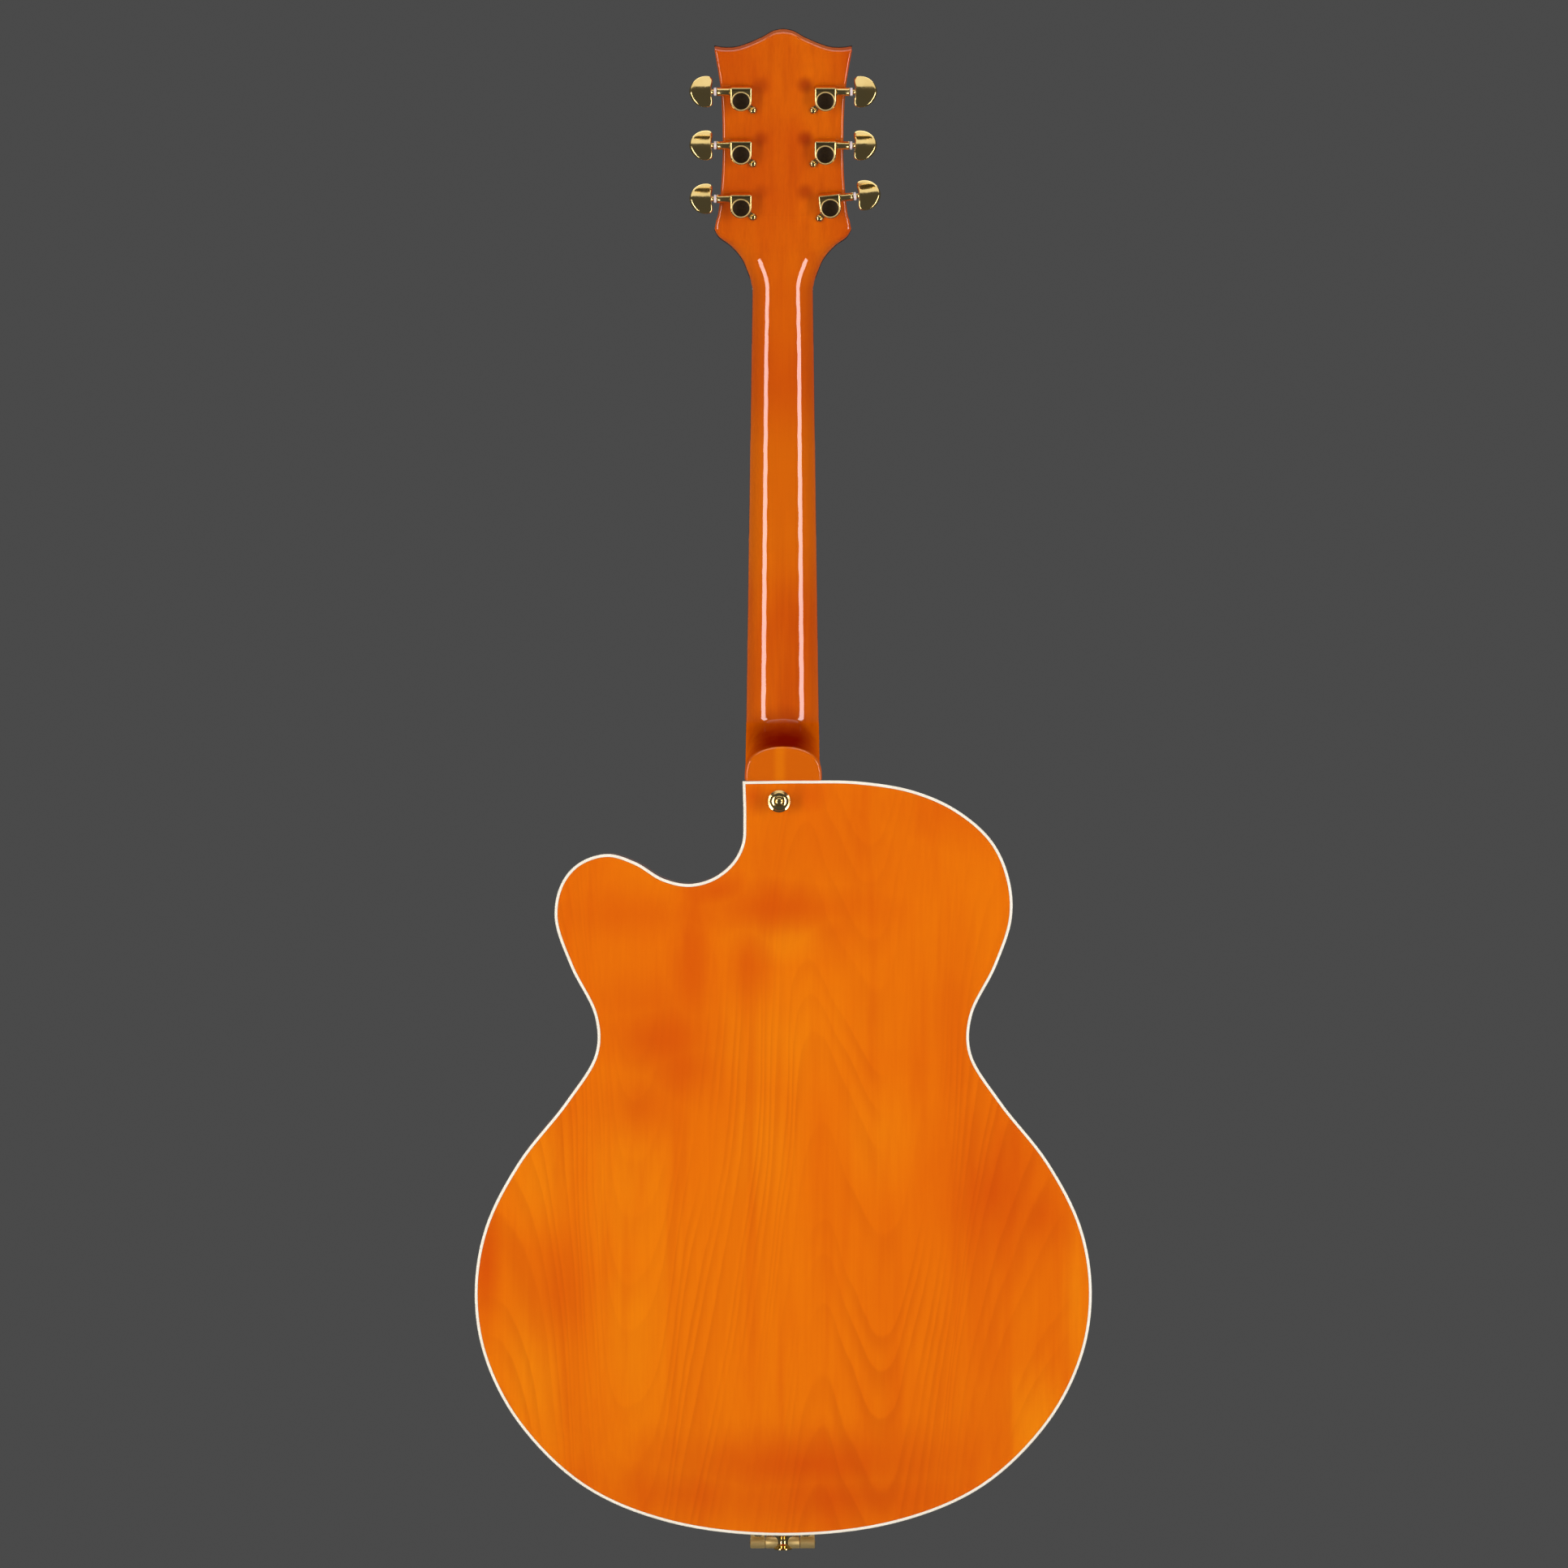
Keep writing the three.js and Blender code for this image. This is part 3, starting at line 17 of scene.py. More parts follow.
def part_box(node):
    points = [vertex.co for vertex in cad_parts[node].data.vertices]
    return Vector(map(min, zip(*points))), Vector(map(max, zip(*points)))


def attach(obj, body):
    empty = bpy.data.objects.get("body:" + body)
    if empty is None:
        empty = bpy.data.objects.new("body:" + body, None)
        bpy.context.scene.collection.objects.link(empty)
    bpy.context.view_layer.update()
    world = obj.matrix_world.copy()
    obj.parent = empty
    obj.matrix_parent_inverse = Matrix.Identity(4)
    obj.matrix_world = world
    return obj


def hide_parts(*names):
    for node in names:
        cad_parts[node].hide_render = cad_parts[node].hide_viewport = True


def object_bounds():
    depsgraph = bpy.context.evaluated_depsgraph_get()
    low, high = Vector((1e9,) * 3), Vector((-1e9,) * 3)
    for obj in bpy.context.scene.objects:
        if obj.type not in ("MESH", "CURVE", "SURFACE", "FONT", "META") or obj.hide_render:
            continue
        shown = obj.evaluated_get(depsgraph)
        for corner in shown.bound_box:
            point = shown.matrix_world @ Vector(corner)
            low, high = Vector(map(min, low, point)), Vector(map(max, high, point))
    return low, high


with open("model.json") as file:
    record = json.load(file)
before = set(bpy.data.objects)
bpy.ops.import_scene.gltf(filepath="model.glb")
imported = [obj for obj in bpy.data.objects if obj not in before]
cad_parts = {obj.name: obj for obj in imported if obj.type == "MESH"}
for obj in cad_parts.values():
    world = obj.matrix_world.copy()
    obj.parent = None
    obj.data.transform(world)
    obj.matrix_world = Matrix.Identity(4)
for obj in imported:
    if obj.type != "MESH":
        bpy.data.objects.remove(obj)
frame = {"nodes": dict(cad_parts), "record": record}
CAD_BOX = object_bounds()
SLOTS = {part["node"]: part["material_slot"] for part in frame["record"]["subparts"]}
BODY_OF = {node: body for body, nodes in frame["record"]["behaviour"]["bodies"].items()
           for node in nodes}
MM = 0.001

# %% [markdown]
# ## The main sizes
# These are the guitar's driving sizes. What can be read from a solid's box is read there, so
# that the smooth pieces always sit where the solids are.

# %% Main sizes, in metres
SCALE = 628.65 * MM
FRETS = 22
NECK_ANGLE = math.radians(3)
HEAD_TILT = math.radians(14)
LOWER_HALF = 216 * MM
RIM_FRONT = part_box("top_binding")[1][1]
RIM_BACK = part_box("back_binding")[0][1]
FACE_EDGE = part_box("top_binding")[0][1]
BACK_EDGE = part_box("back_binding")[1][1]
BODY_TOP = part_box("back_binding")[1][2]
BODY_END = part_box("back_binding")[0][2]
BODY_LENGTH = BODY_TOP - BODY_END
PLATE = 4.5 * MM
BINDING = 2 * MM
SEAM = 0.1 * MM
TOP_ARCH = 15 * MM
BACK_ARCH = 14 * MM
BRIDGE_Z = -SCALE * math.cos(NECK_ANGLE)
CROWN_RADIUS = 305 * MM
BOARD_THICKNESS = 6 * MM
NUT_WIDTH = 43 * MM
JOIN_WIDTH = 53 * MM
JOIN = SCALE * (1 - 2 ** (-14 / 12))
BOARD_LENGTH = SCALE * (1 - 2 ** (-FRETS / 12)) + 3 * MM
HEAD_HALF = 48.4 * MM
HEAD_LENGTH = 183.1 * MM
VENEER = 2 * MM
FACE_DROP = 3 * MM
NUT_LENGTH = 5 * MM
GLUE = 0.3 * MM
HEAD_BACK = VENEER + GLUE + 13 * MM
TO_NECK = Matrix.Rotation(-NECK_ANGLE, 4, "X")
TO_HEAD = (TO_NECK @ Matrix.Translation((0, FACE_DROP, NUT_LENGTH + GLUE))
           @ Matrix.Rotation(-HEAD_TILT, 4, "X"))
print(f"body {BODY_LENGTH:.4f} long, bridge at {BRIDGE_Z:.4f}")

# %% [markdown]
# ## Camera and light
# The photograph was taken square onto the back with a long lens, so the camera stands almost
# six metres away. Two tall strip lights make the two long highlights on the neck, a wide panel
# high above gives the gold its bright upper edges, and softer lights, which no gloss mirrors,
# stand on the other side for the front. The floor lies below, because the guitar hangs.

# %% Camera
FRAME_WIDTH = 1.0974
CAMERA_DISTANCE = 5.7
CAMERA_HEIGHT = -0.3505
CAMERA_SIDE = -0.0007
CAMERA_PIVOT = 0.04
CAMERA_YAW = math.radians(0.4)
SENSOR = 36

camera_data = bpy.data.cameras.new("photo_camera")
camera_data.sensor_width = SENSOR
camera_data.lens = SENSOR * CAMERA_DISTANCE / FRAME_WIDTH
camera_data.clip_end = 60
camera = bpy.data.objects.new("photo_camera", camera_data)
reach = BACK_EDGE + CAMERA_DISTANCE - CAMERA_PIVOT
camera.location = (CAMERA_SIDE + reach * math.sin(CAMERA_YAW),
                   CAMERA_PIVOT + reach * math.cos(CAMERA_YAW), CAMERA_HEIGHT)
camera.rotation_euler = (math.pi / 2, 0, math.pi - CAMERA_YAW)
bpy.context.collection.objects.link(camera)
bpy.context.scene.camera = camera
bpy.context.scene.view_settings.view_transform = "Standard"


# %% Lamps
def panel_light(name, place, target, width, height, brightness, colour=(1, 1, 1)):
    """An area lamp that faces target; brightness is what a mirror would show of it."""
    lamp = bpy.data.lights.new(name, "AREA")
    lamp.shape = "RECTANGLE"
    lamp.size, lamp.size_y = width, height
    lamp.energy = brightness * math.pi * width * height
    lamp.color = colour
    holder = bpy.data.objects.new(name, lamp)
    aim = Vector(target) - Vector(place)
    holder.location = place
    holder.rotation_euler = aim.to_track_quat("-Z", "Y").to_euler()
    bpy.context.collection.objects.link(holder)
    return holder


STRIP_REACH = 2.4
STRIP_HEIGHT = -0.75
STRIP_LENGTH = 3.0
STRIP_TINT = (1, 0.95, 0.92)
# Each pair of strips: its side of the guitar, its angle from the middle, brightness and width.
STRIP_PAIRS = {"back": (1, math.radians(43), 8.6, 0.52), "front": (-1, math.radians(42), 2.5, 0.9)}
for side, name in ((-1, "bass"), (1, "treble")):
    for pair, (facing, angle, brightness, width) in STRIP_PAIRS.items():
        place = Vector((side * STRIP_REACH * math.sin(angle),
                        facing * STRIP_REACH * math.cos(angle), STRIP_HEIGHT))
        strip = panel_light(f"{name}_strip_{pair}", place, (0, 0, STRIP_HEIGHT), width, STRIP_LENGTH,
                            brightness, STRIP_TINT)
        # The front pair lights the front but makes no line along the neck's sides.
        strip.visible_glossy = facing > 0
panel_light("top_panel", (0, 0.86, 2.98), (0, -0.14, 0.18), 4.4, 3.26, 0.95, (1, 0.97, 0.9))
panel_light("front_top_panel", (0, -1.3, 3.0), (0, 0, -0.2), 3.6, 1.6, 1.9)

# %% World and floor
BACKDROP = (0.068, 0.068, 0.068, 1)
AMBIENT = (0.17, 0.17, 0.17, 1)
world = bpy.data.worlds.new("studio")
bpy.context.scene.world = world
world.use_nodes = True
sky = world.node_tree
sky.nodes.clear()
seen = sky.nodes.new("ShaderNodeBackground")
seen.inputs["Color"].default_value = BACKDROP
given = sky.nodes.new("ShaderNodeBackground")
given.inputs["Color"].default_value = AMBIENT
path = sky.nodes.new("ShaderNodeLightPath")
both = sky.nodes.new("ShaderNodeMath")
both.operation = "MAXIMUM"
all_three = sky.nodes.new("ShaderNodeMath")
all_three.operation = "MAXIMUM"
choose = sky.nodes.new("ShaderNodeMixShader")
result = sky.nodes.new("ShaderNodeOutputWorld")
sky.links.new(path.outputs["Is Camera Ray"], both.inputs[0])
sky.links.new(path.outputs["Is Glossy Ray"], both.inputs[1])
sky.links.new(both.outputs[0], all_three.inputs[0])
sky.links.new(path.outputs["Is Transmission Ray"], all_three.inputs[1])
sky.links.new(all_three.outputs[0], choose.inputs[0])
sky.links.new(given.outputs[0], choose.inputs[1])
sky.links.new(seen.outputs[0], choose.inputs[2])
sky.links.new(choose.outputs[0], result.inputs["Surface"])

FLOOR_DROP = 0.42
FLOOR_HALF = 2.2
floor_mesh = bpy.data.meshes.new("studio_floor")
floor_level = CAD_BOX[0][2] - FLOOR_DROP
floor_mesh.from_pydata([(-FLOOR_HALF, -FLOOR_HALF, floor_level), (FLOOR_HALF, -FLOOR_HALF, floor_level),
                        (FLOOR_HALF, FLOOR_HALF, floor_level), (-FLOOR_HALF, FLOOR_HALF, floor_level)],
                       [], [(0, 1, 2, 3)])
floor = bpy.data.objects.new("studio_floor", floor_mesh)
floor.visible_glossy = False
bpy.context.collection.objects.link(floor)
pale = bpy.data.materials.new("pale_floor")
pale.use_nodes = True
pale.node_tree.nodes["Principled BSDF"].inputs["Base Color"].default_value = (0.62, 0.62, 0.61, 1)
pale.node_tree.nodes["Principled BSDF"].inputs["Roughness"].default_value = 0.9
floor_mesh.materials.append(pale)
print("camera, six lamps, backdrop and floor are set")

# %% [markdown]
# ## Materials
# A small helper keeps the node trees readable: it makes a node, sets its values and links its
# inputs in one line. Patterns read Object coordinates, which here are the guitar's own metres,
# so a grain line runs on across the pieces.


# %% Node helpers
def feed(links, socket, value):
    """Links another socket to this one, or sets its plain value."""
    if isinstance(value, bpy.types.NodeSocket):
        links.new(value, socket)
    elif value is not None:
        socket.default_value = value


def fill_node(node, links, inputs, settings):
    """Sets a node up; each input is a value, a socket or (name, value or socket)."""
    for key, value in settings.items():
        setattr(node, key, value)
    for number, entry in enumerate(inputs):
        named = isinstance(entry, tuple) and len(entry) == 2 and isinstance(entry[0], str)
        which, value = entry if named else (number, entry)
        feed(links, node.inputs[which], value)
    return node


class Tree:
    """A material's node tree with short ways to add and join nodes."""

    def __init__(self, name):
        self.material = bpy.data.materials.new(name)
        self.material.use_nodes = True
        self.nodes = self.material.node_tree.nodes
        self.links = self.material.node_tree.links
        self.shader = self.nodes["Principled BSDF"]
        self.place = self.nodes.new("ShaderNodeTexCoord").outputs["Object"]

    def add(self, kind, *inputs, **settings):
        return fill_node(self.nodes.new("ShaderNode" + kind), self.links, inputs, settings)

    def maths(self, operation, *inputs):
        return self.add("Math", *inputs, operation=operation).outputs[0]

    def split(self, vector):
        node = self.add("SeparateXYZ", vector)
        return node.outputs[0], node.outputs[1], node.outputs[2]

    def noise(self, vector, scale, detail=2, roughness=0.5):
        return self.add("TexNoise", ("Vector", vector), ("Scale", scale), ("Detail", detail),
                        ("Roughness", roughness)).outputs["Fac"]

    def stretch(self, scale, place=(0, 0, 0)):
        """The piece's own metres, stretched; a small scale makes a pattern long."""
        return self.add("Mapping", ("Vector", self.place), ("Scale", scale),
                        ("Location", place)).outputs[0]

    def spread(self, value, low, high, to_low=0.0, to_high=1.0):
        return self.add("MapRange", ("Value", value), ("From Min", low), ("From Max", high),
                        ("To Min", to_low), ("To Max", to_high),
                        interpolation_type="SMOOTHSTEP").outputs["Result"]

    def mix(self, amount, first, second, blend="MIX"):
        node = self.nodes.new("ShaderNodeMix")
        node.data_type = "RGBA"
        node.blend_type = blend
        for number, value in ((0, amount), (6, first), (7, second)):
            feed(self.links, node.inputs[number], value)
        return node.outputs[2]

    def set(self, **values):
        for key, value in values.items():
            feed(self.links, self.shader.inputs[key.replace("_", " ")], value)
        return self.material

    def bump(self, height, strength, distance):
        node = self.add("Bump", ("Height", height), ("Strength", strength),
                        ("Distance", distance))
        self.links.new(node.outputs[0], self.shader.inputs["Normal"])

    def lacquer(self):
        """Clear gloss over the wood, thick enough to hide its pores."""
        self.set(Roughness=0.6, Specular_IOR_Level=0.0, Coat_Weight=1.0, Coat_Roughness=0.02,
                 Coat_IOR=1.6)


def colour(red, green, blue):
    """A finish colour from the 0 to 255 values that the eye sees."""
    return tuple(((c / 255 + 0.055) / 1.055) ** 2.4 if c > 10.3 else c / 255 / 12.92
                 for c in (red, green, blue)) + (1,)


# %% [markdown]
# ### The arched plates
# The back is flat-sawn maple, whose growth rings surface as nested peaks and long streaks. The
# level lines of one smooth field draw them: height along the board plus a given curve across
# it. Where that curve is steep the lines crowd into streaks, and where it turns they make the
# peaks. Over it lie soft clouds of stain, redder where the wood drank more.

# %% Stained maple for the two plates
PEAK_SHARES = [(0, 1), (0.114, 0.935), (0.193, 0.839), (0.245, 0.685), (0.298, 0.573), (0.337, 0.532),
               (0.403, 0.565), (0.448, 0.597), (0.502, 0.508), (0.548, 0.371), (0.653, 0.145),
               (0.749, 0.0), (0.8, 0.113), (0.85, 0.29), (0.916, 0.387), (1, 0.411)]
PEAK_HEIGHT = 1240 * MM
RING_GAP = 42 * MM
ORANGE = colour(235, 114, 0)
AMBER = colour(238, 121, 0)
GOLDEN = colour(250, 150, 6)
RED_ORANGE = colour(214, 78, 0)
DEEP_RED = colour(178, 48, 0)


def stain_mask(tree, clouds, tear):
    """How deep the nearest cloud is at each place; tear frays the edges."""
    mask = None
    for place, half, depth in clouds:
        away = tree.add("VectorMath", ("Vector", tree.stretch(
            (1 / half[0], 0, 1 / half[1]), (-place[0] / half[0], 0, -place[1] / half[1]))),
            operation="LENGTH").outputs["Value"]
        near = tree.spread(tree.maths("ADD", tear, away), 0.5, 3.0, depth, 0.0)
        mask = near if mask is None else tree.maths("MAXIMUM", mask, near)
    return mask


def stained_plate(name, clouds, glows, seed):
    tree = Tree(name)
    x, _, z = tree.split(tree.place)
    wander = tree.noise(tree.stretch((3, 3, 3), (seed, 0, 0)), 1.0, 1)
    sway = tree.maths("MULTIPLY_ADD", wander, 0.05, tree.maths("ADD", x, -0.025))
    share = tree.spread(sway, -LOWER_HALF, LOWER_HALF)
    share.node.interpolation_type = "LINEAR"
    curve = tree.add("FloatCurve", ("Value", share))
    line = curve.mapping.curves[0]
    line.points[0].location, line.points[1].location = PEAK_SHARES[0], PEAK_SHARES[-1]
    for place in PEAK_SHARES[1:-1]:
        line.points.new(*place)
    curve.mapping.update()
    field = tree.maths("MULTIPLY_ADD", curve.outputs[0], -PEAK_HEIGHT, z)
    ripple = tree.noise(tree.stretch((30, 30, 14), (0, seed, 0)), 1.0, 3)
    field = tree.maths("MULTIPLY_ADD", ripple, 0.02, field)
    uneven = tree.add("TexNoise", ("W", field), ("Scale", 9.0), ("Detail", 1.0),
                      noise_dimensions="1D").outputs["Fac"]
    count = tree.maths("MULTIPLY_ADD", field, 1 / RING_GAP, tree.maths("MULTIPLY", uneven, 2.6))
    steps = tree.maths("FRACT", count)
    late = tree.maths("MULTIPLY", tree.spread(steps, 0.18, 0.86), tree.spread(steps, 1.0, 0.86))
    late = tree.maths("MULTIPLY", late, tree.spread(tree.noise(
        tree.stretch((16, 16, 5), (seed, seed, 0)), 1.0, 2), 0.32, 0.66))
    plain_band = tree.spread(tree.maths("ABSOLUTE", tree.maths("ADD", x, -0.108)), 0.012, 0.045, 0.35)
    late = tree.maths("MULTIPLY", late, tree.maths("MULTIPLY", plain_band,
                                                   tree.spread(z, -0.57, -0.47, 1.0, 0.45)))
    fibre = tree.noise(tree.stretch((420, 420, 14)), 1.0, 3, 0.6)
    streak = tree.noise(tree.stretch((60, 60, 3.5), (seed, 0, 0)), 1.0, 3, 0.55)
    cloud = tree.noise(tree.stretch((9, 9, 4), (seed, 0, seed)), 1.0, 3, 0.55)
    base = tree.mix(tree.spread(cloud, 0.36, 0.62), AMBER, ORANGE)
    tear = tree.maths("MULTIPLY", tree.noise(tree.stretch((30, 30, 9), (seed, 0, 0)), 1.0, 4, 0.6), 1.6)
    base = tree.mix(stain_mask(tree, glows, tear), base, GOLDEN)
    base = tree.mix(stain_mask(tree, clouds, tear), base, RED_ORANGE)
    base = tree.mix(tree.spread(streak, 0.45, 0.75, 0.0, 0.3), base, RED_ORANGE)
    base = tree.mix(tree.maths("MULTIPLY", late, 0.2), base, DEEP_RED)
    base = tree.mix(tree.spread(fibre, 0.25, 0.8, 0.0, 0.12), base, RED_ORANGE)
    tree.lacquer()
    return tree.set(Base_Color=base)


# Each cloud is its (x, z) middle, its half sizes and its depth from 0 to 1.
BACK_CLOUDS = [((0.003, -0.438), (0.055, 0.016), 0.75), ((-0.035, -0.453), (0.02, 0.018), 0.5),
               ((0.025, -0.473), (0.012, 0.025), 0.6), ((0.065, -0.481), (0.01, 0.03), 0.6),
               ((0.087, -0.529), (0.03, 0.018), 0.7), ((0.07, -0.549), (0.02, 0.02), 0.6),
               ((0.098, -0.503), (0.03, 0.014), 0.35), ((0.1, -0.577), (0.024, 0.018), 0.5),
               ((-0.145, -0.637), (0.03, 0.04), 0.8), ((-0.181, -0.653), (0.02, 0.02), 0.6),
               ((0.208, -0.688), (0.008, 0.03), 0.8), ((0.16, -0.708), (0.02, 0.03), 0.5),
               ((-0.017, -0.826), (0.075, 0.018), 0.85), ((0.07, -0.848), (0.06, 0.018), 0.6),
               ((-0.041, -0.85), (0.07, 0.018), 0.75), ((0.106, -0.441), (0.04, 0.012), 0.4),
               ((0.047, -0.425), (0.02, 0.012), 0.8), ((0.021, -0.359), (0.01, 0.01), 0.7),
               ((-0.017, -0.359), (0.012, 0.01), 0.5), ((-0.121, -0.513), (0.01, 0.05), 0.4),
               ((-0.121, -0.369), (0.05, 0.02), 0.4), ((-0.03, -0.4), (0.06, 0.03), 0.3)]
BACK_GLOWS = [((-0.003, -0.457), (0.028, 0.012), 0.6), ((-0.003, -0.529), (0.04, 0.03), 0.3),
              ((0.11, -0.633), (0.022, 0.06), 0.5), ((0.11, -0.732), (0.02, 0.05), 0.45),
              ((0.178, -0.764), (0.02, 0.05), 0.6), ((0.17, -0.625), (0.02, 0.03), 0.5),
              ((-0.181, -0.8), (0.02, 0.03), 0.65), ((-0.205, -0.712), (0.008, 0.05), 0.55),
              ((-0.069, -0.593), (0.02, 0.03), 0.4), ((0.015, -0.6), (0.02, 0.03), 0.3)]
TOP_CLOUDS = [((0.02, -0.44), (0.07, 0.05), 0.6), ((-0.12, -0.75), (0.06, 0.05), 0.6),
              ((0.14, -0.66), (0.05, 0.07), 0.6), ((0.0, -0.85), (0.12, 0.03), 0.6)]
TOP_GLOWS = [((-0.1, -0.5), (0.04, 0.05), 0.5), ((0.08, -0.76), (0.05, 0.04), 0.5)]
FINISHES = {"stained_back": stained_plate("stained_back_maple", BACK_CLOUDS, BACK_GLOWS, 1.3),
            "stained_top": stained_plate("stained_top_maple", TOP_CLOUDS, TOP_GLOWS, 4.1)}
print("plates:", len(BACK_CLOUDS), "stain clouds on the back")

# %% [markdown]
# ### Rim and neck
# The bent rim is figured maple: its stripes stand across the strip, so the pattern is squeezed
# along the outline and long through the depth. The neck is plain straight-grained maple with
# more red in its stain. The hollow where the heel rises is painted shade over a darker stain,
# and round spots beside the tuners are a darker red.


# %% Stained maple for the rim and the neck
NECK_LIGHT = colour(229, 110, 0)
NECK_DARK = colour(211, 87, 0)


def stained_rim():
    tree = Tree("stained_rim_maple")
    flame = tree.noise(tree.stretch((34, 5, 34)), 1.0, 2)
    fibre = tree.noise(tree.stretch((60, 520, 60)), 1.0, 2)
    base = tree.mix(tree.spread(flame, 0.35, 0.65), colour(226, 98, 0), colour(196, 70, 0))
    base = tree.mix(tree.spread(fibre, 0.3, 0.8, 0.0, 0.2), base, colour(150, 40, 0))
    tree.lacquer()
    return tree.set(Base_Color=base)


HEEL_SHADE = ((0, 0.05, -0.315), (0.043, 0.075, 0.025))
TUNER_SPOTS = [(side * 15.5 * MM, (row + 9.5) * MM, size) for side, row, size in
               ((1, 59.2, 0.5), (-1, 59.2, 0.85), (1, 97.6, 0.75), (-1, 97.6, 1.0), (1, 136, 0.6),
                (-1, 136, 1.0))]
SPOT_HALF = 5.5 * MM


def stained_neck():
    tree = Tree("stained_neck_maple")
    x, y, z = tree.split(tree.place)
    streak = tree.noise(tree.stretch((150, 60, 7)), 1.0, 3)
    fibre = tree.noise(tree.stretch((900, 500, 16)), 1.0, 3, 0.6)
    cloud = tree.noise(tree.stretch((16, 16, 7)), 1.0, 3)
    base = tree.mix(tree.spread(cloud, 0.3, 0.7), NECK_LIGHT, NECK_DARK)
    base = tree.mix(tree.spread(streak, 0.4, 0.75, 0.0, 0.3), base, colour(184, 60, 0))
    base = tree.mix(tree.spread(fibre, 0.3, 0.8, 0.0, 0.12), base, colour(160, 44, 0))
    across = tree.maths("ABSOLUTE", x)
    upper = tree.maths("MULTIPLY", tree.spread(z, -0.2, -0.06, 0.0, 0.5), tree.spread(z, 0.03, -0.01))
    base = tree.mix(upper, base, colour(204, 80, 0))
    middle = tree.maths("MULTIPLY", tree.spread(z, -0.24, -0.17, 0.0, 0.45),
                        tree.spread(z, -0.06, -0.12))
    base = tree.mix(middle, base, colour(226, 118, 0))
    edge = tree.maths("MULTIPLY", tree.spread(across, 0.026, 0.048, 0.0, 0.25),
                      tree.spread(z, 0.0, 0.04))
    base = tree.mix(edge, base, colour(176, 38, 0))
    blots = None
    for spot_x, spot_z, size in TUNER_SPOTS:
        spot = TO_HEAD @ Vector((spot_x, HEAD_BACK, spot_z))
        away = tree.add("VectorMath", ("Vector", tree.place), ("Vector_001", tuple(spot)),
                        operation="DISTANCE").outputs["Value"]
        near = tree.spread(away, SPOT_HALF * 0.25, SPOT_HALF * 1.5, size, 0.0)
        blots = near if blots is None else tree.maths("MAXIMUM", blots, near)
    base = tree.mix(tree.maths("MULTIPLY", blots, 0.62), base, colour(150, 32, 0))
    # Painted shade over a darker stain: the hollow where the heel rises is painted deep red, all but its
    # flat end.
    place, half = HEEL_SHADE
    away = tree.add("VectorMath", ("Vector", tree.stretch(
        tuple(1 / h for h in half), tuple(-p / h for p, h in zip(place, half)))),
        operation="LENGTH").outputs["Value"]
    torn = tree.maths("MULTIPLY_ADD", tree.noise(tree.stretch((60, 60, 40)), 1.0, 3), 0.35, away)
    shade = tree.spread(torn, 0.45, 1.3, 0.96, 0.0)
    flat_end = tree.spread(y, BACK_EDGE - 0.004, BACK_EDGE - 0.0012)
    shade = tree.maths("MULTIPLY", shade, tree.maths("SUBTRACT", 1.0, flat_end))
    base = tree.mix(shade, base, colour(120, 2, 0))
    gloss = tree.maths("MAXIMUM", tree.spread(z, -0.3085, -0.3045, 0.02, 1.0), flat_end)
    stripe = tree.spread(tree.maths("ABSOLUTE", tree.maths("ADD", x, -0.0025)), 0.001, 0.006, 0.6, 0.0)
    base = tree.mix(flat_end, base, tree.mix(stripe, colour(212, 98, 0), colour(232, 124, 0)))
    tree.lacquer()
    tree.set(Coat_Weight=gloss)
    return tree.set(Base_Color=base)


FINISHES["stained_rim"] = stained_rim()
FINISHES["stained_neck"] = stained_neck()


# %% [markdown]
# ### Metal, bone, plastic and bare wood
# Gold plate is a mirror, so its colour comes from what it reflects; fine scratches blur it a
# little. The other finishes are quiet: each has its own slight unevenness.


# %% The other finishes
def gold(name, roughness, metal=1.0):
    tree = Tree(name)
    haze = tree.noise(tree.stretch((60, 60, 60)), 1.0, 3)
    hairs = tree.noise(tree.stretch((2600, 2600, 2600)), 1.0, 1)
    tree.bump(hairs, 0.03, 0.0002)
    tone = tree.mix(tree.spread(haze, 0.3, 0.7), (0.86, 0.66, 0.29, 1), (0.80, 0.59, 0.24, 1))
    return tree.set(Base_Color=tone, Metallic=metal,
                    Roughness=tree.spread(haze, 0.3, 0.75, roughness, roughness + 0.08))


def plain(name, light, dark, scale, low, high, coat=0.0, metal=0.0, bump=0.0):
    tree = Tree(name)
    cloud = tree.noise(tree.stretch(scale), 1.0, 3, 0.6)
    tree.set(Coat_Weight=coat, Coat_Roughness=0.08, Metallic=metal)
    if bump:
        tree.bump(cloud, bump, 0.0003)
    return tree.set(Base_Color=tree.mix(tree.spread(cloud, 0.3, 0.7), light, dark),
                    Roughness=tree.spread(cloud, 0.25, 0.8, low, high))


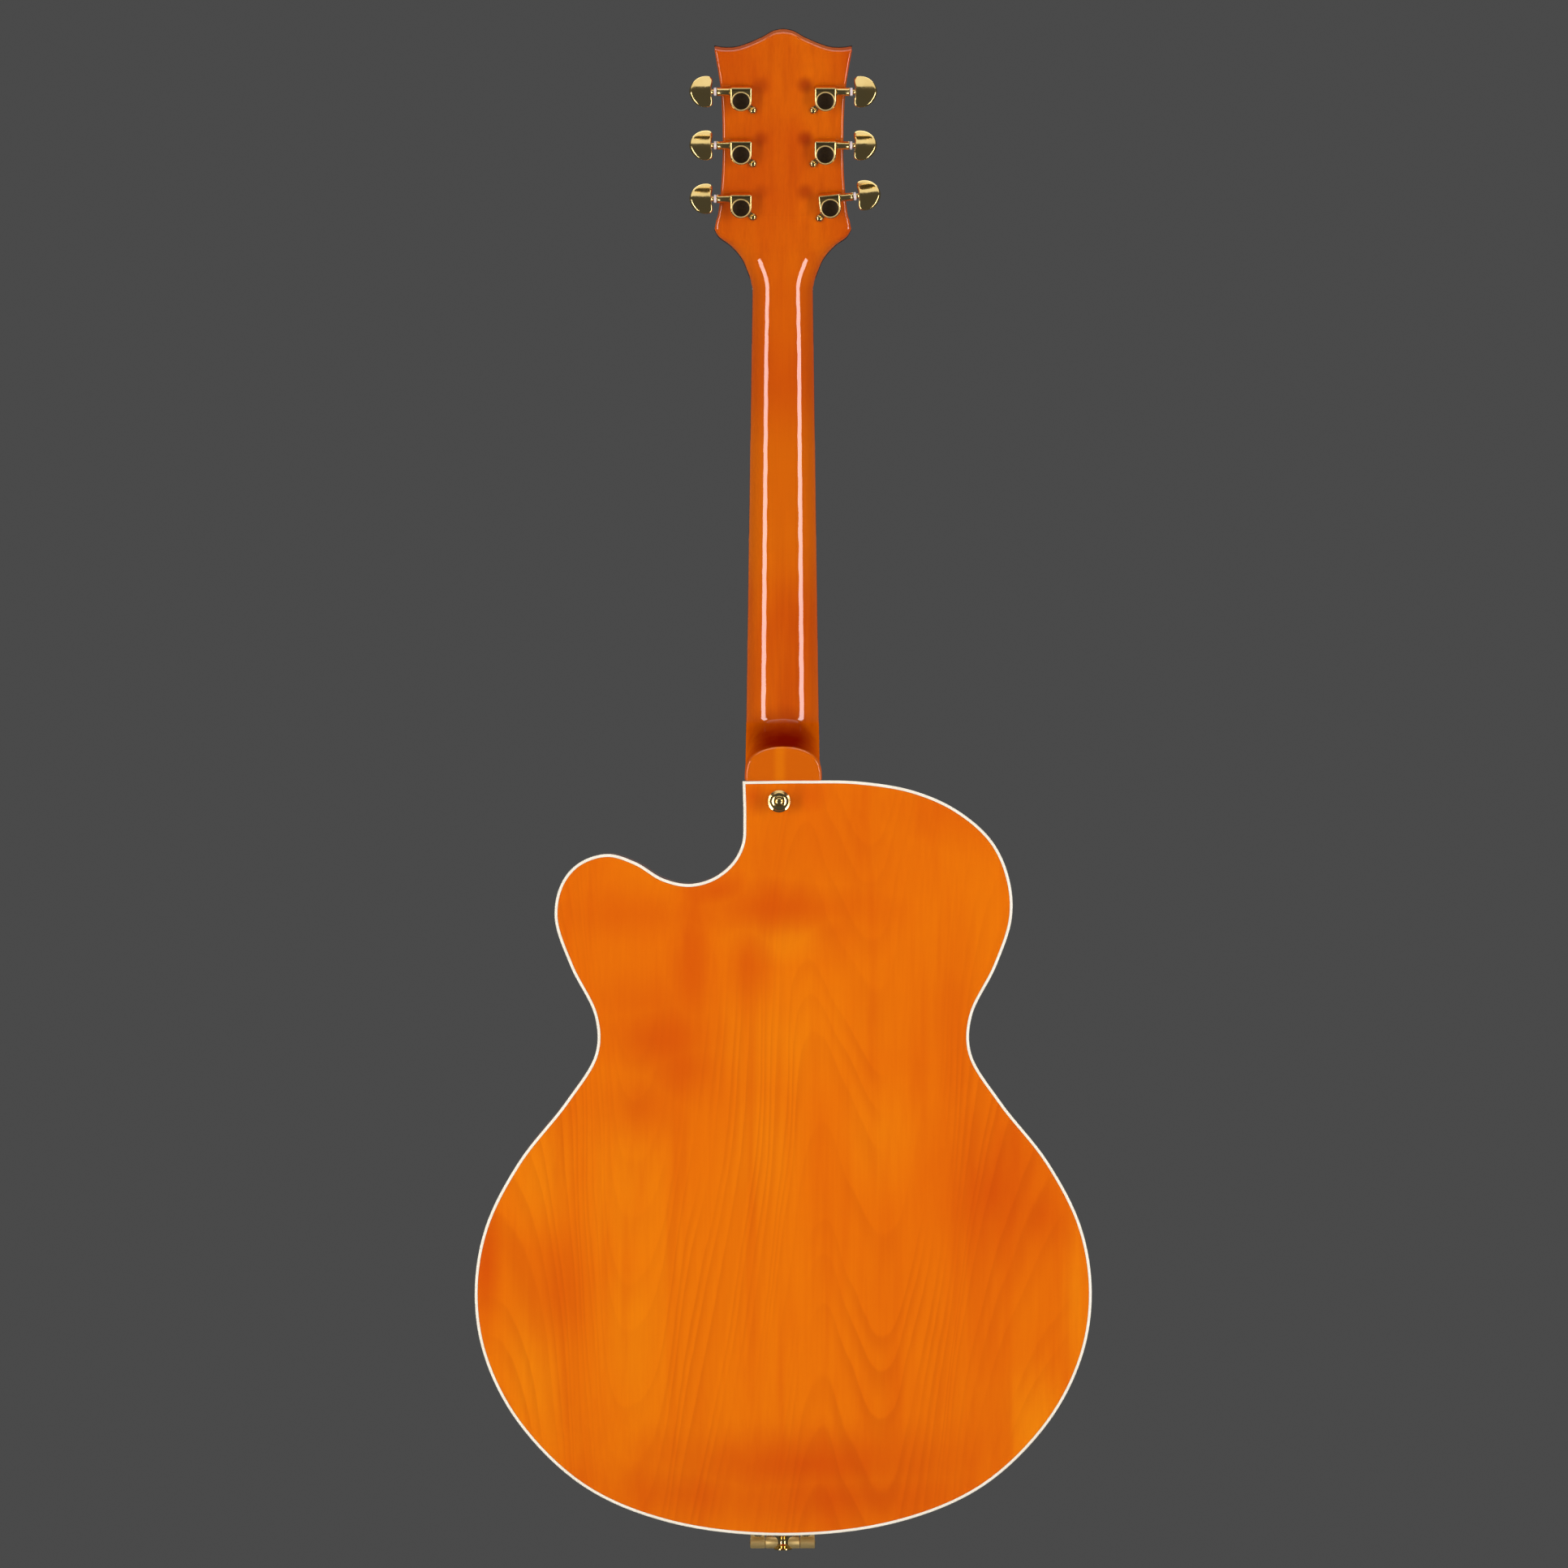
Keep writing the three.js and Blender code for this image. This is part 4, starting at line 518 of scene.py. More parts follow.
FINISHES.update({
    "gold": gold("gold_plate", 0.1),
    "gold_cover": gold("gold_cover_plate", 0.16),
    "satin_gold": gold("satin_gold_plate", 0.45, 0.72),
    "binding": plain("cream_binding", colour(255, 251, 238), colour(250, 243, 226),
                     (30, 30, 30), 0.22, 0.34, coat=0.6),
    "bone": plain("polished_bone", colour(240, 232, 208), colour(226, 214, 182),
                  (90, 90, 40), 0.3, 0.42),
    "raw_wood": plain("bare_wood", colour(214, 178, 128), colour(188, 148, 98),
                      (140, 140, 9), 0.6, 0.8, bump=0.3),
    "rosewood": plain("rosewood_board", colour(70, 43, 30), colour(34, 19, 14),
                      (420, 420, 12), 0.42, 0.62, bump=0.4),
    "veneer": plain("black_veneer", colour(24, 20, 18), colour(16, 13, 12),
                    (200, 200, 20), 0.2, 0.3, coat=1.0),
    "black_plastic": plain("black_plastic", colour(26, 24, 23), colour(18, 17, 16),
                           (60, 60, 60), 0.2, 0.32),
    "steel": plain("bright_steel", colour(205, 206, 208), colour(180, 182, 186),
                   (300, 300, 300), 0.2, 0.34, metal=1.0),
    "nylon": plain("white_nylon", colour(238, 226, 232), colour(226, 214, 222),
                   (300, 300, 300), 0.35, 0.5),
    # The gear caps' faces are painted dark brown: painted shade on the plated metal.
    "cap_disc": plain("gear_cap_painted_shade", colour(64, 48, 26), colour(46, 33, 20),
                      (500, 500, 500), 0.3, 0.45, metal=0.7),
    "wound": plain("wound_string", colour(214, 205, 184), colour(150, 142, 124),
                   (60, 60, 3800), 0.25, 0.4, metal=1.0, bump=0.5),
})
for node, solid in frame["nodes"].items():
    for place in solid.material_slots:
        place.material = FINISHES[SLOTS[node]]
    if not solid.material_slots:
        solid.data.materials.append(FINISHES[SLOTS[node]])
print("finishes:", ", ".join(sorted(FINISHES)))

# %% [markdown]
# ## Small mesh tools
# Each smooth piece is a plain mesh made from rings of points. `make_piece` turns them into an
# object, and `finish_piece` gives it its finish and its body and hides the solid that it stands for.


# %% Mesh tools
def mesh_object(name, points, faces, smooth_angle=35):
    mesh = bpy.data.meshes.new(name)
    mesh.from_pydata([tuple(p) for p in points], [], faces)
    mesh.validate()
    shell = bmesh.new()
    shell.from_mesh(mesh)
    bmesh.ops.remove_doubles(shell, verts=shell.verts, dist=1e-7)
    bmesh.ops.recalc_face_normals(shell, faces=shell.faces)
    shell.to_mesh(mesh)
    shell.free()
    mesh.shade_smooth()
    mesh.set_sharp_from_angle(angle=math.radians(smooth_angle))
    piece = bpy.data.objects.new(name, mesh)
    bpy.context.collection.objects.link(piece)
    return piece


def lathe(profile, sides=40):
    """Points and faces of a turned solid round +Y, from (radius, height) pairs."""
    points, faces = [], []
    for radius, height in profile:
        for k in range(sides):
            angle = 2 * math.pi * k / sides
            points.append((radius * math.cos(angle), height, radius * math.sin(angle)))
    rings = len(profile)
    for r in range(rings - 1):
        for k in range(sides):
            n = (k + 1) % sides
            faces.append((r * sides + k, r * sides + n, (r + 1) * sides + n, (r + 1) * sides + k))
    return points, faces


def loft(rings, capped=True):
    """Faces through rings of equal count, closed at both ends."""
    count = len(rings[0])
    points = [p for ring in rings for p in ring]
    faces = []
    for r in range(len(rings) - 1):
        for k in range(count):
            n = (k + 1) % count
            faces.append((r * count + k, r * count + n, (r + 1) * count + n, (r + 1) * count + k))
    if capped:
        faces.append(tuple(range(count)))
        faces.append(tuple((len(rings) - 1) * count + k for k in reversed(range(count))))
    return points, faces


def ring_frame(rings):
    """Faces of a closed frame whose section's corners each follow a loop of their own."""
    count = len(rings[0])
    points = [p for ring in rings for p in ring]
    faces = []
    for r in range(len(rings)):
        s = (r + 1) % len(rings)
        for k in range(count):
            n = (k + 1) % count
            faces.append((r * count + k, r * count + n, s * count + n, s * count + k))
    return points, faces


def merged(*parts):
    """Several (points, faces) pairs as one."""
    points, faces = [], []
    for some_points, some_faces in parts:
        start = len(points)
        points += list(some_points)
        faces += [tuple(i + start for i in face) for face in some_faces]
    return points, faces


def moved(part, matrix):
    points, faces = part
    return [matrix @ Vector(p) for p in points], faces


def tube(points, radii, sides=12):
    """A round tube through points, with a radius at each and one frame that never twists."""
    rings, side = [], None
    for k, point in enumerate(points):
        along = (points[min(k + 1, len(points) - 1)] - points[max(k - 1, 0)]).normalized()
        side = along.cross(Vector((0, 1, 0.2))) if side is None else side - along * side.dot(along)
        side.normalize()
        up = along.cross(side)
        rings.append([point + radii[k] * (math.cos(a) * side + math.sin(a) * up)
                      for a in (2 * math.pi * n / sides for n in range(sides))])
    return loft(rings)


def apply_modifiers(piece):
    """Turns a piece's modifiers into plain mesh."""
    depsgraph = bpy.context.evaluated_depsgraph_get()
    mesh = bpy.data.meshes.new_from_object(piece.evaluated_get(depsgraph))
    piece.modifiers.clear()
    piece.data = mesh
    return piece


def carve(piece, *cutters):
    """Cuts closed (points, faces) parts out of a piece."""
    for part in cutters:
        tool = mesh_object("cutter", *part)
        bite = piece.modifiers.new("cut", "BOOLEAN")
        bite.operation = "DIFFERENCE"
        bite.object = tool
        apply_modifiers(piece)
        bpy.data.objects.remove(tool)
    piece.data.set_sharp_from_angle(angle=math.radians(35))
    return piece


def finish_piece(piece, finish, *nodes, body=None):
    piece.data.materials.clear()
    piece.data.materials.append(FINISHES[finish])
    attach(piece, body or (BODY_OF[nodes[0]] if nodes else "guitar"))
    if nodes:
        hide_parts(*nodes)
    return piece


def make_piece(name, part, finish, *nodes, body=None, smooth_angle=35):
    """A finished piece from its points and faces."""
    return finish_piece(mesh_object(name, *part, smooth_angle), finish, *nodes, body=body)


# %% [markdown]
# ## The body
# The outline is one smooth curve through a few shares of the lower bout's half width and of the
# body's length. The arch rises with the distance from that outline: a sum over the whole edge
# gives a distance that stays smooth in the middle, like a skin stretched over the rim.

# %% Outline and arch
CUTAWAY_SHARES = [(0.1324, 0.0009), (0.1296, 0.053), (0.1343, 0.0833), (0.1644, 0.1079),
                  (0.2269, 0.1287), (0.3056, 0.137), (0.3889, 0.1298), (0.4769, 0.1084),
                  (0.5694, 0.0973), (0.662, 0.109), (0.7199, 0.1362)]
FLANK_SHARES = [(0.741, 0.1816), (0.69, 0.246), (0.611, 0.3122), (0.609, 0.3614), (0.704, 0.4248),
                (0.859, 0.5056), (0.966, 0.5917), (1, 0.6774), (0.97, 0.7616), (0.861, 0.8496),
                (0.648, 0.9347), (0.37, 0.9826)]
SHOULDER_SHARES = [(0.7315, 0.1287), (0.676, 0.0795), (0.56, 0.0382), (0.417, 0.0129),
                   (0.241, 0.0012), (0.08, 0)]
OUTLINE_STEPS = 8
ARCH_POWER = 0.7


def smooth_line(knots, steps):
    """A centripetal Catmull-Rom curve through the knots."""
    knots = np.array(knots, dtype=float)
    first = 2 * knots[0] - knots[1]
    last = 2 * knots[-1] - knots[-2]
    padded = [first] + list(knots) + [last]
    points = []
    for a, b, c, d in zip(padded, padded[1:], padded[2:], padded[3:]):
        near = max(np.linalg.norm(b - a), 1e-6) ** 0.5
        here = max(np.linalg.norm(c - b), 1e-6) ** 0.5
        far = max(np.linalg.norm(d - c), 1e-6) ** 0.5
        start = ((b - a) / near - (c - a) / (near + here) + (c - b) / here) * here
        end = ((c - b) / here - (d - b) / (here + far) + (d - c) / far) * here
        for k in range(steps):
            t = k / steps
            points.append(b + start * t + (-3 * b + 3 * c - 2 * start - end) * t ** 2
                          + (2 * b - 2 * c + start + end) * t ** 3)
    points.append(knots[-1])
    return np.array(points)


def body_knots():
    right = CUTAWAY_SHARES + FLANK_SHARES
    left = [(-x, z) for x, z in FLANK_SHARES[::-1] + SHOULDER_SHARES]
    shares = right + [(0, 1)] + left + [CUTAWAY_SHARES[0]]
    return [(x * LOWER_HALF, BODY_TOP - z * BODY_LENGTH) for x, z in shares]


OUTLINE = smooth_line(body_knots(), OUTLINE_STEPS)[:-1]


def inset(loop, distance):
    """The loop moved inwards by a distance."""
    before = np.roll(loop, 1, axis=0)
    after = np.roll(loop, -1, axis=0)
    first = (loop - before) / np.linalg.norm(loop - before, axis=1)[:, None]
    second = (after - loop) / np.linalg.norm(after - loop, axis=1)[:, None]
    area = np.sum(before[:, 0] * loop[:, 1] - loop[:, 0] * before[:, 1])
    turn = math.copysign(1, area)
    normal = np.stack([-first[:, 1] - second[:, 1], first[:, 0] + second[:, 0]], axis=1) * turn
    normal /= np.linalg.norm(normal, axis=1)[:, None]
    side = np.stack([-first[:, 1], first[:, 0]], axis=1) * turn
    spread = np.maximum(np.sum(normal * side, axis=1), 0.5)
    return loop + normal * (distance / spread)[:, None]


EDGE_MIDDLES = (OUTLINE + np.roll(OUTLINE, -1, axis=0)) / 2
EDGE_LENGTHS = np.linalg.norm(OUTLINE - np.roll(OUTLINE, -1, axis=0), axis=1)


def edge_distance(places):
    """A smooth distance from the outline, for an array of (x, z)."""
    places = np.atleast_2d(places)
    away = ((places[:, None, :] - EDGE_MIDDLES[None, :, :]) ** 2).sum(axis=2)
    return (2 / math.pi * (EDGE_LENGTHS / away ** 2).sum(axis=1)) ** (-1 / 3)


ARCH_REACH = float(edge_distance([(0, BRIDGE_Z)])[0])


def arch_height(places, rise):
    share = np.clip(edge_distance(places) / ARCH_REACH, 0, 1) ** ARCH_POWER
    return rise * (1 - np.cos(math.pi * share)) / 2


print(f"outline of {len(OUTLINE)} points, arch reach {ARCH_REACH:.3f}")


# %% [markdown]
# Each plate is a net of triangles inside the outline, with its points lifted onto the arch. A
# constrained triangulation follows the edge and the holes exactly, and Solidify gives the
# plate its thickness.


# %% Plates
def inside(loop, places):
    """Which places lie inside a closed loop."""
    x, z = places[:, 0][:, None], places[:, 1][:, None]
    a, b = loop, np.roll(loop, -1, axis=0)
    crosses = (a[None, :, 1] > z) != (b[None, :, 1] > z)
    with np.errstate(divide="ignore", invalid="ignore"):
        at = a[None, :, 0] + (z - a[None, :, 1]) / (b[None, :, 1] - a[None, :, 1]) * (
            b[None, :, 0] - a[None, :, 0])
    return (crosses & (x < at)).sum(axis=1) % 2 == 1


def gap_to(loop, places):
    return np.sqrt(((places[:, None, :] - loop[None, :, :]) ** 2).sum(axis=2).min(axis=1))


def arched_plate(name, edge_y, towards, rise, holes, grid=6.5 * MM):
    edge = inset(OUTLINE, BINDING + SEAM)
    xs = np.arange(-LOWER_HALF, LOWER_HALF, grid)
    zs = np.arange(BODY_END, BODY_TOP, grid)
    cloud = np.array([(x + (row % 2) * grid / 2, z) for row, z in enumerate(zs) for x in xs])
    cloud = cloud[inside(edge, cloud)]
    cloud = cloud[gap_to(edge, cloud) > grid * 0.45]
    for hole in holes:
        cloud = cloud[~inside(hole, cloud)]
        cloud = cloud[gap_to(hole, cloud) > grid * 0.35]
    inner = inset(OUTLINE, BINDING + SEAM + 2.5 * MM)[::2]
    points = [Vector(p) for p in edge]
    edges = [(k, (k + 1) % len(edge)) for k in range(len(edge))]
    for hole in holes:
        start = len(points)
        points += [Vector(p) for p in hole]
        edges += [(start + k, start + (k + 1) % len(hole)) for k in range(len(hole))]
    points += [Vector(p) for p in cloud] + [Vector(p) for p in inner]
    flat, _, faces, _, _, _ = geometry.delaunay_2d_cdt(points, edges, [], 0, 1e-7)
    flat = np.array([tuple(p) for p in flat])
    middles = np.array([flat[list(face)].mean(axis=0) for face in faces])
    keep = inside(edge, middles)
    for hole in holes:
        keep &= ~inside(hole, middles)
    faces = [face for face, kept in zip(faces, keep) if kept]
    height = arch_height(flat, rise)
    rim = gap_to(edge, flat) < 1e-6
    height[rim] = 0
    points = [(x, edge_y + towards * h, z) for (x, z), h in zip(flat, height)]
    mesh = bpy.data.meshes.new(name)
    mesh.from_pydata(points, [], faces)
    shell = bmesh.new()
    shell.from_mesh(mesh)
    bmesh.ops.delete(shell, geom=[v for v in shell.verts if not v.link_faces], context="VERTS")
    bmesh.ops.recalc_face_normals(shell, faces=shell.faces)
    if sum(face.normal.y for face in shell.faces) * towards < 0:
        bmesh.ops.reverse_faces(shell, faces=shell.faces)
    shell.to_mesh(mesh)
    shell.free()
    piece = bpy.data.objects.new(name, mesh)
    bpy.context.collection.objects.link(piece)
    thick = piece.modifiers.new("thickness", "SOLIDIFY")
    thick.thickness = PLATE
    thick.offset = -1
    apply_modifiers(piece)
    piece.data.shade_smooth()
    piece.data.set_sharp_from_angle(angle=math.radians(40))
    return piece


F_HOLE_SHARES = [(-0.5, 0.55), (-0.44, 1.15), (-0.3, 0.8), (0, 0), (0.3, -0.8), (0.44, -1.15),
                 (0.5, -0.55)]
F_PLACE, F_DROP, F_LENGTH, F_WIDTH, F_EYE, F_LEAN = (v * MM for v in (86, 262, 118, 6.5, 6.2, 12))


def circle_loop(x, z, radius, sides=28):
    return np.array([(x + radius * math.cos(2 * math.pi * k / sides),
                      z + radius * math.sin(2 * math.pi * k / sides)) for k in range(sides)])


def f_hole(side):
    """One f-hole as three overlapping loops: the slot and its two eyes."""
    middle = smooth_line([(side * (F_PLACE + lean * F_LEAN), BODY_TOP - F_DROP - along * F_LENGTH)
                          for along, lean in F_HOLE_SHARES], 8)
    ahead = np.gradient(middle, axis=0)
    across = np.stack([ahead[:, 1], -ahead[:, 0]], axis=1)
    across /= np.linalg.norm(across, axis=1)[:, None]
    swell = np.sin(np.linspace(0, math.pi, len(middle))) * 0.5 + 0.5
    half = across * (swell * F_WIDTH / 2)[:, None]
    slot = np.concatenate([middle + half, (middle - half)[::-1]])
    return [slot, circle_loop(*middle[0], F_EYE), circle_loop(*middle[-1], F_EYE)]


def window(node, gap):
    low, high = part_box(node)
    return np.array([(low[0] - gap, low[2] - gap), (high[0] + gap, low[2] - gap),
                     (high[0] + gap, high[2] + gap), (low[0] - gap, high[2] + gap)])


def middle_of(node):
    low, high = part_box(node)
    return Vector([(a + b) / 2 for a, b in zip(low, high)])


BUSH = 4.35 * MM
holes = f_hole(1) + f_hole(-1) + [window("neck_pickup", 0.35 * MM),
                                  window("bridge_pickup", 0.35 * MM)]
for control in ("volume_pot", "tone_pot", "selector_switch"):
    place = middle_of(control)
    holes.append(circle_loop(place.x, place.z, BUSH))
back = arched_plate("arched_back", BACK_EDGE, 1, BACK_ARCH, [])
finish_piece(back, "stained_back", "back_plate")
top = arched_plate("arched_top", FACE_EDGE, -1, TOP_ARCH, holes)
finish_piece(top, "stained_top", "soundboard")
print("plates of", len(back.data.polygons), "and", len(top.data.polygons), "faces")


# %% [markdown]
# The rim is a bent strip with its linings, and a strip of cream binding covers each edge. All
# three follow the outline, so a section's corners, each moved in by its own distance, make them.


# %% Rim and bindings
def raised(loop, y):
    return [(x, y, z) for x, z in loop]


WALL, LINING, LINING_HEIGHT = 2.5 * MM, 8 * MM, 12 * MM
rim_section = [(0, RIM_FRONT), (0, RIM_BACK), (LINING, RIM_BACK),
               (LINING, RIM_BACK - LINING_HEIGHT), (WALL, RIM_BACK - LINING_HEIGHT * 1.5),
               (WALL, RIM_FRONT + LINING_HEIGHT * 1.5), (LINING, RIM_FRONT + LINING_HEIGHT),
               (LINING, RIM_FRONT)]
rim = make_piece("bent_rim", ring_frame([raised(inset(OUTLINE, d), y) for d, y in rim_section]),
                 "stained_rim", "rim")

EDGE_ROUND = 0.9 * MM


def binding(name, outer_y, inner_y, node):
    """A strip from inner_y at the rim to outer_y at the plate, its outer corner rounded."""
    towards = math.copysign(1, outer_y - inner_y)
    section = [(0, inner_y)]
    for k in range(5):
        angle = math.pi / 2 * k / 4
        section.append((EDGE_ROUND * (1 - math.cos(angle)),
                        outer_y - towards * EDGE_ROUND * (1 - math.sin(angle))))
    section += [(BINDING, outer_y), (BINDING, inner_y)]
    make_piece(name, ring_frame([raised(inset(OUTLINE, d), y) for d, y in section]), "binding", node)


binding("back_binding_strip", BACK_EDGE, RIM_BACK, "back_binding")
binding("top_binding_strip", FACE_EDGE, RIM_FRONT, "top_binding")
print("rim and bindings follow", len(OUTLINE), "points")

# %% [markdown]
# ## The neck
# A neck is carved from one block: a D-shaped shaft that spreads into the flat headstock at one
# end and rises into the heel at the other. Three overlapping shells give these forms, and a
# voxel remesh melts them into one skin whose joints are rounded as a file and sandpaper leave
# them.


# %% Neck
HEAD_TOP = [(0, 1), (0.15, 0.992), (0.295, 0.97), (0.506, 0.945), (0.651, 0.932), (0.764, 0.928),
            (0.897, 0.929), (1, 0.934)]
HEAD_SIDE = [(1, 0.934), (0.913, 0.79), (0.885, 0.68), (0.878, 0.58), (0.886, 0.45), (0.925, 0.32),
             (0.965, 0.252), (1, 0.208)]
HEAD_FLARE = [(1, 0.208), (0.94, 0.18), (0.782, 0.1486), (0.663, 0.116), (0.58, 0.084),
              (0.527, 0.05), (0.48, 0.016), (0.45, -0.02)]
HEAD_EDGE_ROUND = 1.4 * MM
HEAD_BLEND = 50 * MM
SKIN_VOXEL = 1.0 * MM
DEPTH_AT_NUT, DEPTH_GAIN = 21, 3  # in millimetres, from the nut to the body


def head_line(shares, steps=6):
    return smooth_line(shares, steps) * np.array([HEAD_HALF, HEAD_LENGTH])


def head_loop(*lines):
    half = np.concatenate([line[:-1] for line in lines] + [lines[-1][-1:]])
    other = (half * np.array([-1, 1]))[::-1]
    return np.concatenate([half, other[:-1] if half[0, 0] == 0 else other])


def smooth_step(value, low, high):
    share = min(max((value - low) / (high - low), 0), 1)
    return share * share * (3 - 2 * share)


HEAD_WING = np.concatenate([head_line(HEAD_FLARE)[::-1], head_line(HEAD_SIDE)[-2::-1]])


def neck_half(z):
    along_head = (z - NUT_LENGTH - GLUE) / math.cos(HEAD_TILT)
    straight = (NUT_WIDTH + (JOIN_WIDTH - NUT_WIDTH) * -z / JOIN) / 2
    if along_head < HEAD_WING[0, 1]:
        return straight
    return float(np.interp(along_head, HEAD_WING[:, 1], HEAD_WING[:, 0]))


def neck_section(z, sides=36):
    """The neck's D at this distance from the nut, in the neck's own frame."""
    rise = (z - NUT_LENGTH - GLUE) * math.tan(HEAD_TILT) + FACE_DROP
    front = max(BOARD_THICKNESS, rise + (VENEER + GLUE) / math.cos(HEAD_TILT))
    depth = (DEPTH_AT_NUT + DEPTH_GAIN * min(max(-z / JOIN, 0), 1)) * MM
    head = rise + HEAD_BACK / math.cos(HEAD_TILT)
    soft = 4 * MM
    back = depth
    if z > -40 * MM:
        back = (depth + head + math.sqrt((depth - head) ** 2 + soft ** 2)) / 2
    # The round D grows square where the shaft spreads into the headstock.
    square = smooth_step(z, 16 * MM, 46 * MM)
    flat_power = 1 - 0.9 * square
    deep_power = 0.9 - 0.82 * square
    half = neck_half(z)
    ring = []
    for k in range(sides + 1):
        angle = math.pi * k / sides
        across = math.copysign(abs(math.cos(angle)) ** flat_power, math.cos(angle))
        ring.append(Vector((-half * across, front + (back - front) * math.sin(angle)
                            ** deep_power, z)))
    return ring


def neck_shaft():
    stations = ([HEAD_BLEND - k * 1.5 * MM for k in range(40)]
                + [-12 * MM - k * 14 * MM for k in range(24)] + [-JOIN])
    return moved(loft([neck_section(z) for z in stations]), TO_NECK)


def neck_tongue():
    """The part under the fingerboard's end, which sinks into the top."""
    front, back = BOARD_THICKNESS, 24 * MM
    rings = []
    for z in (-JOIN + 8 * MM, -BOARD_LENGTH + GLUE):
        half = neck_half(z) - 1 * MM
        rings.append([Vector((x, y, z)) for x, y in ((-half, front), (half, front), (half, back),
                                                     (-half, back))])
    return moved(loft(rings), TO_NECK)


HEEL_WIDTH, HEEL_REACH, HEEL_FLARE = 54 * MM, 24.4 * MM, 34 * MM
HEEL_TUCK = 0.8 * MM


def heel():
    start = 2 * BOARD_THICKNESS - JOIN * math.sin(NECK_ANGLE)
    rings = []
    for k in range(19):
        y = start + (BACK_EDGE - start) * (k / 18)
        spread = ((BACK_EDGE - y) / (BACK_EDGE - start)) ** 3
        tuck = HEEL_TUCK if k == 18 else 0
        reach = HEEL_REACH + HEEL_FLARE * spread - tuck
        half = HEEL_WIDTH / 2 - 1 * MM * spread - tuck
        rings.append([Vector((-half * math.cos(math.pi * i / 40), y,
                              BODY_TOP - GLUE + reach * math.sin(math.pi * i / 40) ** 0.6))
                      for i in range(41)])
    return loft(rings)


def stacked(loop, levels):
    """A flat outline at several levels, each drawn in by its own distance."""
    return loft([[Vector((x, y, z)) for x, z in inset(loop, d)] for d, y in levels])


def rounded_levels(low, high, radius, steps=4):
    """Levels for stacked: straight walls and a rounded edge at the end called high."""
    towards = math.copysign(1, high - low)
    levels = [(0, low), (0, high - towards * radius)]
    for k in range(1, steps + 1):
        angle = math.pi / 2 * k / steps
        levels.append((radius * (1 - math.cos(angle)), high - towards * radius * (1 - math.sin(angle))))
    return levels


HEAD_CUT = (0.965 * HEAD_HALF, 0.252 * HEAD_LENGTH)
head_block = head_loop(head_line(HEAD_TOP), head_line(HEAD_SIDE[:-1]), np.array([HEAD_CUT] * 2))
head_block = head_block[[k for k in range(len(head_block))
                         if np.linalg.norm(head_block[k] - head_block[k - 1]) > 1e-6]]
head = moved(stacked(head_block, rounded_levels(VENEER + GLUE, HEAD_BACK, HEAD_EDGE_ROUND)), TO_HEAD)
neck = mesh_object("carved_neck", *merged(neck_shaft(), neck_tongue(), heel(), head))
melt = neck.modifiers.new("melt", "REMESH")
melt.mode = "VOXEL"
melt.voxel_size = SKIN_VOXEL
sand = neck.modifiers.new("sand", "SMOOTH")
sand.factor = 0.5
sand.iterations = 4
apply_modifiers(neck)
neck.data.shade_smooth()
finish_piece(neck, "stained_neck", "neck")
print("neck skin:", len(neck.data.polygons), "faces")

# %% [markdown]
# The fingerboard is a tapered board with a crowned face, and its frets follow one rule: each
# stands at the place that makes the string a semitone shorter. That rule is a good first
# Geometry Nodes tree: a line of points is moved to the fret places, a wire is set on each point
# and stretched to the board's width there, and the wires are then bent to the crown.


# %% Fingerboard
def board_section(z, lift=0.0, points=21):
    half = neck_half(z) if z < 0 else NUT_WIDTH / 2
    soft = 0.5 * MM
    top = []
    for k in range(points):
        x = half * (2 * k / (points - 1) - 1)
        sag = max(abs(x) - half + soft, 0) ** 2 / soft
        top.append(Vector((x, x * x / (2 * CROWN_RADIUS) - lift + sag, z)))
    return top + [Vector((half, BOARD_THICKNESS - GLUE, z)), Vector((-half, BOARD_THICKNESS - GLUE, z))]


make_piece("crowned_fingerboard", moved(loft(
    [board_section(-GLUE - k * (BOARD_LENGTH - GLUE) / 12) for k in range(13)]), TO_NECK),
    "rosewood", "fingerboard")
NUT_LIFT = 1.2 * MM
NUT_DRAWS = [(0, 0.7 * MM), (0.6 * MM, 0.1 * MM), (3 * MM, 0), (NUT_LENGTH - 0.8 * MM, 0.2 * MM),
             (NUT_LENGTH, 1.0 * MM)]
make_piece("bone_nut", moved(loft(
    [[p + Vector((0, draw if p.y < 4 * MM else 0, 0)) for p in board_section(z, NUT_LIFT)]
     for z, draw in NUT_DRAWS]), TO_NECK), "bone", "nut")


